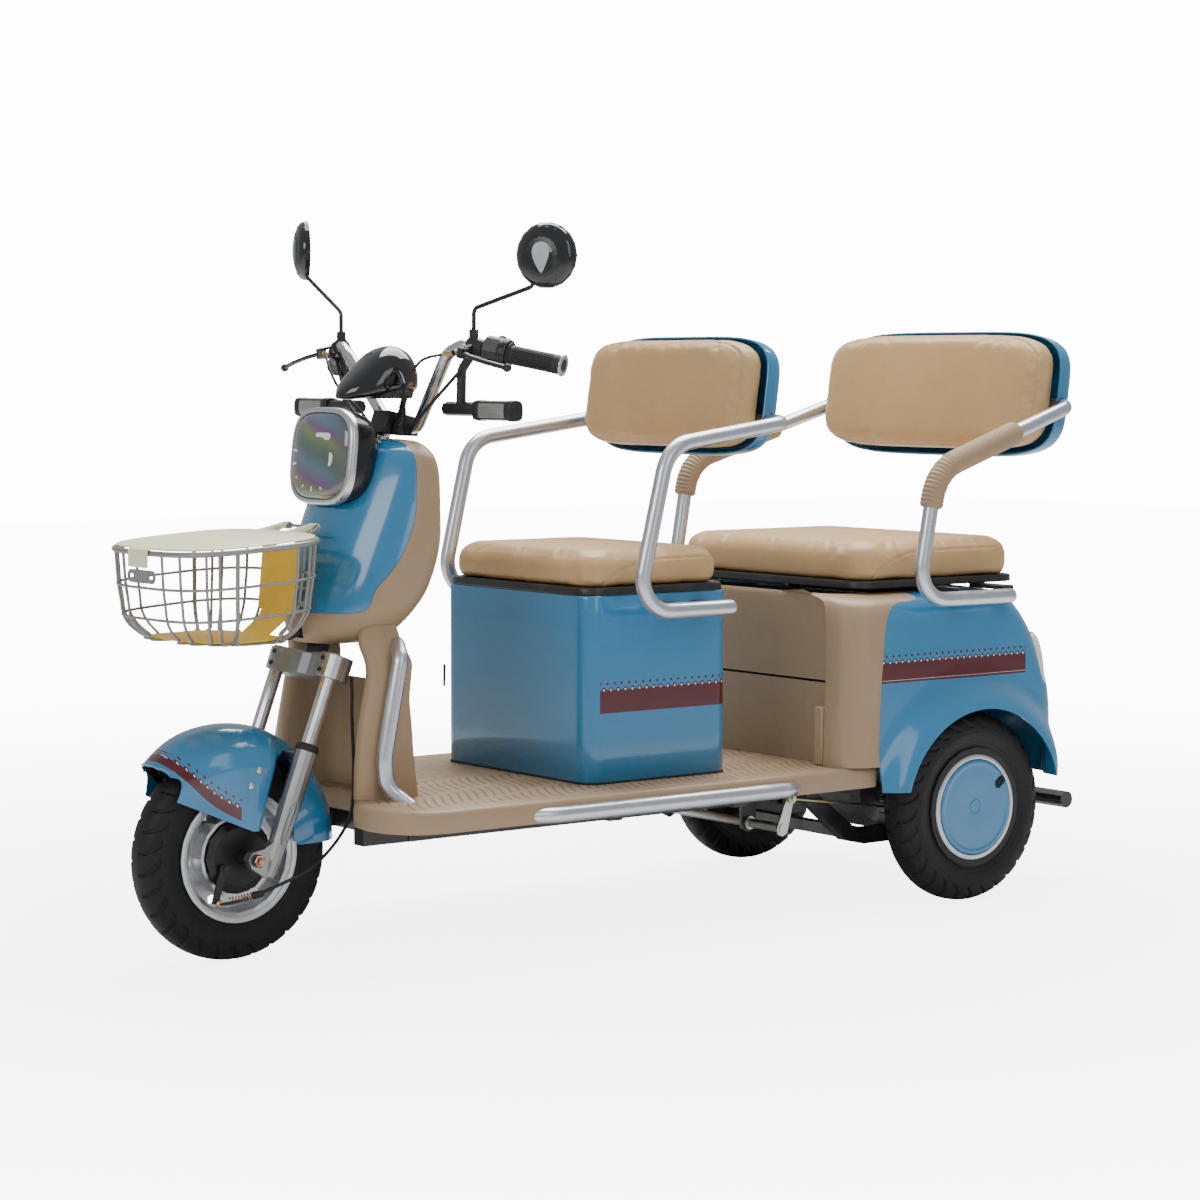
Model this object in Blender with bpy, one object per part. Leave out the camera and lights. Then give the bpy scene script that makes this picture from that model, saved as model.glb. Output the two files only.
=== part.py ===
"""Electric tricycle with two bench seats, in metres.

The front faces -Y, the rider's left is +X and +Z is up. While the pieces are made, Y is measured
rearwards from the front axle. The last step moves the whole tricycle along Y, so that its origin
lies on the ground below the middle of its length.
"""

import math

import bmesh
import bpy
from mathutils import Matrix, Vector

# Clearances
SEAT_GAP = 0.0004
RUNNING_GAP = 0.0004
PANEL_WALL = 0.003

# Wheels and their places
TYRE_RADIUS = 0.1835
TYRE_HALF_WIDTH = 0.040
BEAD_RADIUS = 0.1015
RIM_FLANGE_RADIUS = 0.1155
RIM_HALF_WIDTH = 0.0365
WHEELBASE = 1.443
REAR_HALF_TRACK = 0.3235
WHEEL_SEGMENTS = 20
TUBE_SIDES = 8

# Fork: distances ahead of the steering axis, and along it from the foot of the axle
CASTER = math.radians(20.7)
AXLE_LEAD = 0.0478
LEG_LEAD = 0.0134
LEG_HALF_SPACING = 0.087
STANCHION_RADIUS = 0.0125
LEG_RADIUS = 0.0195
LEG_TOP = 0.205
STANCHION_FOOT = 0.160
CROWN_FOOT = 0.340
CROWN_TOP = 0.378
CLAMP_RADIUS = 0.0205
STEERER_RADIUS = 0.0125
HEAD_TUBE_TOP = 0.640
HEAD_TUBE_RADIUS = 0.021
FRONT_AXLE_RADIUS = 0.006
DRUM_RADIUS = 0.066
STUB_RADIUS = 0.0125

# Handlebar
BAR_RADIUS = 0.011
BAR_CENTRE = (0.360, 0.918)
BAR_BEND = (0.195, 0.362, 1.064)
BAR_END = (0.354, 0.4535, 1.029)
GRIP_RADIUS = 0.0165
GRIP_LENGTH = 0.098
MIRROR_RADIUS = 0.056
MIRROR_X = 0.384
MIRROR_Y = 0.399
MIRROR_HEIGHT_LEFT = 1.214
MIRROR_HEIGHT_RIGHT = 1.244
MIRROR_TURN = math.radians(27)
LEVER_PIVOT = (0.226, 0.338, 1.050)
LEVER_TIP = (0.356, 0.339, 1.024)
LEVER_TILT = math.radians(13)
PIN_RADIUS = 0.0035

# Floor and leg shield
FLOOR_TOP = 0.277
FLOOR_UNDERSIDE = 0.236
FLOOR_SKIN = 0.004
FLOOR_HALF_WIDTH = 0.330
FLOOR_REAR = 1.225
RAIL_TUBE_RADIUS = 0.0145
FRAME_RAIL_X = 0.120
FRAME_RAIL_HEIGHT = 0.195
FRAME_TUBE = 0.030
DOWN_TUBE_RADIUS = 0.016

# Seats
BOX_HALF_WIDTH = 0.227
BOX_FRONT = 0.609
BOX_REAR = 0.941
BOX_TOP = 0.617
PAN_THICKNESS = 0.014
FRONT_CUSHION_THICKNESS = 0.062
REAR_CUSHION_THICKNESS = 0.071
HOOP_RADIUS = 0.0145
FRONT_ARM_X = 0.304
FRONT_BACK_X = 0.297
REAR_ARM_X = 0.366
REAR_BACK_X = 0.342
# Backrests: place of the tube behind it (y, z), half its width, its height, how far its middle is above the tube
FRONT_BACKREST = (1.014, 0.925, 0.248, 0.225, 0.0465)
REAR_BACKREST = (1.710, 0.9525, 0.322, 0.253, 0.020)
BACKREST_TILT = math.radians(8)
BACKREST_PAD = 0.058
SLEEVE_RADIUS = 0.0235
SLEEVE_FOOT_HEIGHT = 0.763
SLEEVE_END_Y = 1.550

# Rear body
BODY_HALF_WIDTH = 0.345
BODY_TOP = 0.597
REAR_SEAT_FLOOR = 0.608
REAR_SEAT_FRONT = 1.206
REAR_SEAT_REAR = 1.642
REAR_SEAT_HALF_WIDTH = 0.288
BUMPER_Y = 1.757
BUMPER_HEIGHT = 0.165
BUMPER_RADIUS = 0.017

# Rear axle and brake
ARM_PIVOT = (1.150, 0.213)
AXLE_TUBE_RADIUS = 0.024
BRAKE_SHAFT = (1.075, 0.158)
BRAKE_SHAFT_RADIUS = 0.009
BRAKE_LEVER_X = 0.220
BRAKE_PIN = (1.094, 0.213)
BRAKE_ROD_END = (1.345, 0.178)
BRAKE_ARM_REACH = 0.006
ROD_END_GAP = 0.0025

# Basket
BASKET_MIDDLE = -0.022
BASKET_SLOPE = 0.07
BASKET_BOTTOM = 0.558
WIRE_RADIUS = 0.0025
RIM_WIRE_RADIUS = 0.005
HINGE_ROD = (0.150, 0.748)
HINGE_ROD_RADIUS = 0.003

# Colours
BLUE = (0.10, 0.30, 0.50)
BEIGE = (0.40, 0.28, 0.16)
TAN = (0.56, 0.36, 0.17)
BLACK = (0.012, 0.012, 0.014)
SILVER = (0.62, 0.65, 0.70)
STEEL = (0.36, 0.35, 0.33)
CREAM = (0.90, 0.80, 0.42)
RUBBER = (0.018, 0.018, 0.018)


def clear_scene():
    for old in list(bpy.data.objects):
        bpy.data.objects.remove(old, do_unlink=True)


def finish(name, colour, roughness, metallic=0.0):
    made = bpy.data.materials.new(name)
    made.use_nodes = True
    shader = made.node_tree.nodes["Principled BSDF"]
    shader.inputs["Base Color"].default_value = (*colour, 1.0)
    shader.inputs["Roughness"].default_value = roughness
    shader.inputs["Metallic"].default_value = metallic
    return made


def dress(made, look):
    """Give an object its own material and smooth its round faces."""
    made.data.materials.clear()
    made.data.materials.append(finish(made.name, *look))
    made.data.polygons.foreach_set("material_index", [0] * len(made.data.polygons))
    made.data.shade_smooth()
    made.data.set_sharp_from_angle(angle=math.radians(35))
    return made


GLOSS_BLUE = (BLUE, 0.15)
MATT_BEIGE = (BEIGE, 0.45)
LEATHER = (TAN, 0.5)
BLACK_PLASTIC = (BLACK, 0.4)
BLACK_PAINT = (BLACK, 0.35, 0.2)
SATIN_SILVER = (SILVER, 0.3, 0.9)
CAST_GREY = (STEEL, 0.45, 0.8)
YELLOW_PLASTIC = (CREAM, 0.4)
BLACK_RUBBER = (RUBBER, 0.75)


def mesh_object(name, points, faces, recalculate=True):
    mesh = bpy.data.meshes.new(name)
    mesh.from_pydata([tuple(point) for point in points], [], faces)
    edit = bmesh.new()
    edit.from_mesh(mesh)
    bmesh.ops.remove_doubles(edit, verts=edit.verts, dist=1e-6)
    if recalculate:
        bmesh.ops.recalc_face_normals(edit, faces=edit.faces)
    edit.to_mesh(mesh)
    edit.free()
    made = bpy.data.objects.new(name, mesh)
    bpy.context.scene.collection.objects.link(made)
    return made


def skin(name, rings, closed_path=False, capped=True, closed_rings=True):
    """Faces from ring to ring, with flat ends unless the path is closed."""
    size = len(rings[0])
    points = [point for ring in rings for point in ring]
    faces = []
    steps = len(rings) if closed_path else len(rings) - 1
    sides = size if closed_rings else size - 1
    for step in range(steps):
        start = step * size
        end = ((step + 1) % len(rings)) * size
        for side in range(sides):
            after = (side + 1) % size
            faces.append((start + side, start + after, end + after, end + side))
    if capped and not closed_path:
        faces.append(tuple(range(size)))
        faces.append(tuple(range(len(points) - size, len(points))))
    return mesh_object(name, points, faces)


def baked(made):
    """Replace an object's mesh by what its modifiers make of it."""
    bpy.context.view_layer.update()
    graph = bpy.context.evaluated_depsgraph_get()
    mesh = bpy.data.meshes.new_from_object(made.evaluated_get(graph))
    made.modifiers.clear()
    made.data = mesh
    return made


def combine(made, others, operation):
    for other in others:
        modifier = made.modifiers.new("Join", "BOOLEAN")
        modifier.operation = operation
        modifier.object = other
        baked(made)
        bpy.data.objects.remove(other, do_unlink=True)
    return made


def joined(made, *others):
    return combine(made, others, "UNION")


def cut(made, *others):
    return combine(made, others, "DIFFERENCE")


def kept(made, *others):
    return combine(made, others, "INTERSECT")


def named(made, name):
    made.name = name
    made.data.name = name
    return made


def rounded(corners, radius, step=math.radians(23)):
    """The path through the corners, with an arc of the radius at each inner corner."""
    corners = [Vector(corner) for corner in corners]
    radii = radius if isinstance(radius, (list, tuple)) else [radius] * (len(corners) - 2)
    path = [corners[0]]
    for before, corner, after, bend in zip(corners, corners[1:], corners[2:], radii):
        inward = (before - corner).normalized()
        onward = (after - corner).normalized()
        turn = math.pi - inward.angle(onward)
        if turn < 0.01:
            path.append(corner)
            continue
        reach = bend * math.tan(turn / 2)
        start = corner + inward * reach
        centre = corner + (inward + onward).normalized() * bend / math.cos(turn / 2)
        axis = (start - centre).cross(-inward).normalized()
        count = max(1, math.ceil(turn / step))
        for index in range(count + 1):
            spoke = Matrix.Rotation(turn * index / count, 3, axis) @ (start - centre)
            path.append(centre + spoke)
    path.append(corners[-1])
    return path


def tube_rings(path, radius, sides, closed=False, up=None):
    """Circles along a path, carried from point to point with no twist."""
    path = [Vector(point) for point in path]
    count = len(path)
    tangents = []
    for index in range(count):
        before = path[index - 1] if index or closed else path[0]
        after = path[(index + 1) % count] if index < count - 1 or closed else path[-1]
        tangents.append((after - before).normalized())
    across = tangents[0].orthogonal().normalized()
    rings = []
    for index, tangent in enumerate(tangents):
        if up is not None:
            across = tangent.cross(Vector(up)).normalized()
        elif index:
            turn = tangents[index - 1].rotation_difference(tangent)
            across = (turn @ across).normalized()
        over = tangent.cross(across)
        ring = []
        for side in range(sides):
            angle = 2 * math.pi * (side + 0.5) / sides
            ring.append(path[index] + radius * (math.cos(angle) * across + math.sin(angle) * over))
        rings.append(ring)
    return rings


def tube(name, path, radius, sides=8, closed=False, up=None):
    return skin(name, tube_rings(path, radius, sides, closed, up), closed_path=closed)


def turned(name, profile, centre, axis=(1, 0, 0), segments=16, start=None):
    """A closed outline of (place along the axis, radius) turned about the axis."""
    axis = Vector(axis).normalized()
    if start is None:
        start = (0, 0, -1) if abs(axis.x) > 0.7 else (1, 0, 0)
    spoke = Vector(start)
    spoke = (spoke - axis * spoke.dot(axis)).normalized()
    centre = Vector(centre)
    edit = bmesh.new()
    verts = [edit.verts.new(centre + axis * along + spoke * radius) for along, radius in profile]
    edges = []
    for first, second in zip(range(len(verts)), [*range(1, len(verts)), 0]):
        if profile[first][1] > 0 or profile[second][1] > 0:
            edges.append(edit.edges.new((verts[first], verts[second])))
    bmesh.ops.spin(edit, geom=verts + edges, cent=centre, axis=axis,
                   angle=2 * math.pi, steps=segments, use_merge=True)
    bmesh.ops.remove_doubles(edit, verts=edit.verts, dist=1e-6)
    bmesh.ops.dissolve_degenerate(edit, edges=edit.edges, dist=1e-7)
    bmesh.ops.recalc_face_normals(edit, faces=edit.faces)
    mesh = bpy.data.meshes.new(name)
    edit.to_mesh(mesh)
    edit.free()
    made = bpy.data.objects.new(name, mesh)
    bpy.context.scene.collection.objects.link(made)
    return made


def rod(name, start, end, radius, segments=12):
    start = Vector(start)
    end = Vector(end)
    length = (end - start).length
    outline = [(0, 0), (0, radius), (length, radius), (length, 0)]
    return turned(name, outline, start, end - start, segments)


def block(name, low, high, bevel=0.0):
    corners = [(x, y, z) for x in (low[0], high[0]) for y in (low[1], high[1]) for z in (low[2], high[2])]
    faces = [(0, 1, 3, 2), (4, 6, 7, 5), (0, 4, 5, 1), (2, 3, 7, 6), (0, 2, 6, 4), (1, 5, 7, 3)]
    made = mesh_object(name, corners, faces)
    if bevel:
        modifier = made.modifiers.new("Edges", "BEVEL")
        modifier.width = bevel
        modifier.segments = 2
        baked(made)
    return made


def side_plate(name, outline, left, right):
    """An outline of (y, z) points given a thickness along X."""
    rings = [[(x, y, z) for y, z in outline] for x in (left, right)]
    return skin(name, rings)


def flat_plate(name, outline, low, high):
    """An outline of (x, y) points given a height."""
    rings = [[(x, y, z) for x, y in outline] for z in (low, high)]
    return skin(name, rings)


def sheet(name, rows, wall, closed_rings):
    """An open surface given a wall, half to each side."""
    made = skin(name, rows, capped=False, closed_rings=closed_rings)
    modifier = made.modifiers.new("Wall", "SOLIDIFY")
    modifier.thickness = wall
    modifier.offset = 0.0
    modifier.use_even_offset = True
    return baked(made)


def rounded_rectangle(half_width, front, rear, corner, per_corner=4, side_points=0):
    """Plan outline of (x, y), from the front left corner round by the rear."""
    outline = []
    corners = [(1, front + corner, -90), (1, rear - corner, 0), (-1, rear - corner, 90), (-1, front + corner, 180)]
    for index, (side, y, angle) in enumerate(corners):
        for step in range(per_corner):
            turn = math.radians(angle + 90 * step / (per_corner - 1))
            x = side * (half_width - corner) + corner * math.cos(turn)
            outline.append((x, y + corner * math.sin(turn)))
        if side_points and index in (0, 2):
            ends = (front + corner, rear - corner) if index == 0 else (rear - corner, front + corner)
            for step in range(1, side_points + 1):
                share = step / (side_points + 1)
                outline.append((side * half_width, ends[0] + (ends[1] - ends[0]) * share))
    return outline


def mirrored(made, name):
    """A copy on the other side of the tricycle."""
    mesh = made.data.copy()
    mesh.transform(Matrix.Scale(-1, 4, (1, 0, 0)))
    mesh.flip_normals()
    twin = bpy.data.objects.new(name, mesh)
    mesh.name = name
    bpy.context.scene.collection.objects.link(twin)
    return twin


def fork_point(x, ahead, along):
    """A point given by its distance ahead of the steering axis and its place along it."""
    foot_y = AXLE_LEAD * math.cos(CASTER)
    foot_z = TYRE_RADIUS - AXLE_LEAD * math.sin(CASTER)
    y = foot_y + along * math.sin(CASTER) - ahead * math.cos(CASTER)
    z = foot_z + along * math.cos(CASTER) + ahead * math.sin(CASTER)
    return Vector((x, y, z))


STEER_AXIS = Vector((0, math.sin(CASTER), math.cos(CASTER)))
REAR_AXLE = (WHEELBASE, TYRE_RADIUS)


# Wheels

def tyre_outline():
    """Half of a hollow tyre's section, as (place across the wheel, radius), then its mirror image."""
    w = TYRE_HALF_WIDTH
    r = TYRE_RADIUS
    seat = BEAD_RADIUS + SEAT_GAP
    outer = [(0.73 * w, seat), (0.80 * w, RIM_FLANGE_RADIUS + SEAT_GAP), (w, r - 0.040), (0.72 * w, r - 0.008)]
    inner = [(0.70 * w, r - 0.034), (0.56 * w, seat)]
    left = [(0.0, r)] + outer[::-1] + inner[::-1] + [(0.0, r - 0.012)]
    right = [(-across, radius) for across, radius in left[-2:0:-1]]
    return left + right


def tyre(name, x, y):
    return dress(turned(name, tyre_outline(), (x, y, TYRE_RADIUS), segments=WHEEL_SEGMENTS), BLACK_RUBBER)


def rim_barrel(inner_wall):
    """The outside of a rim from its left flange to its right one."""
    w = RIM_HALF_WIDTH
    flange = RIM_FLANGE_RADIUS
    return [(w, flange - 0.006), (w, flange), (w - 0.003, flange), (0.82 * w, BEAD_RADIUS),
            (-0.82 * w, BEAD_RADIUS), (-w + 0.003, flange), (-w, flange), (-0.9 * w, inner_wall)]


def front_rim():
    """Cast rim whose drum is open to the left, where the brake plate closes it."""
    bore = FRONT_AXLE_RADIUS + RUNNING_GAP
    wall = BEAD_RADIUS - 0.003
    outline = [(-0.034, bore), (0.024, bore), (0.024, 0.018), (-0.004, 0.018), (-0.004, DRUM_RADIUS),
               (0.0295, DRUM_RADIUS), (0.0295, DRUM_RADIUS + 0.006), (-0.003, DRUM_RADIUS + 0.006),
               (-0.003, wall - 0.004), (0.9 * RIM_HALF_WIDTH, wall)]
    outline += rim_barrel(wall)
    outline += [(-0.012, wall - 0.004), (-0.012, 0.018), (-0.034, 0.018)]
    rim = turned("front_rim", outline, (0, 0, TYRE_RADIUS), segments=WHEEL_SEGMENTS)
    windows = []
    for index in range(6):
        angle = math.radians(60 * index + 7.5)
        middle = (DRUM_RADIUS + 0.006 + wall - 0.004) / 2
        y = middle * math.cos(angle)
        z = TYRE_RADIUS + middle * math.sin(angle)
        windows.append(rod("window", (-0.02, y, z), (0.005, y, z), 0.0095, 6))
    return dress(cut(rim, *windows), SATIN_SILVER)


def rear_rim():
    """Left rim, closed on its outer side by a hub cap that has one slot for the valve."""
    bore = STUB_RADIUS + RUNNING_GAP
    wall = BEAD_RADIUS - 0.003
    cap = RIM_HALF_WIDTH - 0.001
    outline = [(-0.030, bore), (0.026, bore), (0.026, 0.0), (cap + 0.003, 0.0), (cap, 0.090)]
    outline += rim_barrel(wall)
    outline += [(0.85 * RIM_HALF_WIDTH - 0.002, wall), (cap - 0.003, 0.088), (cap - 0.001, 0.024), (-0.030, 0.024)]
    centre = (REAR_HALF_TRACK, WHEELBASE, TYRE_RADIUS)
    rim = turned("rear_rim_left", outline, centre, segments=WHEEL_SEGMENTS)
    slot = block("slot", (REAR_HALF_TRACK + 0.029, -0.010, 0.062), (REAR_HALF_TRACK + 0.05, 0.010, 0.094), 0.004)
    slot.data.transform(Matrix.Translation((0, WHEELBASE, TYRE_RADIUS)) @ Matrix.Rotation(math.radians(35), 4, "X"))
    return dress(cut(rim, slot), GLOSS_BLUE)


# Frame

def down_tube(radius):
    return tube("down_tube", rounded([(0, 0.305, 0.200), (0, 0.305, 0.560), (0, 0.264, 0.705)], 0.08), radius, 8)


def main_frame():
    top = FLOOR_TOP - FLOOR_SKIN - SEAT_GAP
    rail_top = FRAME_RAIL_HEIGHT + FRAME_TUBE
    half = FRAME_TUBE / 2
    axis_y, axis_z = WHEELBASE, 0.318
    pieces = []
    for side in (1, -1):
        x = side * FRAME_RAIL_X
        outline = [(0.190, FRAME_RAIL_HEIGHT), (1.098, FRAME_RAIL_HEIGHT), (1.130, top - FRAME_TUBE),
                   (1.238, top - FRAME_TUBE), (1.300, axis_z), (1.660, axis_z), (1.660, axis_z + FRAME_TUBE),
                   (1.285, axis_z + FRAME_TUBE), (1.226, top), (1.115, top), (1.082, rail_top), (0.190, rail_top)]
        pieces.append(side_plate("rail", outline, x - half, x + half))
    for y, reach, low in ((0.305, 0.170, rail_top), (0.640, 0.270, rail_top), (0.930, 0.270, rail_top),
                          (1.150, 0.238, top - 0.022)):
        pieces.append(block("cross", (-reach, y - half, low - 0.008), (reach, y + half, top)))
    pieces.append(block("front_cross", (-0.137, 0.284, FRAME_RAIL_HEIGHT), (0.137, 0.326, rail_top + 0.002)))
    pieces.append(down_tube(DOWN_TUBE_RADIUS))
    high = BODY_TOP - PANEL_WALL / 2 - SEAT_GAP - 0.0032
    for y in (1.310, 1.520):
        for side in (1, -1):
            x = side * 0.150
            pieces.append(block("post", (x - 0.012, y - 0.012, axis_z + 0.005),
                                (x + 0.012, y + 0.012, high - 0.010)))
        pieces.append(block("seat_cross", (-0.262, y - 0.014, high - 0.022), (0.262, y + 0.014, high)))
        pieces.append(block("rail_cross", (-0.165, y - 0.012, axis_z + 0.003), (0.165, y + 0.012, axis_z + 0.026)))
    for side in (1, -1):
        x = side * 0.200
        pieces.append(block("shock_mount", (x - 0.016, 1.352, 0.432), (x + 0.016, 1.388, 0.446)))
        arm = [(x - side * 0.014, 1.308, 0.434), (x + side * 0.014, 1.380, 0.444)]
        low = [min(a, b) for a, b in zip(*arm)]
        high = [max(a, b) for a, b in zip(*arm)]
        pieces.append(block("shock_arm", low, high))
        pieces.append(block("shock_rail", (min(0.140 * side, 0.214 * side), 1.301, 0.4335),
                            (max(0.140 * side, 0.214 * side), 1.319, 0.4445)))
    ears = []
    for side in (1, -1):
        inner = 0.2159 * side
        outer = 0.221 * side
        plate = [(ARM_PIVOT[0] - 0.014, 0.256), (ARM_PIVOT[0] - 0.014, 0.200), (ARM_PIVOT[0], 0.192),
                 (ARM_PIVOT[0] + 0.014, 0.200), (ARM_PIVOT[0] + 0.014, 0.256)]
        ears.append(side_plate("ear", plate, min(inner, outer), max(inner, outer)))
        ears.append(rod("pivot_pin", (0.200 * side, *ARM_PIVOT), (0.2205 * side, *ARM_PIVOT), 0.008, 12))
    hangers = []
    for side in (1, -1):
        x = side * FRAME_RAIL_X
        shaft_y, shaft_z = BRAKE_SHAFT
        plate = [(shaft_y - 0.020, FRAME_RAIL_HEIGHT + 0.006), (shaft_y - 0.017, shaft_z - 0.010),
                 (shaft_y, shaft_z - 0.018), (shaft_y + 0.017, shaft_z - 0.010),
                 (shaft_y + 0.020, FRAME_RAIL_HEIGHT + 0.006)]
        hanger = side_plate("hanger", plate, x - 0.003, x + 0.003)
        bore = rod("bore", (x - 0.02, *BRAKE_SHAFT), (x + 0.02, *BRAKE_SHAFT),
                   BRAKE_SHAFT_RADIUS + RUNNING_GAP, 12)
        hangers.append(cut(hanger, bore))
    stays = []
    for side in (1, -1):
        x = side * FRAME_RAIL_X
        stays.append(tube("stay", rounded([(x, 1.635, axis_z + half), (x, 1.664, axis_z + half), (x, 1.662, 0.205),
                                           (x, BUMPER_Y, BUMPER_HEIGHT)], [0.025, 0.03]), 0.011, 6))
    bumper = rod("bumper", (-0.300, BUMPER_Y, BUMPER_HEIGHT), (0.300, BUMPER_Y, BUMPER_HEIGHT), BUMPER_RADIUS, 12)
    strut = [(0.215, 0.602), (0.215, 0.584), (0.120, BASKET_BOTTOM - WIRE_RADIUS - SEAT_GAP - 0.005),
             (0.010, BASKET_BOTTOM - WIRE_RADIUS - SEAT_GAP - 0.005), (0.010, BASKET_BOTTOM - WIRE_RADIUS - SEAT_GAP),
             (0.118, BASKET_BOTTOM - WIRE_RADIUS - SEAT_GAP)]
    basket_strut = side_plate("strut", strut, -0.0125, 0.0125)
    bottom = fork_point(0, 0, CROWN_TOP + SEAT_GAP)
    length = HEAD_TUBE_TOP - CROWN_TOP - SEAT_GAP
    head = turned("head", [(0, 0), (0, HEAD_TUBE_RADIUS), (length, HEAD_TUBE_RADIUS), (length, 0)],
                  bottom, STEER_AXIS, 16)
    frame = joined(pieces[0], *pieces[1:], *ears, *hangers, *stays, bumper, head, basket_strut)
    reach = STEER_AXIS * 0.05
    bore = rod("bore", bottom - reach, bottom + STEER_AXIS * (length + 0.05), STEERER_RADIUS + RUNNING_GAP, 16)
    frame = cut(frame, bore)
    return dress(named(frame, "main_frame"), BLACK_PAINT)


def strut_hole():
    """The way through the knee panel for the strut that carries the basket."""
    outline = [(0.22, 0.610), (0.22, 0.576), (0.12, 0.544), (0.06, 0.544), (0.06, 0.558), (0.116, 0.5590)]
    return side_plate("hole", outline, -0.0145, 0.0145)


# Floor, leg shield and front column

FLOOR_EDGE = [(0.0, 0.247), (0.062, 0.245), (0.094, 0.232), (0.108, 0.205), (0.121, 0.184), (0.140, 0.167),
              (0.165, 0.152), (0.192, 0.143), (0.226, 0.139), (0.264, 0.145), (0.298, 0.163), (0.321, 0.192),
              (FLOOR_HALF_WIDTH, 0.232),
              (FLOOR_HALF_WIDTH, FLOOR_REAR - 0.02), (FLOOR_HALF_WIDTH - 0.02, FLOOR_REAR)]


def floor_outline():
    left = FLOOR_EDGE[1:]
    return [FLOOR_EDGE[0]] + left + [(-x, y) for x, y in left[::-1]]


def rail_path():
    """The side bar beside the leg shield, which runs on under the floor as the side step."""
    low = 0.250
    side = FLOOR_HALF_WIDTH + 0.002
    corners = [(0.128, 0.264, 0.548), (0.168, 0.247, 0.524), (0.168, 0.232, 0.451), (0.168, 0.212, 0.350),
               (0.168, 0.217, 0.298), (0.212, 0.264, low), (0.282, 0.350, low), (side, 0.452, low),
               (side, 0.990, low), (side - 0.012, 1.018, low)]
    return rounded(corners, [0.022, 0.06, 0.09, 0.05, 0.03, 0.08, 0.08, 0.02], math.radians(20))


def side_rail():
    return dress(tube("side_rail_left", rail_path(), RAIL_TUBE_RADIUS, TUBE_SIDES), SATIN_SILVER)


def rail_cutters():
    """Room around both side rails for what they pass through."""
    path = rail_path()
    path[0] += (path[0] - path[1]).normalized() * SEAT_GAP
    path[-1] += (path[-1] - path[-2]).normalized() * SEAT_GAP
    left = tube("room", path, RAIL_TUBE_RADIUS + SEAT_GAP, TUBE_SIDES)
    return [left, mirrored(left, "room_right")]


def floorboard():
    board = flat_plate("floorboard", floor_outline(), FLOOR_UNDERSIDE, FLOOR_TOP)
    modifier = board.modifiers.new("Edge", "BEVEL")
    modifier.width = 0.006
    modifier.segments = 1
    modifier.limit_method = "ANGLE"
    modifier.angle_limit = math.radians(60)
    baked(board)
    side = FLOOR_HALF_WIDTH - 0.022
    pocket = [(0, 0.262), (0.070, 0.260), (0.104, 0.246), (0.130, 0.206), (0.172, 0.172), (0.222, 0.159),
              (0.262, 0.165), (0.292, 0.188), (side, 0.236), (side, FLOOR_REAR + 0.05)]
    outline = [pocket[0]] + pocket[1:] + [(-x, y) for x, y in pocket[:0:-1]]
    hollow = flat_plate("hollow", outline, FLOOR_UNDERSIDE - 0.01, FLOOR_TOP - FLOOR_SKIN)
    return dress(cut(board, hollow, down_tube(DOWN_TUBE_RADIUS + SEAT_GAP), *rail_cutters()), MATT_BEIGE)


# Height, front and rear of a pillar, and how much of its full width it keeps there
SHIELD_LEVELS = [(FLOOR_TOP + SEAT_GAP, 0.180, 0.294, 1.0), (0.340, 0.182, 0.286, 1.0), (0.404, 0.190, 0.281, 1.0),
                 (0.450, 0.199, 0.277, 1.0), (0.490, 0.206, 0.281, 1.0), (0.515, 0.206, 0.284, 0.97),
                 (0.545, 0.199, 0.272, 0.90), (0.568, 0.204, 0.268, 0.84), (0.590, 0.214, 0.266, 0.78)]
SHIELD_BOARD_Y = 0.280
SHIELD_BOARD_TOP = 0.474
SHIELD_WIDTH = [(0.045, "board", 0.0), (0.0835, "board", -0.008), (0.0995, "board", -0.036), (0.1045, "front", 0.032),
                (0.1105, "front", 0.010), (0.1225, "front", 0.0), (0.1400, "front", 0.003), (0.1500, "front", 0.024)]


def leg_shield():
    """A board between two hollow pillars, made as one sheet; each row is one height."""
    rows = []
    for height, front, rear, share in SHIELD_LEVELS:
        half = [(0.0, SHIELD_BOARD_Y)]
        for x, near, offset in SHIELD_WIDTH:
            y = (SHIELD_BOARD_Y if near == "board" else front) + offset
            if near == "board":
                y = max(y, front + 0.036)
            half.append((x * share, y))
        half.append((SHIELD_WIDTH[-1][0] * share, rear))
        row = [(-x, y) for x, y in half[:0:-1]] + half
        rows.append([(x, y, height + (PANEL_WALL / 2 if height < 0.3 else 0)) for x, y in row])
    shield = sheet("leg_shield", rows, PANEL_WALL, closed_rings=False)
    floor = block("floor", (-0.4, 0.0, 0.2), (0.4, 0.4, FLOOR_TOP + SEAT_GAP))
    opening = block("opening", (-0.0715, 0.2405, SHIELD_BOARD_TOP), (0.0715, 0.34, 0.65))
    column = column_solid(PANEL_WALL / 2 + SEAT_GAP)
    return dress(cut(shield, floor, opening, column, *rail_cutters()), MATT_BEIGE)


COLUMN_LEVELS = [(0.545, 0.150, 0.205, 0.268, 0.062, -1.0), (0.563, 0.144, 0.228, 0.302, 0.105, -0.8),
                 (0.600, 0.142, 0.247, 0.334, 0.137, -0.2), (0.645, 0.153, 0.264, 0.364, 0.151, 0.0),
                 (0.715, 0.176, 0.294, 0.378, 0.158, 0.0), (0.780, 0.202, 0.312, 0.371, 0.157, 0.0),
                 (0.845, 0.230, 0.321, 0.367, 0.149, 0.3), (0.876, 0.246, 0.322, 0.358, 0.133, 0.8),
                 (0.893, 0.268, 0.322, 0.346, 0.098, 1.0), (0.897, 0.285, 0.320, 0.340, 0.045, 1.0)]
COLUMN_SIDES = 20


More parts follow.
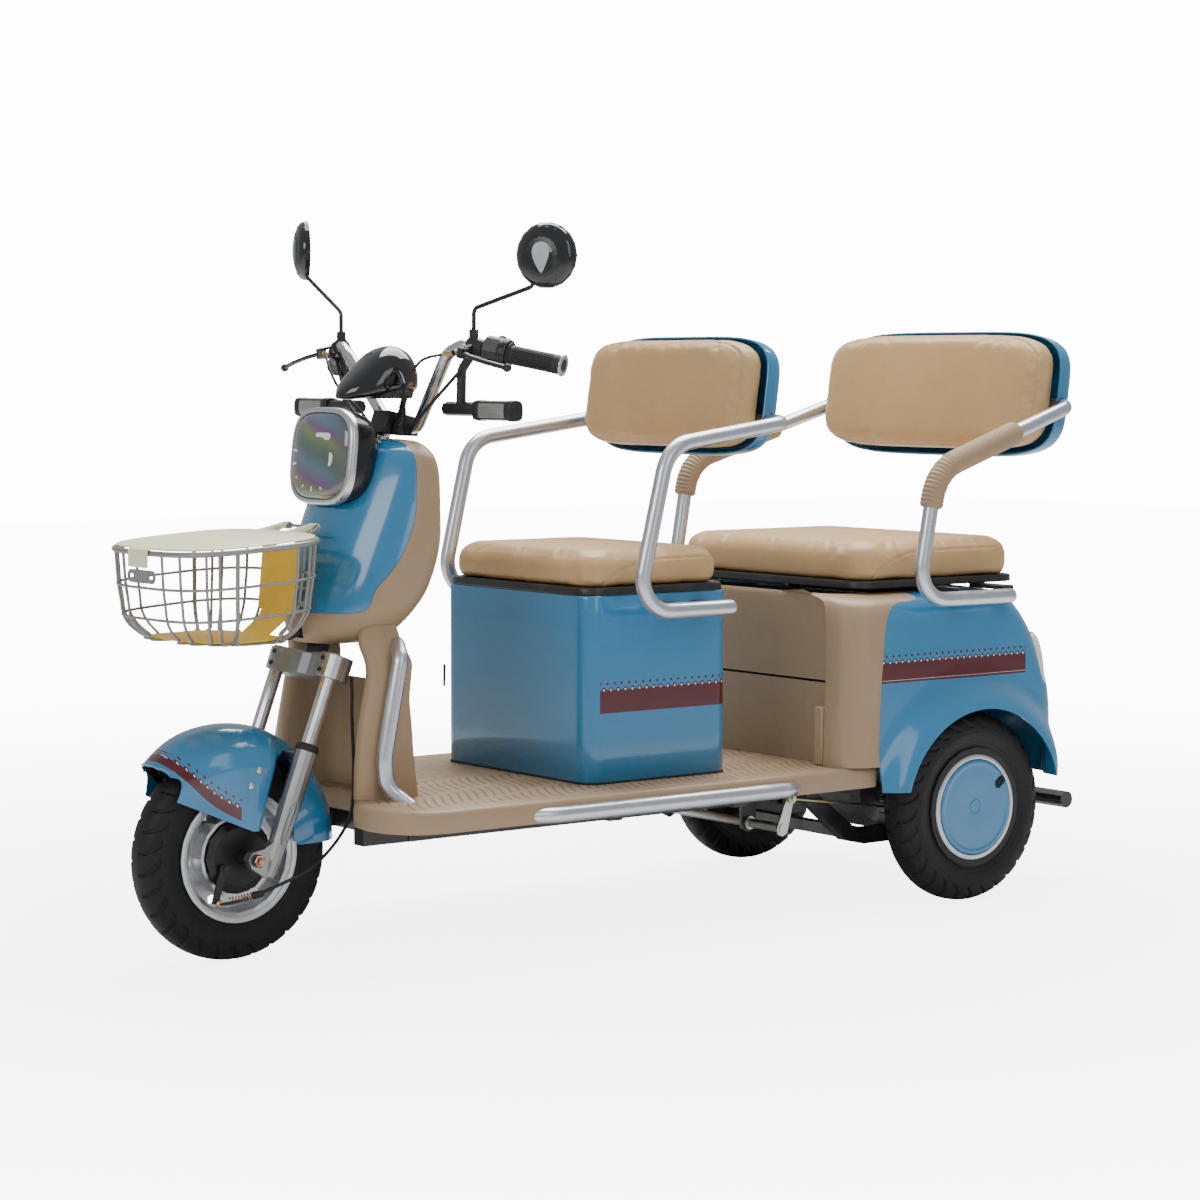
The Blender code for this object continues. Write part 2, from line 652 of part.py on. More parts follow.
def column_rings(grow=0.0):
    rings = []
    for height, front, middle, rear, half, lift in COLUMN_LEVELS:
        ring = []
        for step in range(COLUMN_SIDES):
            angle = 2 * math.pi * (step + 0.5) / COLUMN_SIDES
            depth = math.cos(angle)
            if depth > 0:
                y = middle - (middle - front + grow) * depth
            else:
                y = middle + (rear - middle + grow) * abs(depth) ** 0.6
            ring.append(((half + grow) * math.sin(angle), y, height + grow * lift))
        rings.append(ring)
    return rings


def column_solid(grow):
    return skin("column", column_rings(grow))


def panel_region(gap):
    """What lies ahead of the seam between the blue panel and the beige one, seen from the side."""
    seam = [(0.100, 0.600), (0.196, 0.602), (0.217, 0.642), (0.256, 0.692), (0.285, 0.760), (0.295, 0.830),
            (0.300, 0.875), (0.302, 0.930)]
    outline = [(y - gap, z + gap) for y, z in seam] + [(0.0, 0.930), (0.0, 0.600 + gap)]
    return side_plate("region", outline, -0.3, 0.3)


def front_panel():
    shell = sheet("front_panel", column_rings(), PANEL_WALL, closed_rings=True)
    return dress(kept(shell, panel_region(SEAT_GAP)), GLOSS_BLUE)


def knee_panel():
    shell = sheet("knee_panel", column_rings(), PANEL_WALL, closed_rings=True)
    return dress(cut(shell, panel_region(0.0), strut_hole(), down_tube(DOWN_TUBE_RADIUS + SEAT_GAP)), MATT_BEIGE)


HEADLIGHT_CENTRE = Vector((0, 0.190, 0.870))
HEADLIGHT_TILT = math.radians(6)
HEADLIGHT_HALF_WIDTH = 0.100
HEADLIGHT_HALF_HEIGHT = 0.086


def headlight_ring(share, depth, count=24, power=3.4):
    """A squircle across the headlight, at a depth behind its bezel."""
    ring = []
    back = Vector((0, math.cos(HEADLIGHT_TILT), -math.sin(HEADLIGHT_TILT)))
    up = Vector((0, math.sin(HEADLIGHT_TILT), math.cos(HEADLIGHT_TILT)))
    for step in range(count):
        angle = 2 * math.pi * step / count
        c, s = math.cos(angle), math.sin(angle)
        u = math.copysign(abs(c) ** (2 / power), c) * HEADLIGHT_HALF_WIDTH * share
        w = math.copysign(abs(s) ** (2 / power), s) * HEADLIGHT_HALF_HEIGHT * share
        ring.append(HEADLIGHT_CENTRE + Vector((u, 0, 0)) + up * w + back * depth)
    return ring


BEZEL_DEPTH = 0.014


def headlight_bezel():
    outer = [headlight_ring(0.965, 0.0), headlight_ring(1.0, 0.004), headlight_ring(1.0, BEZEL_DEPTH)]
    inner = [headlight_ring(0.885, BEZEL_DEPTH), headlight_ring(0.885, 0.0)]
    return dress(skin("headlight_bezel", outer + inner, closed_path=True), SATIN_SILVER)


def headlight_housing():
    start = BEZEL_DEPTH + SEAT_GAP
    outer = [headlight_ring(0.97, start), headlight_ring(0.95, 0.040), headlight_ring(0.76, 0.070),
             headlight_ring(0.34, 0.092)]
    inner = [headlight_ring(0.93, start - 0.01), headlight_ring(0.91, 0.038), headlight_ring(0.71, 0.068),
             headlight_ring(0.28, 0.102)]
    housing = cut(skin("headlight_housing", outer), skin("inside", inner), column_solid(PANEL_WALL / 2 + SEAT_GAP))
    return dress(housing, BLACK_PLASTIC)


def headlight_lens():
    share = 0.885 - SEAT_GAP / HEADLIGHT_HALF_HEIGHT
    rings = [headlight_ring(share * 0.5, -0.010), headlight_ring(share * 0.85, -0.006), headlight_ring(share, 0.002),
             headlight_ring(share, 0.007)]
    return dress(skin("headlight_lens", rings), ((0.75, 0.78, 0.80), 0.08))


# Basket

BASKET_LEVELS = [(0.722, 0.178, 0.143), (0.662, 0.174, 0.139), (0.608, 0.168, 0.131), (0.578, 0.150, 0.114),
                 (BASKET_BOTTOM, 0.118, 0.084)]


def basket_point(level, angle, grow=0.0):
    height, half_width, half_length = BASKET_LEVELS[level]
    c, s = math.cos(angle), math.sin(angle)
    x = (half_width + grow) * math.copysign(abs(c) ** 0.625, c)
    y = BASKET_MIDDLE + (half_length + grow) * math.copysign(abs(s) ** 0.625, s)
    slope = BASKET_SLOPE * (y - BASKET_MIDDLE) if level < 3 else 0.0
    return Vector((x, y, height + slope))


def basket_ring(level, radius, sides):
    path = [basket_point(level, 2 * math.pi * (step + 0.5) / 16) for step in range(16)]
    return tube("ring", path, radius, sides, closed=True, up=(0, 0, 1))


def basket_wire():
    rim = basket_ring(0, RIM_WIRE_RADIUS, 6)
    others = [basket_ring(1, WIRE_RADIUS, 4), basket_ring(2, WIRE_RADIUS, 4)]
    for angle in (-30, 30):
        near = [basket_point(level, math.radians(angle)) for level in range(5)]
        far = [basket_point(level, math.radians(180 - angle)) for level in range(4, -1, -1)]
        others.append(tube("wire", near + far, WIRE_RADIUS, 4))
    for angle in (72, 108):
        near = [basket_point(level, math.radians(angle)) for level in range(5)]
        far = [basket_point(level, math.radians(-angle)) for level in range(4, -1, -1)]
        others.append(tube("wire", near + far, WIRE_RADIUS, 4))
    rear = basket_point(0, math.pi / 2)
    hinge = rounded([(-0.062, rear.y - 0.002, rear.z), (-0.062, *HINGE_ROD), (0.062, *HINGE_ROD),
                     (0.062, rear.y - 0.002, rear.z)], 0.008, math.radians(30))
    others.append(tube("hinge_rod", hinge, HINGE_ROD_RADIUS, 8))
    for x in (-0.050, 0.050):
        start = basket_point(2, math.radians(72))
        others.append(cut(rod("foot", (x, start.y - 0.0015, start.z), (x, 0.200, start.z), 0.004, 8),
                          column_solid(PANEL_WALL / 2 + SEAT_GAP)))
    front = basket_point(1, -math.pi / 2)
    others.append(block("latch", (-0.045, front.y - 0.0030, front.z - 0.004),
                        (0.045, front.y + 0.0010, front.z + 0.030)))
    return dress(named(joined(rim, *others), "basket_wire"), CAST_GREY)


def basket_liner():
    low = BASKET_BOTTOM + WIRE_RADIUS + SEAT_GAP
    ring = [basket_point(4, 2 * math.pi * (step + 0.5) / 16) for step in range(16)]
    plate = skin("basket_liner", [[(p.x, p.y, z) for p in ring] for z in (low, low + 0.003)])
    strip = side_plate("strip", [(0.050, low + 0.0005), (0.055, low + 0.0005), (0.1005, 0.606), (0.1005, 0.614),
                                 (0.0970, 0.610)], -0.042, 0.042)
    back = side_plate("back", [(0.0970, 0.602), (0.1005, 0.602), (0.1110, 0.716), (0.1075, 0.716)], -0.059, 0.059)
    return dress(joined(plate, strip, back), YELLOW_PLASTIC)


LID_WALL = 0.0035


def basket_lid():
    def lid_height(y):
        return BASKET_LEVELS[0][0] + BASKET_SLOPE * (y - BASKET_MIDDLE) + RIM_WIRE_RADIUS + SEAT_GAP

    ring = [basket_point(0, 2 * math.pi * (step + 0.5) / 16, -0.002) for step in range(16)]
    rings = []
    for lift, share in ((0.0, 1.0), (LID_WALL, 1.0), (LID_WALL + 0.005, 0.80), (LID_WALL + 0.008, 0.45)):
        rings.append([(p.x * share, BASKET_MIDDLE + (p.y - BASKET_MIDDLE) * share,
                       lid_height(BASKET_MIDDLE + (p.y - BASKET_MIDDLE) * share) + lift) for p in ring])
    lid = skin("basket_lid", rings)
    y, z = HINGE_ROD
    pieces = []
    for side in (1, -1):
        left, right = sorted((side * 0.034, side * 0.054))
        foot = lid_height(0.085)
        arm = [(0.085, foot + 0.0005), (y, z - 0.004), (y, z + 0.0045), (0.085, foot + 0.003)]
        pieces.append(side_plate("arm", arm, left, right))
        pieces.append(rod("lug", (left, y, z), (right, y, z), 0.0068, 12))
    front = BASKET_MIDDLE - BASKET_LEVELS[0][2]
    outside = front - RIM_WIRE_RADIUS - SEAT_GAP
    top = lid_height(front)
    tab = [(front + 0.012, top + 0.0012), (front + 0.012, top + 0.0035), (outside - 0.003, top + 0.0020),
           (outside - 0.003, 0.688), (outside, 0.688), (outside, top - 0.0002), (front, top + 0.0003)]
    pieces.append(side_plate("tab", tab, -0.033, 0.033))
    lid = joined(lid, *pieces)
    bore = rod("bore", (-0.06, y, z), (0.06, y, z), (HINGE_ROD_RADIUS + RUNNING_GAP) / math.cos(math.pi / 8), 12)
    return dress(cut(lid, bore), YELLOW_PLASTIC)


# Seats

def front_seat_box():
    low = FLOOR_TOP + SEAT_GAP
    outer = rounded_rectangle(BOX_HALF_WIDTH, BOX_FRONT, BOX_REAR, 0.034)
    inner = rounded_rectangle(BOX_HALF_WIDTH - PANEL_WALL, BOX_FRONT + PANEL_WALL, BOX_REAR - PANEL_WALL,
                              0.034 - PANEL_WALL)
    box = flat_plate("front_seat_box", outer, low, BOX_TOP)
    return dress(cut(box, flat_plate("inside", inner, low + PANEL_WALL, BOX_TOP + 0.05)), GLOSS_BLUE)


def seat_pan(name, half, front, rear, low):
    """A pan with a rim below, so that it stands off the box and takes the lid's hinge."""
    pan = flat_plate(name, rounded_rectangle(half, front, rear, 0.045), low, low + PAN_THICKNESS)
    hollow = rounded_rectangle(half - 0.014, front + 0.014, rear - 0.014, 0.032)
    return dress(cut(pan, flat_plate("hollow", hollow, low - 0.01, low + PAN_THICKNESS - 0.004)), BLACK_PLASTIC)


def seat_cushion(name, half, front, rear, low, thickness):
    """A crowned pad: each ring is one height."""
    grow = [(0.0, -0.004), (0.15, 0.0), (0.45, 0.003), (0.8, -0.003), (0.95, -0.018), (1.0, -0.050)]
    rings = []
    for share, step in grow:
        plan = rounded_rectangle(half + step, front - step, rear + step, 0.050 + min(step, 0))
        rings.append([(x, y, low + share * thickness) for x, y in plan])
    return dress(skin(name, rings), LEATHER)


def backrest_point(rest, across, up, back):
    y, z = rest[:2]
    return Vector((across, y + up * math.sin(BACKREST_TILT) + back * math.cos(BACKREST_TILT),
                   z + up * math.cos(BACKREST_TILT) - back * math.sin(BACKREST_TILT)))


def backrest_ring(rest, inset, back, count=20):
    """A squircle across the backrest; inset shrinks it on all sides."""
    half_width, height, lift = rest[2:]
    ring = []
    for step in range(count):
        angle = 2 * math.pi * (step + 0.5) / count
        c, s = math.cos(angle), math.sin(angle)
        across = (half_width - inset) * math.copysign(abs(c) ** 0.42, c)
        up = (height / 2 - inset) * math.copysign(abs(s) ** 0.42, s)
        ring.append(backrest_point(rest, across, up + lift, back))
    return ring


def backrest_cushion(name, rest):
    rear = -HOOP_RADIUS - 0.002
    steps = [(0.004, 0.0), (0.0, 0.3), (0.002, 0.65), (0.012, 0.9), (0.035, 1.0)]
    rings = [backrest_ring(rest, inset, rear - share * BACKREST_PAD) for inset, share in steps]
    return dress(skin(name, rings), LEATHER)


def backrest_shell(name, rest, hoop):
    """A shallow cup behind the cushion, notched where the tube enters."""
    front = -HOOP_RADIUS - 0.002 + SEAT_GAP
    outer = [backrest_ring(rest, inset, depth)
             for inset, depth in ((0.0, front), (0.002, 0.012), (0.012, 0.024), (0.040, 0.030))]
    inner = [backrest_ring(rest, inset, depth)
             for inset, depth in ((PANEL_WALL, front - 0.01), (0.005, 0.010), (0.015, 0.0205), (0.042, 0.0265))]
    shell = cut(skin(name, outer), skin("inside", inner))
    return dress(cut(shell, tube("room", hoop, HOOP_RADIUS + SEAT_GAP, TUBE_SIDES)), GLOSS_BLUE)


def hoop_path(arm_x, back_x, lower_rear, lower_front, top_bend, rest, top_radius):
    """The tube from one armrest's foot round behind the backrest to the other's."""
    y, z = rest[:2]
    left = [(arm_x, *lower_rear), (arm_x, *lower_front), (arm_x + 0.003, *top_bend), (back_x, y, z)]
    right = [(-x, y, z) for x, y, z in left[::-1]]
    return rounded(left + right, [0.060, top_radius, 0.032, 0.032, top_radius, 0.060], math.radians(30))


def front_hoop_path():
    return hoop_path(FRONT_ARM_X, FRONT_BACK_X, (0.884, 0.591), (0.656, 0.591), (0.728, 0.886),
                     FRONT_BACKREST, 0.070)


def rear_hoop_path():
    return hoop_path(REAR_ARM_X, REAR_BACK_X, (1.535, 0.588), (1.280, 0.588), (1.325, 0.832), REAR_BACKREST, 0.088)


def front_seat_hoop():
    hoop = tube("front_seat_hoop", front_hoop_path(), HOOP_RADIUS, TUBE_SIDES)
    pieces = []
    for side in (1, -1):
        for y in (0.790, 0.860):
            left, right = sorted((side * (BOX_HALF_WIDTH + SEAT_GAP), side * (FRONT_ARM_X - 0.004)))
            pieces.append(block("bracket", (left, y - 0.014, 0.584), (right, y + 0.014, 0.601)))
    return dress(joined(hoop, *pieces), SATIN_SILVER)


def rear_seat_hoop():
    hoop = tube("rear_seat_hoop", rear_hoop_path(), HOOP_RADIUS, TUBE_SIDES)
    pieces = []
    for side in (1, -1):
        for y in (1.410, 1.530):
            left, right = sorted((side * 0.262, side * (REAR_ARM_X - 0.004)))
            low = BODY_TOP + PANEL_WALL / 2 + SEAT_GAP
            pieces.append(block("bracket", (left, y - 0.015, low), (right, y + 0.015, REAR_SEAT_FLOOR - SEAT_GAP)))
    return dress(joined(hoop, *pieces), SATIN_SILVER)


def arm_sleeve():
    """A ribbed sleeve over the left armrest, from above its foot to past its top bend."""
    path = rear_hoop_path()
    first = next(i for i, p in enumerate(path) if p.z > 0.70 and p.x > 0)
    start = (SLEEVE_FOOT_HEIGHT - path[first - 1].z) / (path[first].z - path[first - 1].z)
    path = path[:first] + [path[first - 1].lerp(path[first], start)] + path[first:]
    last = next(i for i, p in enumerate(path) if i > first and p.y > 1.50)
    end = (SLEEVE_END_Y - path[last - 1].y) / (path[last].y - path[last - 1].y)
    corner = path[last - 1].lerp(path[last], end)
    path = path[:last] + [corner] + path[last:]
    outer = tube_rings(path, SLEEVE_RADIUS, TUBE_SIDES)[first:last + 1]
    inner = tube_rings(path, HOOP_RADIUS + SEAT_GAP, TUBE_SIDES)[first:last + 1]
    return skin("rear_arm_sleeve_left", outer + inner[::-1], closed_path=True)


# Rear body

# Height, half width, rear, front of the side trims, and how far the inner panel stands back from them
BODY_LEVELS = [(0.230, 0.345, 1.682, 1.133, 0.030), (0.310, 0.345, 1.691, 1.135, 0.030),
               (0.375, 0.345, 1.689, 1.137, 0.030), (0.425, 0.345, 1.677, 1.139, 0.030),
               (0.505, 0.344, 1.640, 1.142, 0.030), (0.558, 0.337, 1.606, 1.146, 0.028),
               (0.587, 0.318, 1.580, 1.156, 0.020), (BODY_TOP, 0.262, 1.545, 1.176, 0.004)]
ARCH_CENTRE = (1.447, 0.176)
ARCH_HALF_LENGTH = 0.204
ARCH_HEIGHT = 0.199
FLARE = 0.040


def flare(y, z):
    """How far the wheel arch stands out from the body's side."""
    away = math.hypot((y - ARCH_CENTRE[0]) / ARCH_HALF_LENGTH, (z - ARCH_CENTRE[1]) / ARCH_HEIGHT)
    share = min(1.0, max(0.0, (1.36 - away) / 0.34))
    return FLARE * share * share * (3 - 2 * share)


def body_rings(grow=0.0):
    rings = []
    for height, half, rear, front, recess in BODY_LEVELS:
        plan = rounded_rectangle(half + grow, front - grow, rear + grow, 0.060, 3, 8)
        edge = half - 0.074
        plan += [(-edge, front - grow), (-edge + 0.010, front + recess - grow),
                 (edge - 0.010, front + recess - grow), (edge, front - grow)]
        ring = []
        for x, y in plan:
            side = math.copysign(flare(y, height), x) if abs(x) > half - 0.01 else 0.0
            ring.append((x + side, y, height))
        rings.append(ring)
    return rings


def trim_region(gap):
    """What lies ahead of the seam between the beige trim and the blue body, seen from the side."""
    seam = [(1.204, 0.150), (1.205, 0.290), (1.209, 0.405), (1.217, 0.500), (1.230, 0.555), (1.262, 0.582),
            (1.330, 0.592), (1.345, 0.650)]
    return side_plate("region", [(y - gap, z) for y, z in seam] + [(1.0, 0.650), (1.0, 0.150)], -0.5, 0.5)


def arch_cutter():
    outline = []
    for step in range(24):
        angle = 2 * math.pi * step / 24
        outline.append((ARCH_CENTRE[0] + ARCH_HALF_LENGTH * math.cos(angle),
                        ARCH_CENTRE[1] + ARCH_HEIGHT * math.sin(angle)))
    return side_plate("arch", outline, -0.5, 0.5)


def rear_body():
    shell = sheet("rear_body", body_rings(), PANEL_WALL, closed_rings=True)
    return dress(cut(shell, trim_region(0.0), arch_cutter()), GLOSS_BLUE)


def rear_inner_panel():
    """The beige front of the rear body, standing on the floor, with its side trims."""
    shell = sheet("rear_inner_panel", body_rings(), PANEL_WALL, closed_rings=True)
    floor = block("floor", (-0.5, 1.0, 0.1), (0.5, FLOOR_REAR + SEAT_GAP, FLOOR_TOP + SEAT_GAP))
    return dress(cut(kept(shell, trim_region(SEAT_GAP)), floor), MATT_BEIGE)


def tail_lamp():
    """A lens bulging from the body's rear left corner."""
    rings = []
    out = Vector((0.55, 0.835, 0.0))
    across = Vector((0.835, -0.55, 0.0))
    for depth, share in ((-0.030, 1.0), (0.006, 1.0), (0.014, 0.8), (0.018, 0.4)):
        ring = []
        for step in range(18):
            angle = 2 * math.pi * step / 18
            point = Vector((0.306, 1.652, 0.437)) + out * depth
            point += across * (0.040 * share * math.cos(angle))
            point += Vector((0, -0.16, 1)).normalized() * (0.072 * share * math.sin(angle))
            ring.append(point)
        rings.append(ring)
    body = skin("body", body_rings(PANEL_WALL / 2 + SEAT_GAP))
    return dress(cut(skin("tail_lamp_left", rings), body), ((0.85, 0.83, 0.78), 0.15))


def battery():
    low = 0.318 + FRAME_TUBE + SEAT_GAP
    return dress(block("battery", (-0.132, 1.330, low), (0.132, 1.590, low + 0.150), 0.006), BLACK_PLASTIC)


# Steering

def steering_sleeve(name, inner, outer, start, end, segments=16):
    """A ring round the straight end of the handlebar, at distances from its bend."""
    bend = Vector(BAR_BEND)
    along = (Vector(BAR_END) - bend).normalized()
    outline = [(start, inner), (end, inner), (end, outer), (start, outer)]
    return turned(name, outline, bend, along, segments, start=(0, 0, 1))


def bar_point(distance):
    bend = Vector(BAR_BEND)
    return bend + (Vector(BAR_END) - bend).normalized() * distance


def bar_path():
    y, z = BAR_CENTRE
    left = [(0.045, y + 0.006, z), (0.160, 0.353, 1.050), BAR_BEND, BAR_END]
    right = [(-x, y, z) for x, y, z in left[::-1]]
    return rounded(right + left, [0.035, 0.05, 0.03, 0.03, 0.05, 0.035])


def handlebar():
    return dress(tube("handlebar", bar_path(), BAR_RADIUS, TUBE_SIDES), SATIN_SILVER)


def fork_crown():
    """Crown with the steering stem, the bar clamp and both stanchions."""
    low = fork_point(0, 0, CROWN_FOOT)
    stem_top = 0.815
    stem = rod("stem", low, fork_point(0, 0, stem_top), STEERER_RADIUS, 16)
    pieces = []
    for side in (1, -1):
        x = side * LEG_HALF_SPACING
        pieces.append(rod("stanchion", fork_point(x, LEG_LEAD, STANCHION_FOOT),
                          fork_point(x, LEG_LEAD, CROWN_TOP + 0.003), STANCHION_RADIUS, 12))
        pieces.append(rod("clamp", fork_point(x, LEG_LEAD, CROWN_FOOT - 0.002),
                          fork_point(x, LEG_LEAD, CROWN_TOP), CLAMP_RADIUS, 12))
    bridge = []
    for along in (CROWN_FOOT, CROWN_TOP - 0.001):
        ring = []
        for x, ahead in ((-0.085, -0.006), (-0.030, -0.026), (0.030, -0.026), (0.085, -0.006), (0.085, 0.030),
                         (0.034, 0.016), (-0.034, 0.016), (-0.085, 0.030)):
            ring.append(fork_point(x, ahead, along))
        bridge.append(ring)
    pieces.append(skin("bridge", bridge))
    corners = [(0.018, 0.788), (0.018, 0.828), (-0.050, 0.838), (-0.054, 0.808), (-0.018, 0.798)]
    clamp = [[fork_point(x, ahead, along) for ahead, along in corners] for x in (-0.024, 0.024)]
    y, z = BAR_CENTRE
    crown = joined(stem, *pieces, skin("bar_clamp", clamp))
    room = tube("room", bar_path(), BAR_RADIUS + SEAT_GAP, TUBE_SIDES)
    return dress(named(cut(crown, room), "fork_crown"), CAST_GREY)


def dash_pod():
    """A drop-shaped pod with the wiring loom that leaves it beside the stem."""
    sections = [(0.229, 0.974, 0.008, 0.007), (0.246, 0.981, 0.032, 0.021), (0.274, 0.992, 0.049, 0.036),
                (0.304, 1.004, 0.057, 0.049), (0.334, 1.010, 0.059, 0.053), (0.358, 1.008, 0.053, 0.047),
                (0.372, 1.002, 0.040, 0.035)]
    rings = []
    for y, z, half, height in sections:
        ring = []
        for step in range(14):
            angle = 2 * math.pi * step / 14
            ring.append((half * math.cos(angle), y, z + height * math.sin(angle)))
        rings.append(ring)
    pod = skin("dash_pod", rings)
    foot = block("foot", (-0.022, 0.328, 0.945), (0.022, 0.364, 0.975))
    loom = tube("loom", rounded([(0.034, 0.350, 0.985), (0.038, 0.336, 0.945),
                                 (0.026, 0.330, 0.9085)], [0.03]), 0.0065, 8)
    pod = joined(pod, foot, loom)
    clear = tube("room", bar_path(), BAR_RADIUS + SEAT_GAP, TUBE_SIDES)
    corners = [(0.022, 0.780), (0.022, 0.8285), (-0.054, 0.8385), (-0.058, 0.800), (-0.020, 0.790)]
    clamp = [[fork_point(x, ahead, along) for ahead, along in corners] for x in (-0.0245, 0.0245)]
    return dress(cut(pod, clear, skin("clamp_room", clamp)), ((0.006, 0.006, 0.007), 0.08))


GRIP_START = math.dist(BAR_BEND, BAR_END) - GRIP_LENGTH


def grip(name):
    inner = (BAR_RADIUS + SEAT_GAP) / math.cos(math.pi / TUBE_SIDES)
    length = (Vector(BAR_END) - Vector(BAR_BEND)).length
    body = steering_sleeve(name, inner, GRIP_RADIUS, GRIP_START, length + 0.004, 12)
    along = (Vector(BAR_END) - Vector(BAR_BEND)).normalized()
    end = bar_point(length + SEAT_GAP)
    return joined(body, rod("end", end, end + along * 0.005, GRIP_RADIUS - 0.0005, 12))


def lever_axis():
    return Vector((math.sin(LEVER_TILT), 0, math.cos(LEVER_TILT)))


HORN_DISTANCE = 0.064
HOUSING_RADIUS = 0.0255
PLAIN_HOUSING_RADIUS = 0.0208


def horn_direction():
    along = (Vector(BAR_END) - Vector(BAR_BEND)).normalized()
    rear_up = Vector((0, 0.75, 0.66))
    return (rear_up - along * rear_up.dot(along)).normalized()


def controls(name, with_horn):
    """Left side: lever perch, switch housing, mirror boss and turn signal, all on one clamp."""
    clamp = steering_sleeve("clamp", 0.005, 0.0165, 0.010, 0.040, 10)
    pieces = [steering_sleeve("housing", 0.005, HOUSING_RADIUS if with_horn else PLAIN_HOUSING_RADIUS, 0.046,
                              GRIP_START - 0.0006, 12),
              steering_sleeve("neck", 0.005, 0.0140, 0.030, 0.060, 8)]
    if with_horn:
        out = horn_direction()
        middle = bar_point(HORN_DISTANCE)
        pieces.append(rod("boss", middle, middle + out * 0.0295, 0.0095, 12))
    boss = bar_point(0.020)
    pieces.append(rod("mirror_boss", boss, boss + Vector((0, 0, 0.030)), 0.0085, 8))
    pivot = Vector(LEVER_PIVOT)
    axis = lever_axis()
    for gap, wall in ((0.0054, 0.0035), (-0.0054, -0.0035)):
        pieces.append(rod("ear", pivot + axis * gap, pivot + axis * (gap + wall), 0.0105, 10))
    pieces.append(rod("pin", pivot - axis * 0.0070, pivot + axis * 0.0070, PIN_RADIUS, 10))
    start = bar_point(0.024)
    for lift in (0.0088, -0.0088):
        pieces.append(tube("bracket", [start + axis * lift * 0.8, pivot + axis * lift + Vector((-0.002, 0.004, 0))],
                           0.0028, 4))
    post = rounded([start, (0.186, 0.364, 1.020), (0.181, 0.366, 0.953)], 0.02)
    pieces.append(tube("post", post, 0.0085, 8))
    pieces.append(rod("arm", (0.138, 0.366, 0.953), (0.240, 0.366, 0.953), 0.0125, 8))
    pieces.append(block("lamp", (0.236, 0.353, 0.936), (0.342, 0.379, 0.966)))
    body = joined(clamp, *pieces)
    bores = [tube("room", bar_path(), BAR_RADIUS + SEAT_GAP, TUBE_SIDES)]
    if with_horn:
        bores.append(rod("horn_room", middle + out * 0.0235, middle + out * 0.05, 0.0066, 14))
    stem = mirror_stem_path(MIRROR_HEIGHT_LEFT)
    bores.append(rod("stem_room", stem[0] - Vector((0, 0, 0.002)), stem[0] + Vector((0, 0, 0.05)), 0.0046, 10))
    return dress(named(cut(body, *bores), name), BLACK_PLASTIC)


def horn_button():
    out = horn_direction()
    middle = bar_point(HORN_DISTANCE)
    return dress(rod("horn_button", middle + out * 0.0262, middle + out * 0.0325, 0.0066 - RUNNING_GAP, 14),
                 ((0.5, 0.05, 0.03), 0.4))


def brake_lever():
    pivot = Vector(LEVER_PIVOT)
    tip = Vector(LEVER_TIP)
    axis = lever_axis()
    eye = rod("eye", pivot - axis * 0.0048, pivot + axis * 0.0048, 0.0095, 10)
    blade_path = [pivot + Vector((0.006, -0.003, -0.001)), pivot.lerp(tip, 0.3) + Vector((0, -0.010, 0)),
                  pivot.lerp(tip, 0.65) + Vector((0, -0.009, 0)), tip]
    blade = tube("blade", blade_path, 0.0046, 6)
    ball = turned("ball", [(0.0075 * math.sin(a), 0.0075 * math.cos(a)) for a in
                           [math.radians(d) for d in (-90, -50, -15, 20, 55, 90)]], tip, (1, 0, 0), 8)
    bore = rod("bore", pivot - axis * 0.02, pivot + axis * 0.02, PIN_RADIUS + RUNNING_GAP, 10)
    lever = cut(joined(eye, blade, ball), bore)
    return dress(named(lever, "brake_lever_left"), BLACK_PAINT)


def mirror_stem_path(height):
    base = bar_point(0.020) + Vector((0, 0, 0.016))
    head = Vector((MIRROR_X, MIRROR_Y, height))
    return [base, base + Vector((0, 0, 0.050)), head + Vector((-0.030, -0.008, -0.053)),
            head + Vector((-0.010, -0.006, -0.028))]


def mirror(name, height):
    """Round head on a bent stem; its glass faces rearwards and a little inwards."""
    stem = tube("stem", rounded(mirror_stem_path(height), [0.012, 0.010]), 0.004, 8)
    facing = Vector((-math.sin(MIRROR_TURN), math.cos(MIRROR_TURN), 0))
    r = MIRROR_RADIUS
    outline = [(-0.020, 0), (-0.017, 0.55 * r), (-0.010, 0.86 * r), (0.0, r), (0.008, r), (0.008, 0)]
    head = turned("head", outline, (MIRROR_X, MIRROR_Y, height), facing, 18)
    return dress(named(joined(head, stem), name), BLACK_PLASTIC)


# Lower fork

# Half width of the mudguard where the boss of each fork leg carries it, and the gap
GUARD_SEAT_X = 0.0438


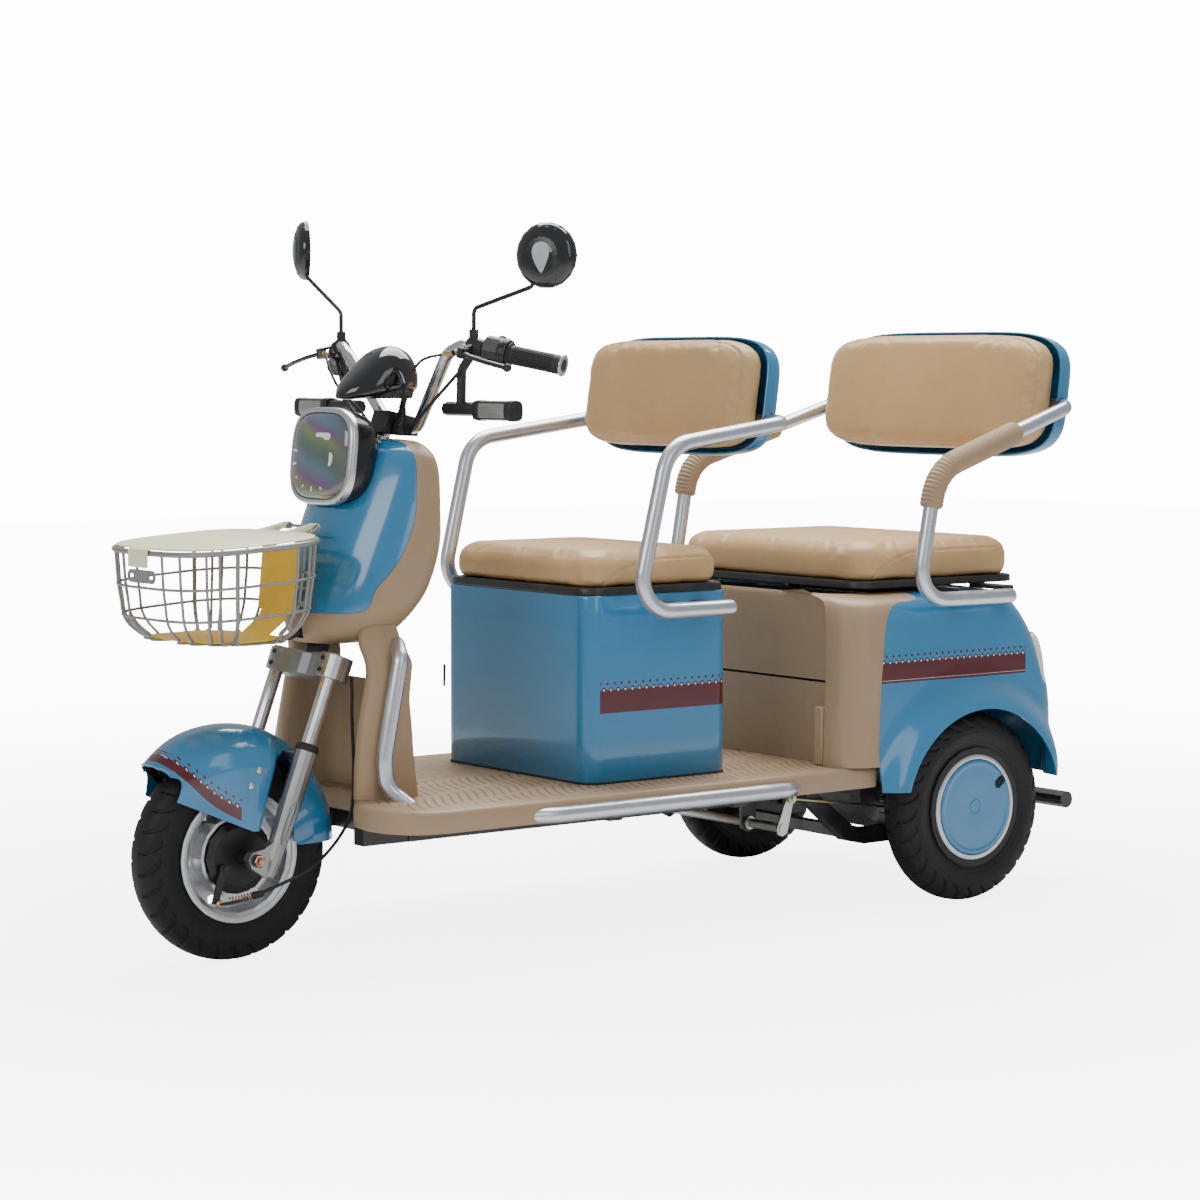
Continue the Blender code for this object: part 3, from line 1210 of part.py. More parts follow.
def fork_leg():
    """Left leg: a bored cylinder with a lug that carries the axle ahead of it."""
    x = LEG_HALF_SPACING
    outline = [(-0.020, 0), (-0.020, 0.013), (0.010, 0.016), (0.060, 0.0165), (0.120, LEG_RADIUS),
               (LEG_TOP, LEG_RADIUS), (LEG_TOP, 0)]
    leg = turned("leg", outline, fork_point(x, LEG_LEAD, 0), STEER_AXIS, 12)
    lug_plan = [(LEG_LEAD + 0.006, -0.024), (LEG_LEAD + 0.004, 0.050), (AXLE_LEAD - 0.006, 0.022),
                (AXLE_LEAD + 0.014, 0.010), (AXLE_LEAD + 0.017, -0.004), (AXLE_LEAD + 0.006, -0.016)]
    lug = skin("lug", [[fork_point(px, ahead, along) for ahead, along in lug_plan] for px in (x - 0.009, x + 0.009)])
    boss = block("boss", (GUARD_SEAT_X, 0.086, 0.3485), (x - 0.006, 0.102, 0.3610))
    leg = joined(leg, lug, boss)
    bore = rod("bore", fork_point(x, LEG_LEAD, STANCHION_FOOT - 0.056), fork_point(x, LEG_LEAD, LEG_TOP + 0.02),
               STANCHION_RADIUS + RUNNING_GAP, 12)
    hole = rod("hole", (x - 0.03, 0, TYRE_RADIUS), (x + 0.03, 0, TYRE_RADIUS), FRONT_AXLE_RADIUS + RUNNING_GAP, 12)
    return dress(named(cut(leg, bore, hole), "fork_leg_left"), CAST_GREY)


def front_brake_plate():
    """Brake plate on the axle, which runs from nut to nut, with its cam lever."""
    z = TYRE_RADIUS
    thin = FRONT_AXLE_RADIUS
    thick = 0.011
    inner = LEG_HALF_SPACING - 0.009 - SEAT_GAP
    outer = LEG_HALF_SPACING + 0.009 + SEAT_GAP
    left = [(0.0300, thin), (0.0300, DRUM_RADIUS - 0.0012), (0.0345, DRUM_RADIUS - 0.0012),
            (0.0390, DRUM_RADIUS - 0.014), (0.0390, thick), (inner, thick), (inner, thin), (outer, thin),
            (outer, thick), (outer + 0.008, thick), (outer + 0.008, thin), (outer + 0.012, thin), (outer + 0.012, 0)]
    right = [(-outer - 0.012, 0), (-outer - 0.012, thin), (-outer - 0.008, thin), (-outer - 0.008, thick),
             (-outer, thick), (-outer, thin), (-inner, thin), (-inner, thick), (-0.0346, thick), (-0.0346, thin)]
    plate = turned("front_brake_plate", right + left, (0, 0, z), segments=12)
    pieces = [rod("cam", (0.037, -0.034, z - 0.018), (0.052, -0.034, z - 0.018), 0.007, 8),
              side_plate("cam_lever", [(-0.044, z - 0.010), (-0.030, z - 0.010), (-0.050, z - 0.078),
                                       (-0.062, z - 0.074)], 0.046, 0.050)]
    return dress(joined(plate, *pieces), BLACK_PAINT)


# Angle round the axle from straight behind it, radius of the crown and half width there
GUARD_LEVELS = [(-8, 0.198, 0.058), (12, 0.202, 0.064), (27, 0.206, 0.064), (36, 0.209, 0.056),
                (66, 0.220, 0.056), (74, 0.223, 0.080), (83, 0.2255, 0.088), (98, 0.2280, 0.088),
                (107, 0.2295, 0.085), (116, 0.230, 0.080), (128, 0.229, 0.070), (142, 0.227, 0.056)]


def mudguard():
    """An arched shell round the tyre, narrow where the fork passes, cut to its side and its plan outline."""
    rows = []
    for degrees, radius, half in GUARD_LEVELS:
        angle = math.radians(degrees)
        row = []
        section = [(-1.0, 0.050), (-0.99, radius - 0.062), (-0.88, radius - 0.034), (-0.55, radius - 0.0105),
                   (-0.25, radius - 0.0018)]
        section += [(-across, spoke) for across, spoke in section[::-1]]
        for across, spoke in section:
            row.append((across * half, spoke * math.cos(angle), TYRE_RADIUS + spoke * math.sin(angle)))
        rows.append(row)
    guard = sheet("mudguard", rows, 0.0025, closed_rings=False)
    outline = [(-0.1600, 0.3025), (-0.080, 0.268), (0.000, 0.232), (0.022, 0.232), (0.032, 0.262),
               (0.044, 0.318), (0.062, 0.350), (0.085, 0.362), (0.098, 0.340), (0.092, 0.262), (0.092, 0.206),
               (0.104, 0.198), (0.230, 0.198), (0.300, 0.300), (0.200, 0.480), (-0.1600, 0.480)]
    lip = [(0.0, -0.157), (0.026, -0.153), (0.048, -0.140), (0.066, -0.118), (0.078, -0.086), (0.100, -0.040)]
    plan = [(-x, y) for x, y in lip[:0:-1]] + lip + [(0.100, 0.300), (-0.100, 0.300)]
    guard = kept(guard, side_plate("outline", outline, -0.2, 0.2), flat_plate("plan", plan, 0.1, 0.6))
    return dress(guard, GLOSS_BLUE)


CABLE_RADIUS = 0.003


def front_brake_cable():
    """From behind the crown down past the left leg and forward to the brake's cam lever."""
    route = [(0.0830, 0.200, 0.487), (0.0850, 0.200, 0.455), (0.0860, 0.199, 0.419), (0.0880, 0.200, 0.368),
             (0.0895, 0.200, 0.312), (0.0910, 0.196, 0.262), (0.0930, 0.184, 0.232), (0.0960, 0.161, 0.204),
             (0.1030, 0.128, 0.179), (0.1080, 0.100, 0.163), (0.1060, 0.067, 0.149), (0.0960, 0.030, 0.134),
             (0.0780, -0.004, 0.118), (0.0590, -0.036, 0.109), (0.0535, -0.0520, 0.108)]
    curve = bpy.data.curves.new("front_brake_cable", "CURVE")
    curve.dimensions = "3D"
    path = smooth(route, 4)
    line = curve.splines.new("POLY")
    line.points.add(len(path) - 1)
    for point, place in zip(line.points, path):
        point.co = (*place, 1.0)
    curve.bevel_depth = CABLE_RADIUS
    curve.bevel_resolution = 2
    curve.use_fill_caps = True
    curve.materials.append(finish("front_brake_cable", *BLACK_RUBBER))
    cable = bpy.data.objects.new("front_brake_cable", curve)
    bpy.context.scene.collection.objects.link(cable)
    return cable


def smooth(points, steps):
    """A curve through the points, with some points added between each two."""
    points = [Vector(point) for point in points]
    path = []
    for index in range(len(points) - 1):
        a = points[max(index - 1, 0)]
        b, c = points[index], points[index + 1]
        d = points[min(index + 2, len(points) - 1)]
        for step in range(steps):
            t = step / steps
            path.append(0.5 * (2 * b + (c - a) * t + (2 * a - 5 * b + 4 * c - d) * t * t
                               + (3 * b - a - 3 * c + d) * t ** 3))
    path.append(points[-1])
    return path


# Rear axle and brake

def swing_arm():
    y, z = ARM_PIVOT
    seat = TYRE_RADIUS - AXLE_TUBE_RADIUS - SEAT_GAP
    pivot = rod("pivot", (-0.2150, y, z), (0.2150, y, z), 0.0150, 16)
    pieces = []
    outline = [(y - 0.014, z - 0.004), (1.245, 0.118), (1.290, 0.108), (WHEELBASE + 0.050, 0.108),
               (WHEELBASE + 0.050, 0.138), (1.300, 0.138), (1.262, 0.146), (y + 0.014, z + 0.006)]
    for side in (1, -1):
        x = side * 0.200
        pieces.append(side_plate("arm", outline, x - 0.013, x + 0.013))
        pieces.append(block("seat", (x - 0.022, WHEELBASE - 0.022, 0.130), (x + 0.022, WHEELBASE + 0.022, seat)))
        pieces.append(block("shock_foot", (x - 0.016, 1.352, 0.130), (x + 0.016, 1.388, 0.160)))
    pieces.append(block("tie", (-0.205, 1.290, 0.112), (0.205, 1.316, 0.134)))
    arm = joined(pivot, *pieces)
    bore = rod("bore", (-0.25, y, z), (0.25, y, z), 0.008 + RUNNING_GAP, 16)
    return dress(named(cut(arm, bore), "swing_arm"), BLACK_PAINT)


def drive_axle():
    """Motor and differential in one casing on the axle tube, with the stub shafts and brake plates."""
    y, z = REAR_AXLE
    tip = REAR_HALF_TRACK + 0.0255
    tube_end = REAR_HALF_TRACK - 0.0420
    outline = [(-tip, 0), (-tip, STUB_RADIUS), (-tube_end, STUB_RADIUS), (-tube_end, 0.062),
               (-tube_end + 0.012, 0.062), (-tube_end + 0.012, AXLE_TUBE_RADIUS),
               (-0.105, AXLE_TUBE_RADIUS), (-0.085, 0.060), (-0.030, 0.062),
               (-0.025, 0.074), (0.085, 0.074), (0.098, 0.060), (0.105, AXLE_TUBE_RADIUS),
               (tube_end - 0.012, AXLE_TUBE_RADIUS), (tube_end - 0.012, 0.062), (tube_end, 0.062),
               (tube_end, STUB_RADIUS), (tip, STUB_RADIUS), (tip, 0)]
    axle = turned("drive_axle", outline, (0, y, z), segments=12)
    tip_y = BRAKE_ROD_END[0] - BRAKE_ARM_REACH
    arm = [(y - 0.040, z - 0.010), (y - 0.040, z + 0.012), (tip_y, BRAKE_ROD_END[1] + 0.008),
           (tip_y, BRAKE_ROD_END[1] - 0.010)]
    lever = side_plate("brake_arm", arm, 0.226, 0.231)
    stud = rod("stud", (0.2285, y - 0.046, z), (tube_end - 0.006, y - 0.046, z), 0.006, 10)
    return dress(joined(axle, lever, stud), CAST_GREY)


def shock():
    """Left spring and damper between the swing arm's foot and the frame."""
    low = 0.160 + SEAT_GAP
    high = 0.432 - SEAT_GAP
    outline = [(0, 0), (0, 0.012), (0.022, 0.012), (0.030, 0.023)]
    length = high - low
    outline += [(length - 0.040, 0.023), (length - 0.030, 0.013), (length, 0.013), (length, 0)]
    return dress(turned("shock_left", outline, (0.200, 1.370, low), (0, 0, 1), 14), BLACK_PAINT)


def brake_shaft():
    y, z = BRAKE_SHAFT
    thin = BRAKE_SHAFT_RADIUS
    end = BRAKE_LEVER_X + 0.004
    outline = [(-0.200, 0), (-0.200, thin), (-0.1280, thin), (-0.1280, 0.013), (-0.1236, 0.013), (-0.1236, thin),
               (0.1236, thin), (0.1236, 0.013), (0.1280, 0.013), (0.1280, thin), (end, thin), (end, 0)]
    shaft = turned("shaft", outline, (0, y, z), segments=12)
    pin_y, pin_z = BRAKE_PIN
    outline = [(y - 0.014, z), (y - 0.011, z - 0.011), (y, z - 0.015), (y + 0.011, z - 0.010), (y + 0.014, z),
               (pin_y + 0.009, pin_z + 0.002), (pin_y + 0.004, pin_z + 0.009), (pin_y - 0.004, pin_z + 0.009),
               (pin_y - 0.009, pin_z + 0.002)]
    lever = side_plate("lever", outline, BRAKE_LEVER_X - 0.002, BRAKE_LEVER_X + 0.002)
    pin = rod("pin", (BRAKE_LEVER_X, pin_y, pin_z), (BRAKE_LEVER_X + 0.0125, pin_y, pin_z), PIN_RADIUS, 10)
    return dress(named(joined(shaft, lever, pin), "brake_shaft"), CAST_GREY)


def brake_rod():
    """A thin rod, with an eye on the lever's pin, that pulls on the rear brake's arm."""
    x = BRAKE_LEVER_X + 0.0065
    y, z = BRAKE_PIN
    eye = rod("eye", (x - 0.003, y, z), (x + 0.003, y, z), 0.0085, 10)
    end = (x, BRAKE_ROD_END[0] - BRAKE_ARM_REACH - ROD_END_GAP, BRAKE_ROD_END[1])
    line = tube("line", [(x, y + 0.004, z), end], 0.0026, 6)
    bore = rod("bore", (x - 0.01, y, z), (x + 0.01, y, z), PIN_RADIUS + RUNNING_GAP, 10)
    return dress(named(cut(joined(eye, line), bore), "brake_rod"), ((0.55, 0.42, 0.15), 0.35, 0.9))


# Bodies: each empty stands on its joint's axis

def pivot(name, place, parent=None):
    made = bpy.data.objects.new(name, None)
    made.empty_display_size = 0.05
    made.location = place
    bpy.context.scene.collection.objects.link(made)
    bpy.context.view_layer.update()
    if parent is not None:
        hang(made, parent)
    return made


def hang(made, parent):
    made.parent = parent
    made.matrix_parent_inverse = parent.matrix_world.inverted()


def both(left, name_right, parent_left, parent_right):
    """Hang a left piece and its mirror image."""
    look = left.data.materials[0]
    right = mirrored(left, name_right)
    right.data.materials.clear()
    right.data.materials.append(look.copy())
    hang(left, parent_left)
    hang(right, parent_right)


def build():
    clear_scene()
    tricycle = pivot("tricycle", (0, 0, 0))
    steering = pivot("steering", fork_point(0, 0, HEAD_TUBE_TOP), tricycle)
    lower = pivot("fork_lower", fork_point(0, LEG_LEAD, LEG_TOP), steering)
    front_wheel = pivot("front_wheel", (0, 0, TYRE_RADIUS), lower)
    rear_axle = pivot("rear_axle", (0, *ARM_PIVOT), tricycle)
    left_wheel = pivot("rear_wheel_left", (REAR_HALF_TRACK, *REAR_AXLE), rear_axle)
    right_wheel = pivot("rear_wheel_right", (-REAR_HALF_TRACK, *REAR_AXLE), rear_axle)
    front_seat = pivot("front_seat", (0, BOX_FRONT, BOX_TOP), tricycle)
    rear_seat = pivot("rear_seat", (0, REAR_SEAT_FRONT + 0.004, REAR_SEAT_FLOOR), tricycle)
    lid = pivot("lid", (0, *HINGE_ROD), tricycle)
    lever_left = pivot("lever_left", LEVER_PIVOT, steering)
    lever_right = pivot("lever_right", (-LEVER_PIVOT[0], *LEVER_PIVOT[1:]), steering)
    throttle = pivot("throttle", Vector(BAR_END) * Vector((-1, 1, 1)), steering)
    stem_base = mirror_stem_path(MIRROR_HEIGHT_LEFT)[0]
    mirror_left = pivot("mirror_pivot_left", stem_base, steering)
    mirror_right = pivot("mirror_pivot_right", stem_base * Vector((-1, 1, 1)), steering)
    horn = pivot("horn", bar_point(HORN_DISTANCE), steering)
    shaft = pivot("cross_shaft", (0, *BRAKE_SHAFT), tricycle)
    rod_pivot = pivot("rod_pivot", (BRAKE_LEVER_X, *BRAKE_PIN), shaft)

    for made in (main_frame(), floorboard(), leg_shield(), front_panel(), knee_panel(), headlight_bezel(),
                 headlight_housing(), headlight_lens(), basket_wire(), basket_liner(), front_seat_box(),
                 front_seat_hoop(), rear_seat_hoop(), rear_body(), rear_inner_panel(), battery()):
        hang(made, tricycle)
    both(side_rail(), "side_rail_right", tricycle, tricycle)
    both(tail_lamp(), "tail_lamp_right", tricycle, tricycle)
    both(shock(), "shock_right", tricycle, tricycle)
    both(dress(arm_sleeve(), LEATHER), "rear_arm_sleeve_right", tricycle, tricycle)
    hang(backrest_cushion("front_backrest_cushion", FRONT_BACKREST), tricycle)
    hang(backrest_shell("front_backrest_shell", FRONT_BACKREST, front_hoop_path()), tricycle)
    hang(backrest_cushion("rear_backrest_cushion", REAR_BACKREST), tricycle)
    hang(backrest_shell("rear_backrest_shell", REAR_BACKREST, rear_hoop_path()), tricycle)
    hang(basket_lid(), lid)

    pan = BOX_TOP + SEAT_GAP
    hang(seat_pan("front_seat_base", BOX_HALF_WIDTH, BOX_FRONT, BOX_REAR, pan), front_seat)
    hang(seat_cushion("front_seat_cushion", BOX_HALF_WIDTH + 0.004, BOX_FRONT - 0.006, BOX_REAR + 0.004,
                      pan + PAN_THICKNESS + SEAT_GAP, FRONT_CUSHION_THICKNESS), front_seat)
    hang(seat_pan("rear_seat_base", REAR_SEAT_HALF_WIDTH - 0.006, REAR_SEAT_FRONT + 0.004, REAR_SEAT_REAR - 0.006,
                  REAR_SEAT_FLOOR), rear_seat)
    hang(seat_cushion("rear_seat_cushion", REAR_SEAT_HALF_WIDTH, REAR_SEAT_FRONT, REAR_SEAT_REAR,
                      REAR_SEAT_FLOOR + PAN_THICKNESS + SEAT_GAP, REAR_CUSHION_THICKNESS), rear_seat)

    for made in (fork_crown(), handlebar(), dash_pod(), dress(grip("left_grip"), BLACK_RUBBER),
                 front_brake_cable()):
        hang(made, steering)
    right_grip = mirrored(grip("throttle_source"), "throttle_grip")
    bpy.data.objects.remove(bpy.data.objects["throttle_source"], do_unlink=True)
    hang(dress(right_grip, BLACK_RUBBER), throttle)
    hang(controls("left_controls", True), steering)
    right_controls = mirrored(controls("controls_source", False), "right_controls")
    bpy.data.objects.remove(bpy.data.objects["controls_source"], do_unlink=True)
    hang(dress(right_controls, BLACK_PLASTIC), steering)
    hang(horn_button(), horn)
    both(brake_lever(), "brake_lever_right", lever_left, lever_right)
    hang(mirror("mirror_left", MIRROR_HEIGHT_LEFT), mirror_left)
    right_mirror = mirrored(mirror("mirror_source", MIRROR_HEIGHT_RIGHT), "mirror_right")
    bpy.data.objects.remove(bpy.data.objects["mirror_source"], do_unlink=True)
    hang(dress(right_mirror, BLACK_PLASTIC), mirror_right)

    both(fork_leg(), "fork_leg_right", lower, lower)
    hang(mudguard(), lower)
    hang(front_brake_plate(), lower)
    hang(tyre("front_tyre", 0, 0), front_wheel)
    hang(front_rim(), front_wheel)

    hang(swing_arm(), rear_axle)
    hang(drive_axle(), rear_axle)
    both(tyre("rear_tyre_left", REAR_HALF_TRACK, WHEELBASE), "rear_tyre_right", left_wheel, right_wheel)
    both(rear_rim(), "rear_rim_right", left_wheel, right_wheel)
    hang(brake_shaft(), shaft)
    hang(brake_rod(), rod_pivot)

    tricycle.location.y = (TYRE_RADIUS - BUMPER_Y - BUMPER_RADIUS) / 2
    bpy.context.view_layer.update()


build()
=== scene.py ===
"""Looks of the electric tricycle: every piece over its CAD body, with the studio and the camera.

The sections follow the tricycle as it is put together: floor and frame first, then the panels,
the seats, the rear body, the wheels and the steering. Measures are metres. FRONT_AXLE_Y moves a
measure that is taken rearwards from the front axle to its place in the frame.
"""
import math

import bmesh
import bpy
import numpy as np
from mathutils import Matrix, Vector
from mathutils.bvhtree import BVHTree


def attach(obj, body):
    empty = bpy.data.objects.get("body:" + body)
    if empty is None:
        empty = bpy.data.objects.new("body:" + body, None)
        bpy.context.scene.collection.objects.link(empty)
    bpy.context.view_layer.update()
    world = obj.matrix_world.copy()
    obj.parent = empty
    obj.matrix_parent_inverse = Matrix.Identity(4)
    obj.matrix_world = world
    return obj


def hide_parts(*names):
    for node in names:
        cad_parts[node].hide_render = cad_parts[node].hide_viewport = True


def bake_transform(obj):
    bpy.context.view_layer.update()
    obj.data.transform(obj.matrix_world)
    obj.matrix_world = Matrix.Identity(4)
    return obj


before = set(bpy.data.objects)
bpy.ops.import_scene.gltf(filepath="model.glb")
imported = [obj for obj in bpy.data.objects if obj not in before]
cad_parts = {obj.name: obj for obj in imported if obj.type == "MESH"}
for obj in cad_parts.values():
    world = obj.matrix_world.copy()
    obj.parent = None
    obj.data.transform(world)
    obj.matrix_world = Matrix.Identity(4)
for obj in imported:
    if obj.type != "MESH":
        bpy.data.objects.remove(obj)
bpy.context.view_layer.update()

FRONT_AXLE_Y = -0.79525


# Studio
# A white sweep of paper under one broad softbox overhead, a strip on the camera's side and a
# softbox ahead, and the camera that took the photograph, about five metres away.

def laid_out(name, points, faces):
    """An object at the origin whose mesh holds its place."""
    mesh = bpy.data.meshes.new(name)
    mesh.from_pydata(np.asarray(points, float).tolist(), [], [list(face) for face in faces])
    piece = bpy.data.objects.new(name, mesh)
    bpy.context.scene.collection.objects.link(piece)
    return piece


def paper_floor():
    """A flat square that reaches far past the view on every side."""
    reach = 14.0
    paper = laid_out("studio_floor", [(-reach, -reach, 0), (reach, -reach, 0), (reach, reach, 0), (-reach,
                                                                                                   reach, 0)],
                     [(0, 1, 2, 3)])
    look = bpy.data.materials.new("paper")
    look.use_nodes = True
    shader = look.node_tree.nodes["Principled BSDF"]
    shader.inputs["Base Color"].default_value = (0.90, 0.90, 0.90, 1.0)
    shader.inputs["Roughness"].default_value = 0.55
    shader.inputs["Specular IOR Level"].default_value = 0.25
    # Painted light: to camera rays the paper glows, at 0.40 of full near the middle and full from 4.5 m out.
    seen = look.node_tree.nodes.new("ShaderNodeLightPath")
    glow = look.node_tree.nodes.new("ShaderNodeMix")
    glow.data_type = "RGBA"
    glow.inputs[6].default_value = (0.0, 0.0, 0.0, 1.0)
    glow.inputs[7].default_value = (1.0, 1.0, 1.0, 1.0)
    place = look.node_tree.nodes.new("ShaderNodeTexCoord")
    away = look.node_tree.nodes.new("ShaderNodeVectorMath")
    away.operation = "LENGTH"
    fade = look.node_tree.nodes.new("ShaderNodeMapRange")
    for index, value in enumerate((1.0, 4.5, 0.40, 1.0), 1):
        fade.inputs[index].default_value = value
    share = look.node_tree.nodes.new("ShaderNodeMath")
    share.operation = "MULTIPLY"
    for output, socket in ((place.outputs["Object"], away.inputs[0]), (away.outputs["Value"], fade.inputs[0]),
                           (fade.outputs[0], share.inputs[0]), (seen.outputs["Is Camera Ray"],
                                                                share.inputs[1]),
                           (share.outputs[0], glow.inputs[0])):
        look.node_tree.links.new(output, socket)
    look.node_tree.links.new(glow.outputs[2], shader.inputs["Emission Color"])
    shader.inputs["Emission Strength"].default_value = 12.0
    paper.data.materials.append(look)


def softbox(name, place, aim, width, height, watts, tone=(1.0, 1.0, 1.0)):
    """A rectangular light that faces the aim from its place."""
    lamp = bpy.data.lights.new(name, "AREA")
    lamp.shape = "RECTANGLE"
    lamp.size = width
    lamp.size_y = height
    lamp.energy = watts
    lamp.color = tone
    box = bpy.data.objects.new(name, lamp)
    box.location = place
    box.rotation_euler = (Vector(aim) - Vector(place)).to_track_quat("-Z", "Y").to_euler()
    bpy.context.scene.collection.objects.link(box)


def photograph_camera():
    """The camera's place and turn, as yaw, pitch and roll fitted to the photograph."""
    yaw, pitch, roll = (math.radians(turn) for turn in (-52.552, -4.264, 0.086))
    look = Vector((math.sin(yaw) * math.cos(pitch), math.cos(yaw) * math.cos(pitch), math.sin(pitch)))
    right = look.cross(Vector((0, 0, 1))).normalized()
    up = right.cross(look)
    right, up = (math.cos(roll) * right + math.sin(roll) * up, math.cos(roll) * up - math.sin(roll) * right)
    data = bpy.data.cameras.new("camera")
    data.sensor_width = 36.0
    data.lens = 92.64
    data.clip_end = 100.0
    camera = bpy.data.objects.new("camera", data)
    turn = np.eye(4)
    turn[:3, 0], turn[:3, 1], turn[:3, 2] = right, up, -look
    turn[:3, 3] = (4.6016, -3.50965, 1.0212)
    camera.matrix_world = Matrix(turn.tolist())
    bpy.context.scene.collection.objects.link(camera)
    bpy.context.scene.camera = camera


world = bpy.data.worlds.new("studio")
world.use_nodes = True
backdrop = world.node_tree.nodes["Background"]
seen = world.node_tree.nodes.new("ShaderNodeLightPath")
white = world.node_tree.nodes.new("ShaderNodeMix")
white.data_type = "RGBA"
white.clamp_result = False
white.inputs[6].default_value = (0.46, 0.47, 0.48, 1.0)
white.inputs[7].default_value = (14.0, 14.0, 14.0, 1.0)
world.node_tree.links.new(seen.outputs["Is Camera Ray"], white.inputs[0])
world.node_tree.links.new(white.outputs[2], backdrop.inputs["Color"])
bpy.context.scene.world = world
paper_floor()
softbox("overhead_softbox", (-0.6, 0.9, 3.4), (0.0, 0.0, 0.4), 3.2, 2.4, 215)
softbox("side_strip", (3.6, -0.6, 2.2), (0.0, 0.1, 0.5), 1.1, 2.6, 16)
softbox("front_softbox", (1.2, -4.2, 2.4), (0.0, -0.2, 0.6), 2.2, 1.6, 48)
photograph_camera()


# Frame
# Welded steel tube, painted satin black: rails under the floor, the head tube, the seat posts
# and the bumper. Road dust dulls it low down, and the paint has a faint orange peel.

class Socket:
    """One output in a finish. Sums of sockets and numbers add their own Math nodes."""

    def __init__(self, finish, output):
        self.finish = finish
        self.output = output

    def sum(self, operation, *values):
        return self.finish.add("ShaderNodeMath", {"operation": operation}, dict(enumerate(values)))

    def __add__(self, other):
        return self.sum("ADD", self, other)

    __radd__ = __add__

    def __sub__(self, other):
        return self.sum("SUBTRACT", self, other)

    def __rsub__(self, other):
        return self.sum("SUBTRACT", other, self)

    def __mul__(self, other):
        return self.sum("MULTIPLY", self, other)

    __rmul__ = __mul__

    def __truediv__(self, other):
        return self.sum("DIVIDE", self, other)

    def __pow__(self, other):
        return self.sum("POWER", self, other)

    def __gt__(self, other):
        return self.sum("GREATER_THAN", self, other)

    def __lt__(self, other):
        return self.sum("LESS_THAN", self, other)

    def __abs__(self):
        return self.sum("ABSOLUTE", self)

    def one_of(self, name, *values):
        """Any other Math operation with this socket as its first value."""
        return self.sum(name, self, *values)


class Finish:
    """A material built node by node on one Principled shader."""

    def __init__(self, name, colour, roughness, metallic=0.0, **fixed):
        self.material = bpy.data.materials.new(name)
        self.material.use_nodes = True
        self.tree = self.material.node_tree
        self.shader = self.tree.nodes["Principled BSDF"]
        fixed = {key.replace("_", " "): value for key, value in fixed.items()}
        for key, value in {"Base Color": (*colour, 1.0), "Roughness": roughness, "Metallic": metallic,
                           **fixed}.items():
            self.shader.inputs[key].default_value = value

    def add(self, kind, settings, values, output=0):
        """A node of any kind: its settings first, then the values or links of its sockets."""
        node = self.tree.nodes.new(kind)
        for key, value in settings.items():
            setattr(node, key, value)
        for key, value in values.items():
            if isinstance(value, Socket):
                self.tree.links.new(value.output, node.inputs[key])
            else:
                node.inputs[key].default_value = value
        return Socket(self, node.outputs[output])

    def drive(self, **values):
        """Links what changes over the surface to the shader."""
        for key, value in values.items():
            self.tree.links.new(value.output, self.shader.inputs[key.replace("_", " ")])
        return self

    def place(self, stretch=(1, 1, 1), shift=(0, 0, 0)):
        """The point on the piece, stretched and shifted."""
        point = self.add("ShaderNodeTexCoord", {}, {}, 3)
        if stretch == (1, 1, 1) and shift == (0, 0, 0):
            return point
        return self.add("ShaderNodeMapping", {}, {"Vector": point, "Scale": stretch, "Location": shift})

    def axes(self, point=None):
        """x, y and z of a point, y rearwards from the front axle."""
        point = point or self.place(shift=(0, -FRONT_AXLE_Y, 0))
        first = self.add("ShaderNodeSeparateXYZ", {}, {0: point})
        node = first.output.node
        return first, Socket(self, node.outputs[1]), Socket(self, node.outputs[2])

    def noise(self, scale, detail=2.0, roughness=0.5, stretch=(1, 1, 1)):
        return self.add("ShaderNodeTexNoise", {}, {"Vector": self.place(stretch), "Scale": scale,
                                                   "Detail": detail,
                                                   "Roughness": roughness})

    def cells(self, scale, feature="F1", stretch=(1, 1, 1)):
        return self.add("ShaderNodeTexVoronoi", {"feature": feature}, {"Vector": self.place(stretch),
                                                                       "Scale": scale})

    def ramp(self, value, low, high, first=0.0, last=1.0):
        """Goes smoothly from first to last as the value goes from low to high."""
        return self.add("ShaderNodeMapRange", {"interpolation_type": "SMOOTHSTEP"},
                        {0: value, 1: low, 2: high, 3: first, 4: last})

    def tint(self, share, first, second):
        """The first colour where the share is 0 and the second where it is 1."""
        first, second = (tone if isinstance(tone, Socket) else (*tone, 1.0) for tone in (first, second))
        return self.add("ShaderNodeMix", {"data_type": "RGBA"}, {0: share, 6: first, 7: second}, 2)

    def relief(self, height, depth, before=None):
        """A bump whose height of 1 stands for the depth in metres."""
        values = {"Height": height, "Distance": depth, "Strength": 1.0}
        if before is not None:
            values["Normal"] = before
        return self.add("ShaderNodeBump", {}, values)


def dressed(node, finish):
    """Gives a CAD node its finish."""
    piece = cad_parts[node]
    piece.data.materials.clear()
    piece.data.materials.append(finish.material)
    return piece


def black_paint(name, dust=0.35):
    """Satin black whose gloss and tone fall off in blotches of dust."""
    look = Finish(name, (0.014, 0.014, 0.015), 0.34, 0.0, Coat_Weight=0.25, Coat_Roughness=0.2)
    patches = look.ramp(look.noise(9.0, 5.0, 0.6), 0.42, 0.72)
    peel = look.noise(420.0, 1.0)
    look.drive(Base_Color=look.tint(patches * dust, (0.012, 0.012, 0.013), (0.085, 0.078, 0.068)),
               Roughness=patches * 0.28 + 0.30, Normal=look.relief(peel, 0.00012))
    return look


frame_black = black_paint("frame black")
for node in ("main_frame", "swing_arm"):
    dressed(node, frame_black)


# Floorboard
# One moulded plastic tray in matt beige, screwed down on the rails. Its top has fine slanting
# grooves inside a plain border, and its rounded nose drops over the rails' front ends.

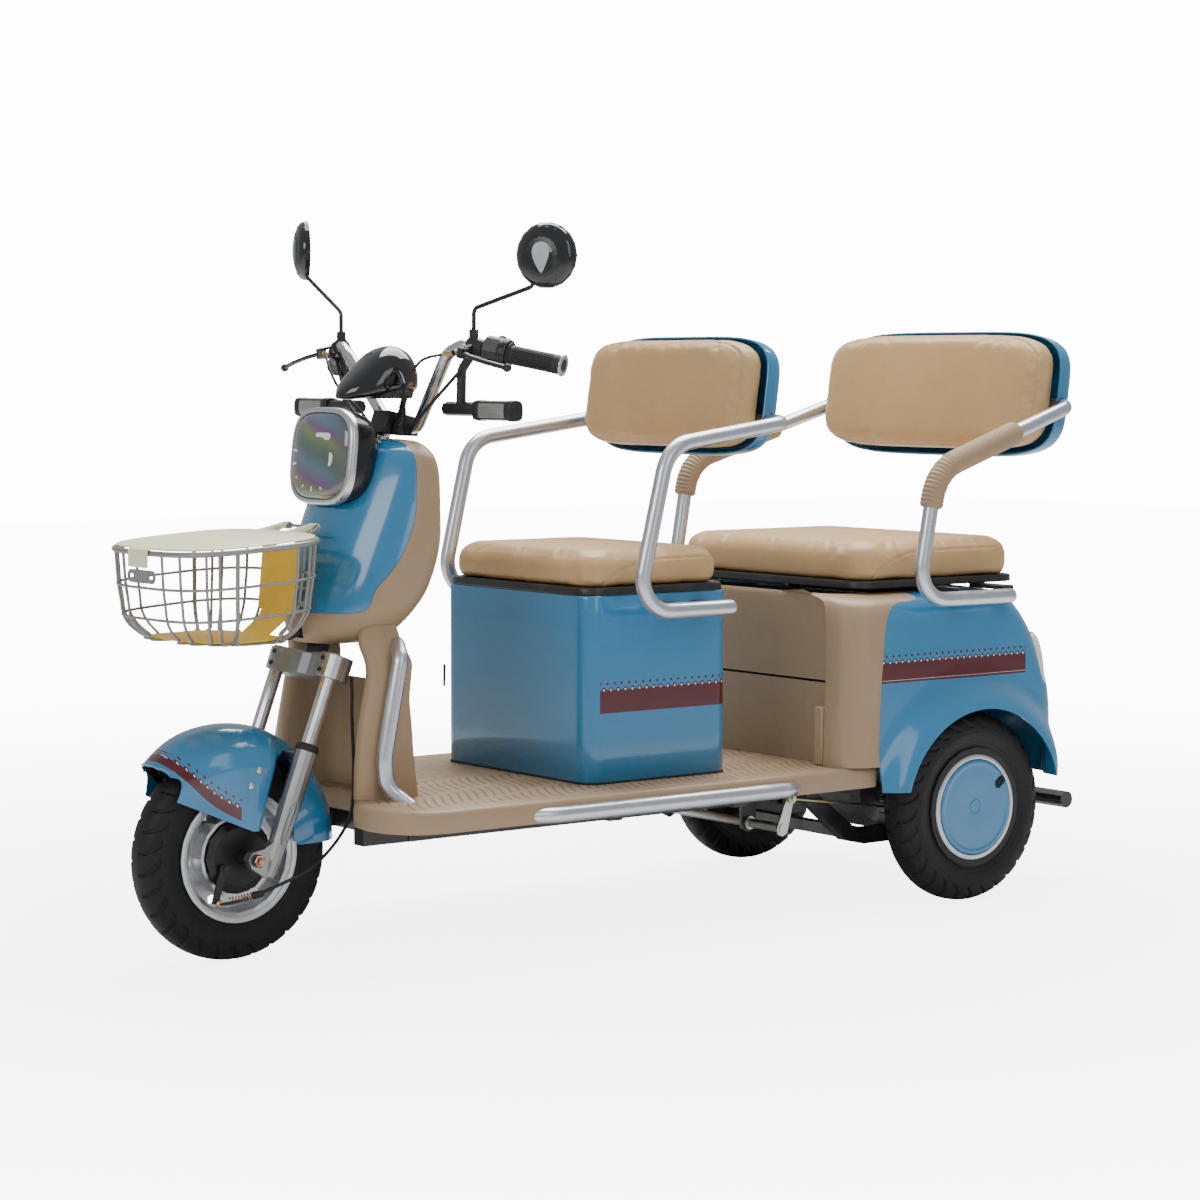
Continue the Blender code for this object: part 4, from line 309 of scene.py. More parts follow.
def through(points, steps=8, closed=False):
    """Catmull-Rom curve through the points: each stretch is the cubic whose slope at a point is half
    the way between its neighbours."""
    points = np.asarray(points, float)
    if closed:
        before, start, end, after = (np.roll(points, shift, 0) for shift in (1, 0, -1, -2))
    else:
        padded = np.concatenate([points[:1], points, points[-1:]])
        before, start, end, after = padded[:-3], padded[1:-2], padded[2:-1], padded[3:]
    t = (np.arange(steps) / steps)[None, :, None]
    before, start, end, after = (part[:, None, :] for part in (before, start, end, after))
    curve = 0.5 * (2 * start + (end - before) * t + (2 * before - 5 * start + 4 * end - after) * t ** 2
                   + (3 * start - before - 3 * end + after) * t ** 3)
    curve = curve.reshape(-1, points.shape[1])
    return curve if closed else np.concatenate([curve, points[-1:]])


def evenly(path, count, closed=False):
    """The same path with its points at even distances."""
    path = np.asarray(path, float)
    if closed:
        path = np.concatenate([path, path[:1]])
    reach = np.concatenate([[0.0], np.cumsum(np.linalg.norm(np.diff(path, axis=0), axis=1))])
    places = np.linspace(0, reach[-1], count + 1 if closed else count)
    spread = np.stack([np.interp(places, reach, column) for column in path.T], -1)
    return spread[:-1] if closed else spread


def surface(grid, rows=False, columns=False, ends=None):
    """Quads over a grid of points. Rows or columns may close on themselves, and ends shuts the first
    and the last row with a flat face, or a fan round their middles."""
    grid = np.asarray(grid, float)
    n, m = grid.shape[:2]
    r = np.arange(n if rows else n - 1)[:, None]
    c = np.arange(m if columns else m - 1)[None, :]
    corner = [((r + down) % n) * m + (c + over) % m for down, over in ((0, 0), (0, 1), (1, 1), (1, 0))]
    lots = [np.stack(corner, -1).reshape(-1, 4)]
    points = grid.reshape(-1, 3)
    if ends == "flat":
        lots += [np.arange(m)[None, ::-1], (n - 1) * m + np.arange(m)[None]]
    if ends == "fan":
        points = np.concatenate([points, grid[[0, -1]].mean(1)])
        i = np.arange(m)
        j = (i + 1) % m
        lots += [np.stack([np.full(m, n * m), j, i], -1),
                 np.stack([np.full(m, n * m + 1), (n - 1) * m + i, (n - 1) * m + j], -1)]
    return points, lots


def made(name, look, *shapes, angle=38, wall=0.0, level=0, bevel=0.0, weld=1e-6):
    """One piece from several surfaces: its doubles merged, its faces turned out, and its place moved
    from the front axle into the frame."""
    points = np.concatenate([shape[0] for shape in shapes])
    starts = np.cumsum([0] + [len(shape[0]) for shape in shapes])
    faces = [face for start, shape in zip(starts,
                                          shapes) for lot in shape[1] for face in (lot + start).tolist()]
    piece = laid_out(name, points + (0, FRONT_AXLE_Y, 0), faces)
    edit = bmesh.new()
    edit.from_mesh(piece.data)
    bmesh.ops.remove_doubles(edit, verts=edit.verts, dist=weld)
    bmesh.ops.dissolve_degenerate(edit, edges=edit.edges, dist=1e-7)
    bmesh.ops.recalc_face_normals(edit, faces=edit.faces)
    edit.to_mesh(piece.data)
    edit.free()
    if wall:
        thick = piece.modifiers.new("wall", "SOLIDIFY")
        thick.thickness = wall
        thick.offset = 0.0
        thick.use_even_offset = True
    if bevel:
        edge = piece.modifiers.new("edge", "BEVEL")
        edge.width = bevel
        edge.segments = 2
        edge.limit_method = "ANGLE"
        edge.angle_limit = math.radians(40)
    if level:
        finer = piece.modifiers.new("finer", "SUBSURF")
        finer.levels = finer.render_levels = level
    piece.data.shade_smooth()
    piece.data.set_sharp_from_angle(angle=math.radians(angle))
    piece.data.materials.append(look.material)
    return piece


def fitted(piece, body, slot, *nodes):
    """The piece rides on its body and stands for its CAD nodes. The slot is not used."""
    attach(piece, body)
    if nodes:
        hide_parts(*nodes)
    return piece


def settled(piece):
    """The piece with what its modifiers make of it as its own mesh."""
    bpy.context.view_layer.update()
    mesh = bpy.data.meshes.new_from_object(piece.evaluated_get(bpy.context.evaluated_depsgraph_get()))
    piece.modifiers.clear()
    piece.data = mesh
    return piece


def carved(piece, operation, *tools):
    """Cuts the tools from the piece, or keeps what lies in them, and removes the tools."""
    for tool in tools:
        step = piece.modifiers.new("carve", "BOOLEAN")
        step.operation = operation
        step.object = tool
        settled(piece)
        bpy.data.objects.remove(tool, do_unlink=True)
    piece.data.shade_smooth()
    piece.data.set_sharp_from_angle(angle=math.radians(30))
    return piece


def layers(outline, profile):
    """Rings of an (x, y) outline: each (inset, height) of the profile moves the outline in along its
    own normals."""
    outline = np.asarray(outline, float)
    ahead = np.roll(outline, -1, 0) - np.roll(outline, 1, 0)
    normal = np.stack([-ahead[:, 1], ahead[:, 0]], -1)
    normal /= np.linalg.norm(normal, axis=1, keepdims=True)
    profile = np.asarray(profile, float)
    flat = outline[None] + normal[None] * profile[:, 0, None, None]
    return np.concatenate([flat, np.broadcast_to(profile[:, 1, None, None], flat.shape[:2] + (1,))], -1)


def extruded(outline, low, high, axis=2):
    """A flat outline carried from low to high along an axis, with flat ends."""
    outline = np.asarray(outline, float)
    rings = np.stack([np.insert(outline, axis, height, axis=1) for height in (low, high)])
    return surface(rings, columns=True, ends="flat")


BEIGE = (0.360, 0.190, 0.055)
FLOOR_TOP = 0.277
FLOOR_EDGE = [(0.0, 0.247), (0.062, 0.245), (0.094, 0.232), (0.108, 0.205), (0.121, 0.184), (0.140, 0.167),
              (0.165, 0.152), (0.192, 0.143), (0.226, 0.139), (0.264, 0.145), (0.298, 0.163), (0.321, 0.192),
              (0.330, 0.232)]


def beige_plastic(name, grain=0.00006, gloss=0.42):
    """Moulded beige: a spark-eroded grain, faint flow marks and a dusty tone low down."""
    look = Finish(name, BEIGE, gloss)
    x, y, z = look.axes()
    flow = look.noise(2.2, 3.0, 0.55)
    dust = look.ramp(z, 0.62, 0.24) * look.ramp(look.noise(7.0, 5.0, 0.62), 0.35, 0.75)
    tone = look.tint(flow, (0.345, 0.230, 0.130), (0.385, 0.262, 0.152))
    look.drive(Base_Color=look.tint(dust * 0.35, tone, (0.42, 0.33, 0.22)),
               Roughness=dust * 0.15 + gloss,
               Normal=look.relief(look.noise(900.0, 2.0, 0.6), grain))
    return look


def ribbed_floor():
    """The same beige with grooves slanting rearwards from a wavy rib to a plain border."""
    look = beige_plastic("ribbed beige floor")
    x, y, z = look.axes()
    across = abs(x)
    inside = look.ramp(across, 0.296, 0.290) * look.ramp(y, 0.176, 0.196) * (z > FLOOR_TOP - 0.003)
    slant = y + across * 0.42 + (across * 30.0).one_of("SINE") * 0.006
    wave = (slant * (2 * math.pi / 0.0185)).one_of("SINE")
    groove = look.ramp(wave, 0.55, 0.92) * inside
    stagger = (across * 60.0 + y * 23.0).one_of("SINE")
    groove = groove * look.ramp(stagger, -0.98, -0.80)
    colour = look.shader.inputs["Base Color"].links[0].from_socket
    # Painted shade: the sunk grooves are darkened towards a deep brown.
    shade = look.tint(groove * 0.62, Socket(look, colour), (0.16, 0.10, 0.055))
    grain = look.noise(900.0, 2.0, 0.6)
    return look.drive(Base_Color=shade, Normal=look.relief(1 - groove, 0.0016, look.relief(grain, 0.00005)))


def floorboard():
    left = np.concatenate([through(FLOOR_EDGE, 5), [(0.330, 0.5), (0.330, 0.8), (0.330, 1.19)],
                           [(0.330 - 0.02 * (1 - math.cos(a)), 1.205 + 0.02 * math.sin(a)) for a in (0.3,
                                                                                                     0.8, 1.3)]])
    outline = np.concatenate([left, left[:0:-1] * (-1, 1)])
    skirt = [(0.005, 0.2365), (0.0012, 0.2375), (0.0, 0.241), (0.0, 0.266), (0.0012, 0.2715), (0.0045,
                                                                                               0.2752),
             (0.0100, FLOOR_TOP)]
    inner = [(0.0100, FLOOR_TOP - 0.004), (0.0045, 0.270), (0.0045, 0.2365)]
    top = surface(layers(outline, skirt), columns=True)
    under = surface(layers(outline, inner), columns=True)
    rings = layers(outline, skirt), layers(outline, inner)
    deck = rings[0][-1], rings[1][0]
    flat = [(ring, [np.arange(len(ring))[None]]) for ring in deck]
    foot = surface(np.stack([rings[1][-1], rings[0][0]]), columns=True)
    return made("ribbed_floorboard", ribbed_floor(), top, under, foot, *flat)


fitted(floorboard(), "chassis", "matt_beige", "floorboard")


# Leg shield
# A beige moulding on the floor's nose: a low board between two hollow pillars that lean in under
# the front column. A parting line runs across each pillar just above the board's top.

SHIELD_LEVELS = [(0.2774, 0.180, 0.294, 1.0), (0.340, 0.182, 0.286, 1.0), (0.404, 0.190, 0.281, 1.0),
                 (0.450, 0.199, 0.277, 1.0), (0.490, 0.206, 0.281, 1.0), (0.515, 0.206, 0.284, 0.97),
                 (0.545, 0.199, 0.272, 0.90), (0.568, 0.204, 0.268, 0.84), (0.590, 0.214, 0.266, 0.78)]


def box_tool(low, high):
    """A plain block that only cuts."""
    (x0, y0, z0), (x1, y1, z1) = low, high
    shape = extruded([(x0, y0), (x1, y0), (x1, y1), (x0, y1)], z0, z1)
    return made("cutter", beige_shell, shape)


def column_tool(grow):
    """The front column's solid, grown by a clearance."""
    return made("cutter", beige_shell, surface(column_grid(grow), columns=True, ends="flat"))


def leg_shield():
    levels = through(SHIELD_LEVELS, 6)
    height, front, rear, share = levels.T[:, :, None]
    flank = np.array([(0.0, 0.280, 0), (0.045, 0.280, 0), (0.0835, 0.272, 0), (0.0975, 0.246, 0), (0.1045,
                                                                                                   0.032, 1),
                      (0.1125, 0.009, 1), (0.1240, 0.0, 1), (0.1385, 0.002, 1), (0.1490, 0.018, 1), (0.1505,
                                                                                                     0.040, 1)])
    x = flank[None, :, 0] * share
    y = np.where(flank[None, :, 2] > 0, front + flank[None, :, 1], np.maximum(flank[None, :, 1],
                                                                              front + 0.036))
    x = np.concatenate([x, 0.150 * share], 1)
    y = np.concatenate([y, rear], 1)
    half = np.stack([x, y, np.broadcast_to(height, x.shape)], -1)
    smooth = np.stack([through(row, 4) for row in half])
    row = np.concatenate([smooth[:, :0:-1] * (-1, 1, 1), smooth], 1)
    shield = settled(made("leg_shield_moulding", beige_shell, surface(row), wall=0.003))
    opening = box_tool((-0.0715, 0.2405, 0.474), (0.0715, 0.34, 0.65))
    foot = box_tool((-0.4, 0.0, 0.2), (0.4, 0.4, 0.2772))
    return carved(shield, "DIFFERENCE", opening, foot, column_tool(0.0019))


beige_shell = beige_plastic("beige shell")


# Front column
# Two mouldings clipped together round the head tube: a glossy blue face and a beige knee panel.
# The blue is lacquered, so it mirrors the softboxes, and the seam between them is a dark line.

COLUMN_LEVELS = [(0.545, 0.150, 0.205, 0.268, 0.062), (0.563, 0.144, 0.228, 0.302, 0.105),
                 (0.600, 0.142, 0.247, 0.334, 0.137), (0.645, 0.153, 0.264, 0.364, 0.151),
                 (0.715, 0.176, 0.294, 0.378, 0.158), (0.780, 0.202, 0.312, 0.371, 0.157),
                 (0.845, 0.230, 0.321, 0.367, 0.149), (0.876, 0.246, 0.322, 0.358, 0.133),
                 (0.893, 0.268, 0.322, 0.346, 0.098), (0.897, 0.285, 0.320, 0.340, 0.045)]
SEAM = [(0.100, 0.600), (0.196, 0.602), (0.217, 0.642), (0.256, 0.692), (0.285, 0.760), (0.295, 0.830),
        (0.300, 0.875), (0.302, 0.930)]


def column_grid(grow=0.0, steps=6, around=72):
    """Rings of the column: an ellipse ahead of each ring's middle, and a fuller curve behind it."""
    height, front, middle, rear, half = through(COLUMN_LEVELS, steps).T[:, :, None]
    angle = 2 * math.pi * (np.arange(around) + 0.5)[None] / around
    depth = np.cos(angle)
    ahead = middle - (middle - front + grow) * depth
    behind = middle + (rear - middle + grow) * np.abs(depth) ** 0.6
    y = np.where(depth > 0, ahead, behind)
    x = (half + grow) * np.sin(angle)
    lift = grow * np.interp(height, (0.55, 0.62, 0.80, 0.89), (-1, 0, 0, 1))
    return np.stack([x, y, np.broadcast_to(height + lift, x.shape)], -1)


def seam_tool(gap):
    """What lies ahead of the seam, seen from the side."""
    outline = [(y - gap, z + gap) for y, z in through(SEAM, 4)] + [(0.0, 0.930), (0.0, 0.600 + gap)]
    return made("cutter", beige_shell, extruded(outline, -0.3, 0.3, 0))


def lacquer(name, colour=(0.030, 0.205, 0.410), gloss=0.16, stripe=None):
    """Blue lacquer: a clear coat over a faintly mottled base, with an optional printed stripe."""
    look = Finish(name, colour, gloss, 0.0, Coat_Weight=0.6, Coat_Roughness=0.05)
    mottle = look.noise(3.0, 4.0, 0.55)
    deep, pale = (tuple(part * k for part in colour) for k in (0.93, 1.06))
    tone = look.tint(mottle, deep, pale)
    if stripe:
        tone = stripe(look, tone)
    peel = look.noise(260.0, 1.0)
    smear = look.ramp(look.noise(11.0, 4.0, 0.6), 0.45, 0.8)
    return look.drive(Base_Color=tone, Roughness=smear * 0.10 + gloss, Normal=look.relief(peel, 0.00005))


fitted(leg_shield(), "chassis", "matt_beige", "leg_shield")
blue_lacquer = lacquer("blue lacquer")
column = surface(column_grid(), columns=True)
face = settled(made("blue_front_panel", blue_lacquer, column, wall=0.003))
fitted(carved(face, "INTERSECT", seam_tool(0.0005)), "chassis", "gloss_blue", "front_panel")
knee = settled(made("beige_knee_panel", beige_shell, column, wall=0.003))
hole = made("cutter", beige_shell, extruded([(0.22, 0.610), (0.22, 0.576), (0.12, 0.544), (0.06, 0.544),
                                             (0.06, 0.558), (0.116, 0.559)], -0.0145, 0.0145, 0))
fitted(carved(knee, "DIFFERENCE", seam_tool(0.0), hole), "chassis", "matt_beige", "knee_panel")


# Headlight
# A squircle lamp on the column's face: a brushed silver bezel, a deep black housing, and a clear
# bulging lens over a dark reflector with a bar lamp, a block and seven short marker strips.

LAMP_CENTRE = np.array([0.0, 0.190, 0.870])
LAMP_TILT = math.radians(6)
LAMP_HALF = (0.100, 0.086)
LAMP_BACK = np.array([0.0, math.cos(LAMP_TILT), -math.sin(LAMP_TILT)])
LAMP_UP = np.array([0.0, math.sin(LAMP_TILT), math.cos(LAMP_TILT)])


def lamp_rings(steps, around=96, power=3.4):
    """Squircle rings across the lamp, one for each (share of its size, depth behind its face)."""
    share, depth = (column[:, None] for column in np.asarray(steps, float).T)
    angle = 2 * math.pi * np.arange(around)[None] / around
    c, s = np.cos(angle), np.sin(angle)
    u = np.sign(c) * np.abs(c) ** (2 / power) * LAMP_HALF[0] * share
    w = np.sign(s) * np.abs(s) ** (2 / power) * LAMP_HALF[1] * share
    ring = LAMP_CENTRE + w[..., None] * LAMP_UP + depth[..., None] * LAMP_BACK
    ring[..., 0] += u
    return ring


def brushed_silver(name, colour=(0.62, 0.64, 0.67), gloss=0.26, scale=70.0, stretch=(1, 1, 1)):
    """Satin anodised aluminium with fine streaks and a few dull finger marks."""
    look = Finish(name, colour, gloss, 1.0)
    streak = look.noise(scale, 3.0, 0.7, stretch)
    marks = look.ramp(look.noise(16.0, 4.0, 0.6), 0.5, 0.75)
    pale = tuple(min(1.0, part * 1.12) for part in colour)
    deep = tuple(part * 0.90 for part in colour)
    return look.drive(Base_Color=look.tint(streak, deep, pale),
                      Roughness=marks * 0.14 + streak * 0.08 + gloss,
                      Normal=look.relief(streak, 0.00004))


def moulded_black(name, tone=0.018, gloss=0.42, grain=0.00012, size=650.0):
    """Black plastic with a spark-eroded grain that scatters the light."""
    look = Finish(name, (tone, tone, tone * 1.05), gloss)
    cells = look.noise(size, 3.0, 0.6)
    wear = look.ramp(look.noise(14.0, 4.0, 0.6), 0.5, 0.8)
    return look.drive(Base_Color=look.tint(wear, (tone, tone, tone * 1.05), (tone * 2.2, tone * 2.2,
                                                                             tone * 2.3)),
                      Roughness=wear * 0.12 + gloss, Normal=look.relief(cells, grain))


def moved(shape, turn=None, shift=(0, 0, 0)):
    """A surface turned by a matrix and shifted."""
    points = shape[0] if turn is None else shape[0] @ np.asarray(turn, float).T
    return points + np.asarray(shift, float), shape[1]


def pill(half_length, half_width, height, around=24):
    """A low bar with round ends, lying in x and y, with softened upper edges."""
    angle = 2 * math.pi * np.arange(around) / around
    edge = np.stack([half_width * np.cos(angle) + np.sign(np.cos(angle)) * (half_length - half_width),
                     half_width * np.sin(angle)], -1)
    rings = [np.column_stack([edge * share, np.full(around, level)])
             for share, level in ((1.0, 0.0), (1.0, height * 0.7), (0.90, height))]
    return surface(np.stack(rings), columns=True, ends="flat")


def on_lamp(shape, u, w, turn, depth):
    """Lays a shape on the lamp's face at a place across it, turned in its plane."""
    c, s = math.cos(turn), math.sin(turn)
    axes = np.stack([c * np.array([1.0, 0, 0]) + s * LAMP_UP, c * LAMP_UP - s * np.array([1.0, 0, 0]),
                     -LAMP_BACK], 1)
    return moved(shape, axes, LAMP_CENTRE + u * np.array([1.0, 0, 0]) + w * LAMP_UP + depth * LAMP_BACK)


def painted_lens_sheen():
    """The lens: clear plastic with painted iridescent sheen in bands from green by violet to blue, greyer at its sides.
    """
    look = Finish("headlight lens", (0.10, 0.115, 0.12), 0.035, 0.0, Coat_Weight=1.0, Coat_Roughness=0.01)
    x, y, z = look.axes()
    sway = look.noise(5.0, 1.0)
    along = (z - 0.83) * 9.0 + x * 6.0 + sway * 1.2
    sheen = look.add("ShaderNodeValToRGB", {}, {0: along.one_of("FRACT")})
    stops = sheen.output.node.color_ramp
    for place, colour in ((0.18, (0.045, 0.12, 0.06, 1)), (0.38, (0.16, 0.17, 0.05, 1)), (0.55, (0.12, 0.05,
                                                                                                 0.15, 1)),
                          (0.75, (0.06, 0.13, 0.19, 1))):
        stops.elements.new(place).color = colour
    stops.elements[0].color = stops.elements[-1].color = (0.05, 0.075, 0.08, 1)
    edge = look.ramp(abs(x), 0.045, 0.080)
    sheen = look.tint(edge * 0.7, sheen, (0.10, 0.11, 0.11))
    return look.drive(Base_Color=sheen)


bezel_silver = brushed_silver("bezel silver", (0.66, 0.67, 0.68), 0.24)
bezel = [(0.885, 0.0135), (0.885, 0.0025), (0.892, 0.0004), (0.925, -0.0002), (0.960, 0.0006), (0.985,
                                                                                                0.0024),
         (1.0, 0.0060), (1.0, 0.0135)]
fitted(made("headlight_bezel_ring", bezel_silver, surface(lamp_rings(bezel), rows=True, columns=True)),
       "chassis",
       "bezel_silver", "headlight_bezel")
housing_black = moulded_black("headlight housing black", 0.010, 0.20, 0.00003)
shell = [(0.97, 0.0144), (0.972, 0.020), (0.966, 0.032), (0.945, 0.044), (0.90, 0.056), (0.80, 0.068),
         (0.62, 0.080),
         (0.34, 0.090)]
inner = [(0.28, 0.088), (0.56, 0.078), (0.75, 0.065), (0.90, 0.046), (0.935, 0.030), (0.93, 0.0144)]
housing = made("headlight_shell", housing_black, surface(lamp_rings(shell + inner), rows=True, columns=True))
fitted(carved(housing, "DIFFERENCE", column_tool(0.0019)), "chassis", "black_plastic", "headlight_housing")
lens = [(0.878, 0.0065), (0.878, 0.0015), (0.862, -0.0005), (0.80, -0.0042), (0.70, -0.0068), (0.55, -0.0086),
        (0.38, -0.0096), (0.20, -0.0100), (0.08, -0.0101)]
fitted(made("headlight_bulged_lens", painted_lens_sheen(), surface(lamp_rings(lens), columns=True, ends="fan")),
       "chassis",
       "clear_lens", "headlight_lens")
lit = Finish("marker strips", (0.80, 0.84, 0.88), 0.18, 0.0, Coat_Weight=0.8, Coat_Roughness=0.03)
lit.drive(Roughness=lit.ramp(lit.noise(300.0), 0.3, 0.7, 0.10, 0.26),
          Base_Color=lit.tint(lit.noise(60.0), (0.70, 0.76, 0.80), (0.88, 0.90, 0.92)))
strips = [on_lamp(pill(0.0075, 0.0021, 0.0010), 0.066 * math.cos(a) - 0.004, 0.055 * math.sin(a) - 0.002, a,
                  -0.0066)
          for a in np.radians((-42, -68, -93, -117, -141, -166, -190))]
strips += [on_lamp(pill(0.024, 0.0062, 0.0010), 0.020, 0.034, 0.0, -0.0086),
           on_lamp(pill(0.013, 0.0100, 0.0012), 0.045, -0.006, math.radians(78), -0.0080)]
fitted(made("headlight_markers", lit, *strips), "chassis", "lamp_white")


# Basket
# Welded steel wire, powder coated grey: a rim of 10 mm tube, two wires round, uprights that bend
# under the floor, and a slotted latch plate. A hinge rod at the rear takes the lid's two lugs.

BASKET_MIDDLE = -0.022
BASKET_LEVELS = [(0.722, 0.178, 0.143), (0.692, 0.176, 0.141), (0.662, 0.174, 0.139), (0.635, 0.171, 0.135),
                 (0.608, 0.168, 0.131), (0.590, 0.160, 0.123), (0.578, 0.150, 0.114), (0.566, 0.136, 0.101),
                 (0.558, 0.118, 0.084)]
BASKET_DROP = 0.558
HINGE_ROD = (0.150, 0.748)


def basket_ring(height, half_width, half_length, grow=0.0, around=96, slope=0.07):
    """A squircle round the basket whose height rises gently to the rear."""
    angle = 2 * math.pi * (np.arange(around) + 0.5) / around
    c, s = np.cos(angle), np.sin(angle)
    x = (half_width + grow) * np.sign(c) * np.abs(c) ** 0.625
    y = BASKET_MIDDLE + (half_length + grow) * np.sign(s) * np.abs(s) ** 0.625
    return np.stack([x, y, height + slope * (y - BASKET_MIDDLE)], -1)


def swept(path, radius, sides=14, closed=False):
    """Circles along a path. Each circle's first spoke is the last one's, turned as the path turns,
    so that nothing twists."""
    path = np.asarray(path, float)
    if closed:
        ahead = np.roll(path, -1, 0) - np.roll(path, 1, 0)
    else:
        ahead = np.gradient(path, axis=0)
    ahead /= np.linalg.norm(ahead, axis=1, keepdims=True)
    first = np.cross(ahead[0], (0.0, 0.0, 1.0) if abs(ahead[0][2]) < 0.9 else (1.0, 0.0, 0.0))
    spokes = [first / np.linalg.norm(first)]
    for tangent in ahead[1:]:
        spoke = spokes[-1] - tangent * np.dot(spokes[-1], tangent)
        spokes.append(spoke / np.linalg.norm(spoke))
    spokes = np.stack(spokes)
    if closed:
        last = spokes[-1] - ahead[0] * np.dot(spokes[-1], ahead[0])
        slip = math.atan2(np.dot(np.cross(spokes[0], last), ahead[0]), np.dot(spokes[0], last))
    else:
        slip = 0.0
    twist = -slip * np.arange(len(path)) / len(path)
    over = np.cross(ahead, spokes)
    angle = 2 * math.pi * np.arange(sides)[None] / sides + twist[:, None]
    reach = np.broadcast_to(np.asarray(radius, float).reshape(-1, 1), (len(path), 1))
    return path[:, None] + (reach * np.cos(angle))[..., None] * spokes[:, None] \
        + (reach * np.sin(angle))[..., None] * over[:, None]


def bar(path, radius, sides=14, closed=False, round_end=False):
    """A closed rod along a path, with flat ends or, for a wire's end, slightly rounded ones."""
    path = np.asarray(path, float)
    if closed:
        return surface(swept(path, radius, sides, True), rows=True, columns=True)
    if round_end:
        size = float(np.max(radius))
        heads = [path[:1] + (path[0] - path[1]) / np.linalg.norm(path[0] - path[1]) * size * k for k in (0.9, 0.6)]
        tails = [path[-1:] + (path[-1] - path[-2]) / np.linalg.norm(path[-1] - path[-2]) * size * k for k in (0.6, 0.9)]
        radius = np.concatenate([[0.35 * size, 0.8 * size], np.full(len(path), size), [0.8 * size,
                                                                                       0.35 * size]])
        path = np.concatenate(heads + [path] + tails)
    return surface(swept(path, radius, sides), columns=True, ends="fan")


def bent(corners, radii, step=math.radians(7)):
    """The path through the corners with an arc at each inner one: it starts and ends the arc's
    radius times the tangent of half the turn away."""
    corners = [Vector(corner) for corner in corners]
    radii = radii if isinstance(radii, (list, tuple)) else [radii] * (len(corners) - 2)
    path = [corners[0]]
    for before, corner, after, radius in zip(corners, corners[1:], corners[2:], radii):
        back, on = (before - corner).normalized(), (after - corner).normalized()
        turn = math.pi - back.angle(on)
        start = corner + back * radius * math.tan(turn / 2)
        centre = corner + (back + on).normalized() * radius / math.cos(turn / 2)
        axis = (start - centre).cross(-back).normalized()
        count = max(2, math.ceil(turn / step))
        path += [centre + Matrix.Rotation(turn * i / count, 3,
                                          axis) @ (start - centre) for i in range(count + 1)]
    path.append(corners[-1])
    return np.array([tuple(point) for point in path])


def split(path, reach=0.02):
    """The path with points added so that no stretch is longer than the reach."""
    gaps = np.linalg.norm(np.diff(path, axis=0), axis=1)
    parts = [a + (b - a) * np.linspace(0, 1, max(1, math.ceil(gap / reach)), endpoint=False)[:, None]
             for a, b, gap in zip(path[:-1], path[1:], gaps)]
    return np.concatenate(parts + [path[-1:]])


wire_grey = brushed_silver("powder coated wire", (0.30, 0.295, 0.28), 0.38, 240.0)
wire_grey.shader.inputs["Metallic"].default_value = 0.55
rings = [basket_ring(*BASKET_LEVELS[level]) for level in (0, 2, 4)]
cage = [bar(rings[0], 0.0050, 14, True), bar(rings[1], 0.0026, 10, True), bar(rings[2], 0.0026, 10, True)]
uprights = []
for level, (height, half_width, half_length) in enumerate(BASKET_LEVELS):
    slope = 0.07 if level < 5 else 0.07 * (8 - level) / 4
    uprights.append(basket_ring(height, half_width, half_length, 0.0, 360, slope))
uprights = np.stack(uprights)
for near in (14, 38, 62, 78, 102, 118, 142, 166):
    rise = uprights[:, near]
    fall = uprights[::-1, 359 - near]
    cage.append(bar(through(np.concatenate([rise, fall]), 5), 0.0026, 10))
for near in (346, 14, 28, 332):
    rise = uprights[:, near]
    fall = uprights[::-1, (179 - near) % 360]
    low = np.concatenate([rise, fall])
    cage.append(bar(through(low, 5), 0.0026, 10))
rear_y = BASKET_MIDDLE + 0.143
rear_z = 0.722 + 0.07 * 0.143
cage.append(bar(bent([(-0.062, rear_y - 0.002, rear_z), (-0.062, *HINGE_ROD), (0.062, *HINGE_ROD),
                      (0.062, rear_y - 0.002, rear_z)], 0.008), 0.0030, 12))
for x in (-0.050, 0.050):
    cage.append(bar(split(np.array([(x, 0.106, 0.616), (x, 0.134, 0.616)])), 0.0040, 10, round_end=True))
cage.append(bar(bent([(-0.030, 0.110, 0.640), (-0.030, 0.142, 0.640), (0.030, 0.142, 0.640), (0.030, 0.110,
                                                                                              0.640)],
                     0.006), 0.0024, 8))


def latch_plate():
    """A pressed strip welded across the front wires, with a slot near each end."""
    front = BASKET_MIDDLE - 0.141
    height = 0.672
    outer = evenly(pill_outline(0.047, 0.0115), 64, True)
    slots = [evenly(pill_outline(0.0075, 0.0036), 64, True) + (x, 0) for x in (-0.033, 0.033)]
    plate = made("latch", wire_grey, moved(extruded(outer, -0.0013, 0.0013), LATCH_TURN, (0, front - 0.0024,
                                                                                          height)))
    tools = [made("cutter", wire_grey, moved(extruded(slot, -0.01, 0.01), LATCH_TURN, (0, front - 0.0024,
                                                                                       height)))
             for slot in slots]
    return carved(plate, "DIFFERENCE", *tools)


def pill_outline(half_length, half_width, around=40):
    angle = 2 * math.pi * np.arange(around) / around
    return np.stack([half_width * np.cos(angle) + np.sign(np.cos(angle)) * (half_length - half_width),
                     half_width * np.sin(angle)], -1)


LATCH_TURN = np.array([[1.0, 0, 0], [0, 0, -1.0], [0, 1.0, 0]])
fitted(made("basket_cage", wire_grey, *cage), "chassis", "wire_grey", "basket_wire")
fitted(latch_plate(), "chassis", "wire_grey")


# Basket floor, back plate and lid
# Injection moulded yellow plastic, thin and a little translucent. The lid is crowned, has a folded
# tab over the latch plate, and two lugs that snap on the hinge rod. The floor droops at its lobes.

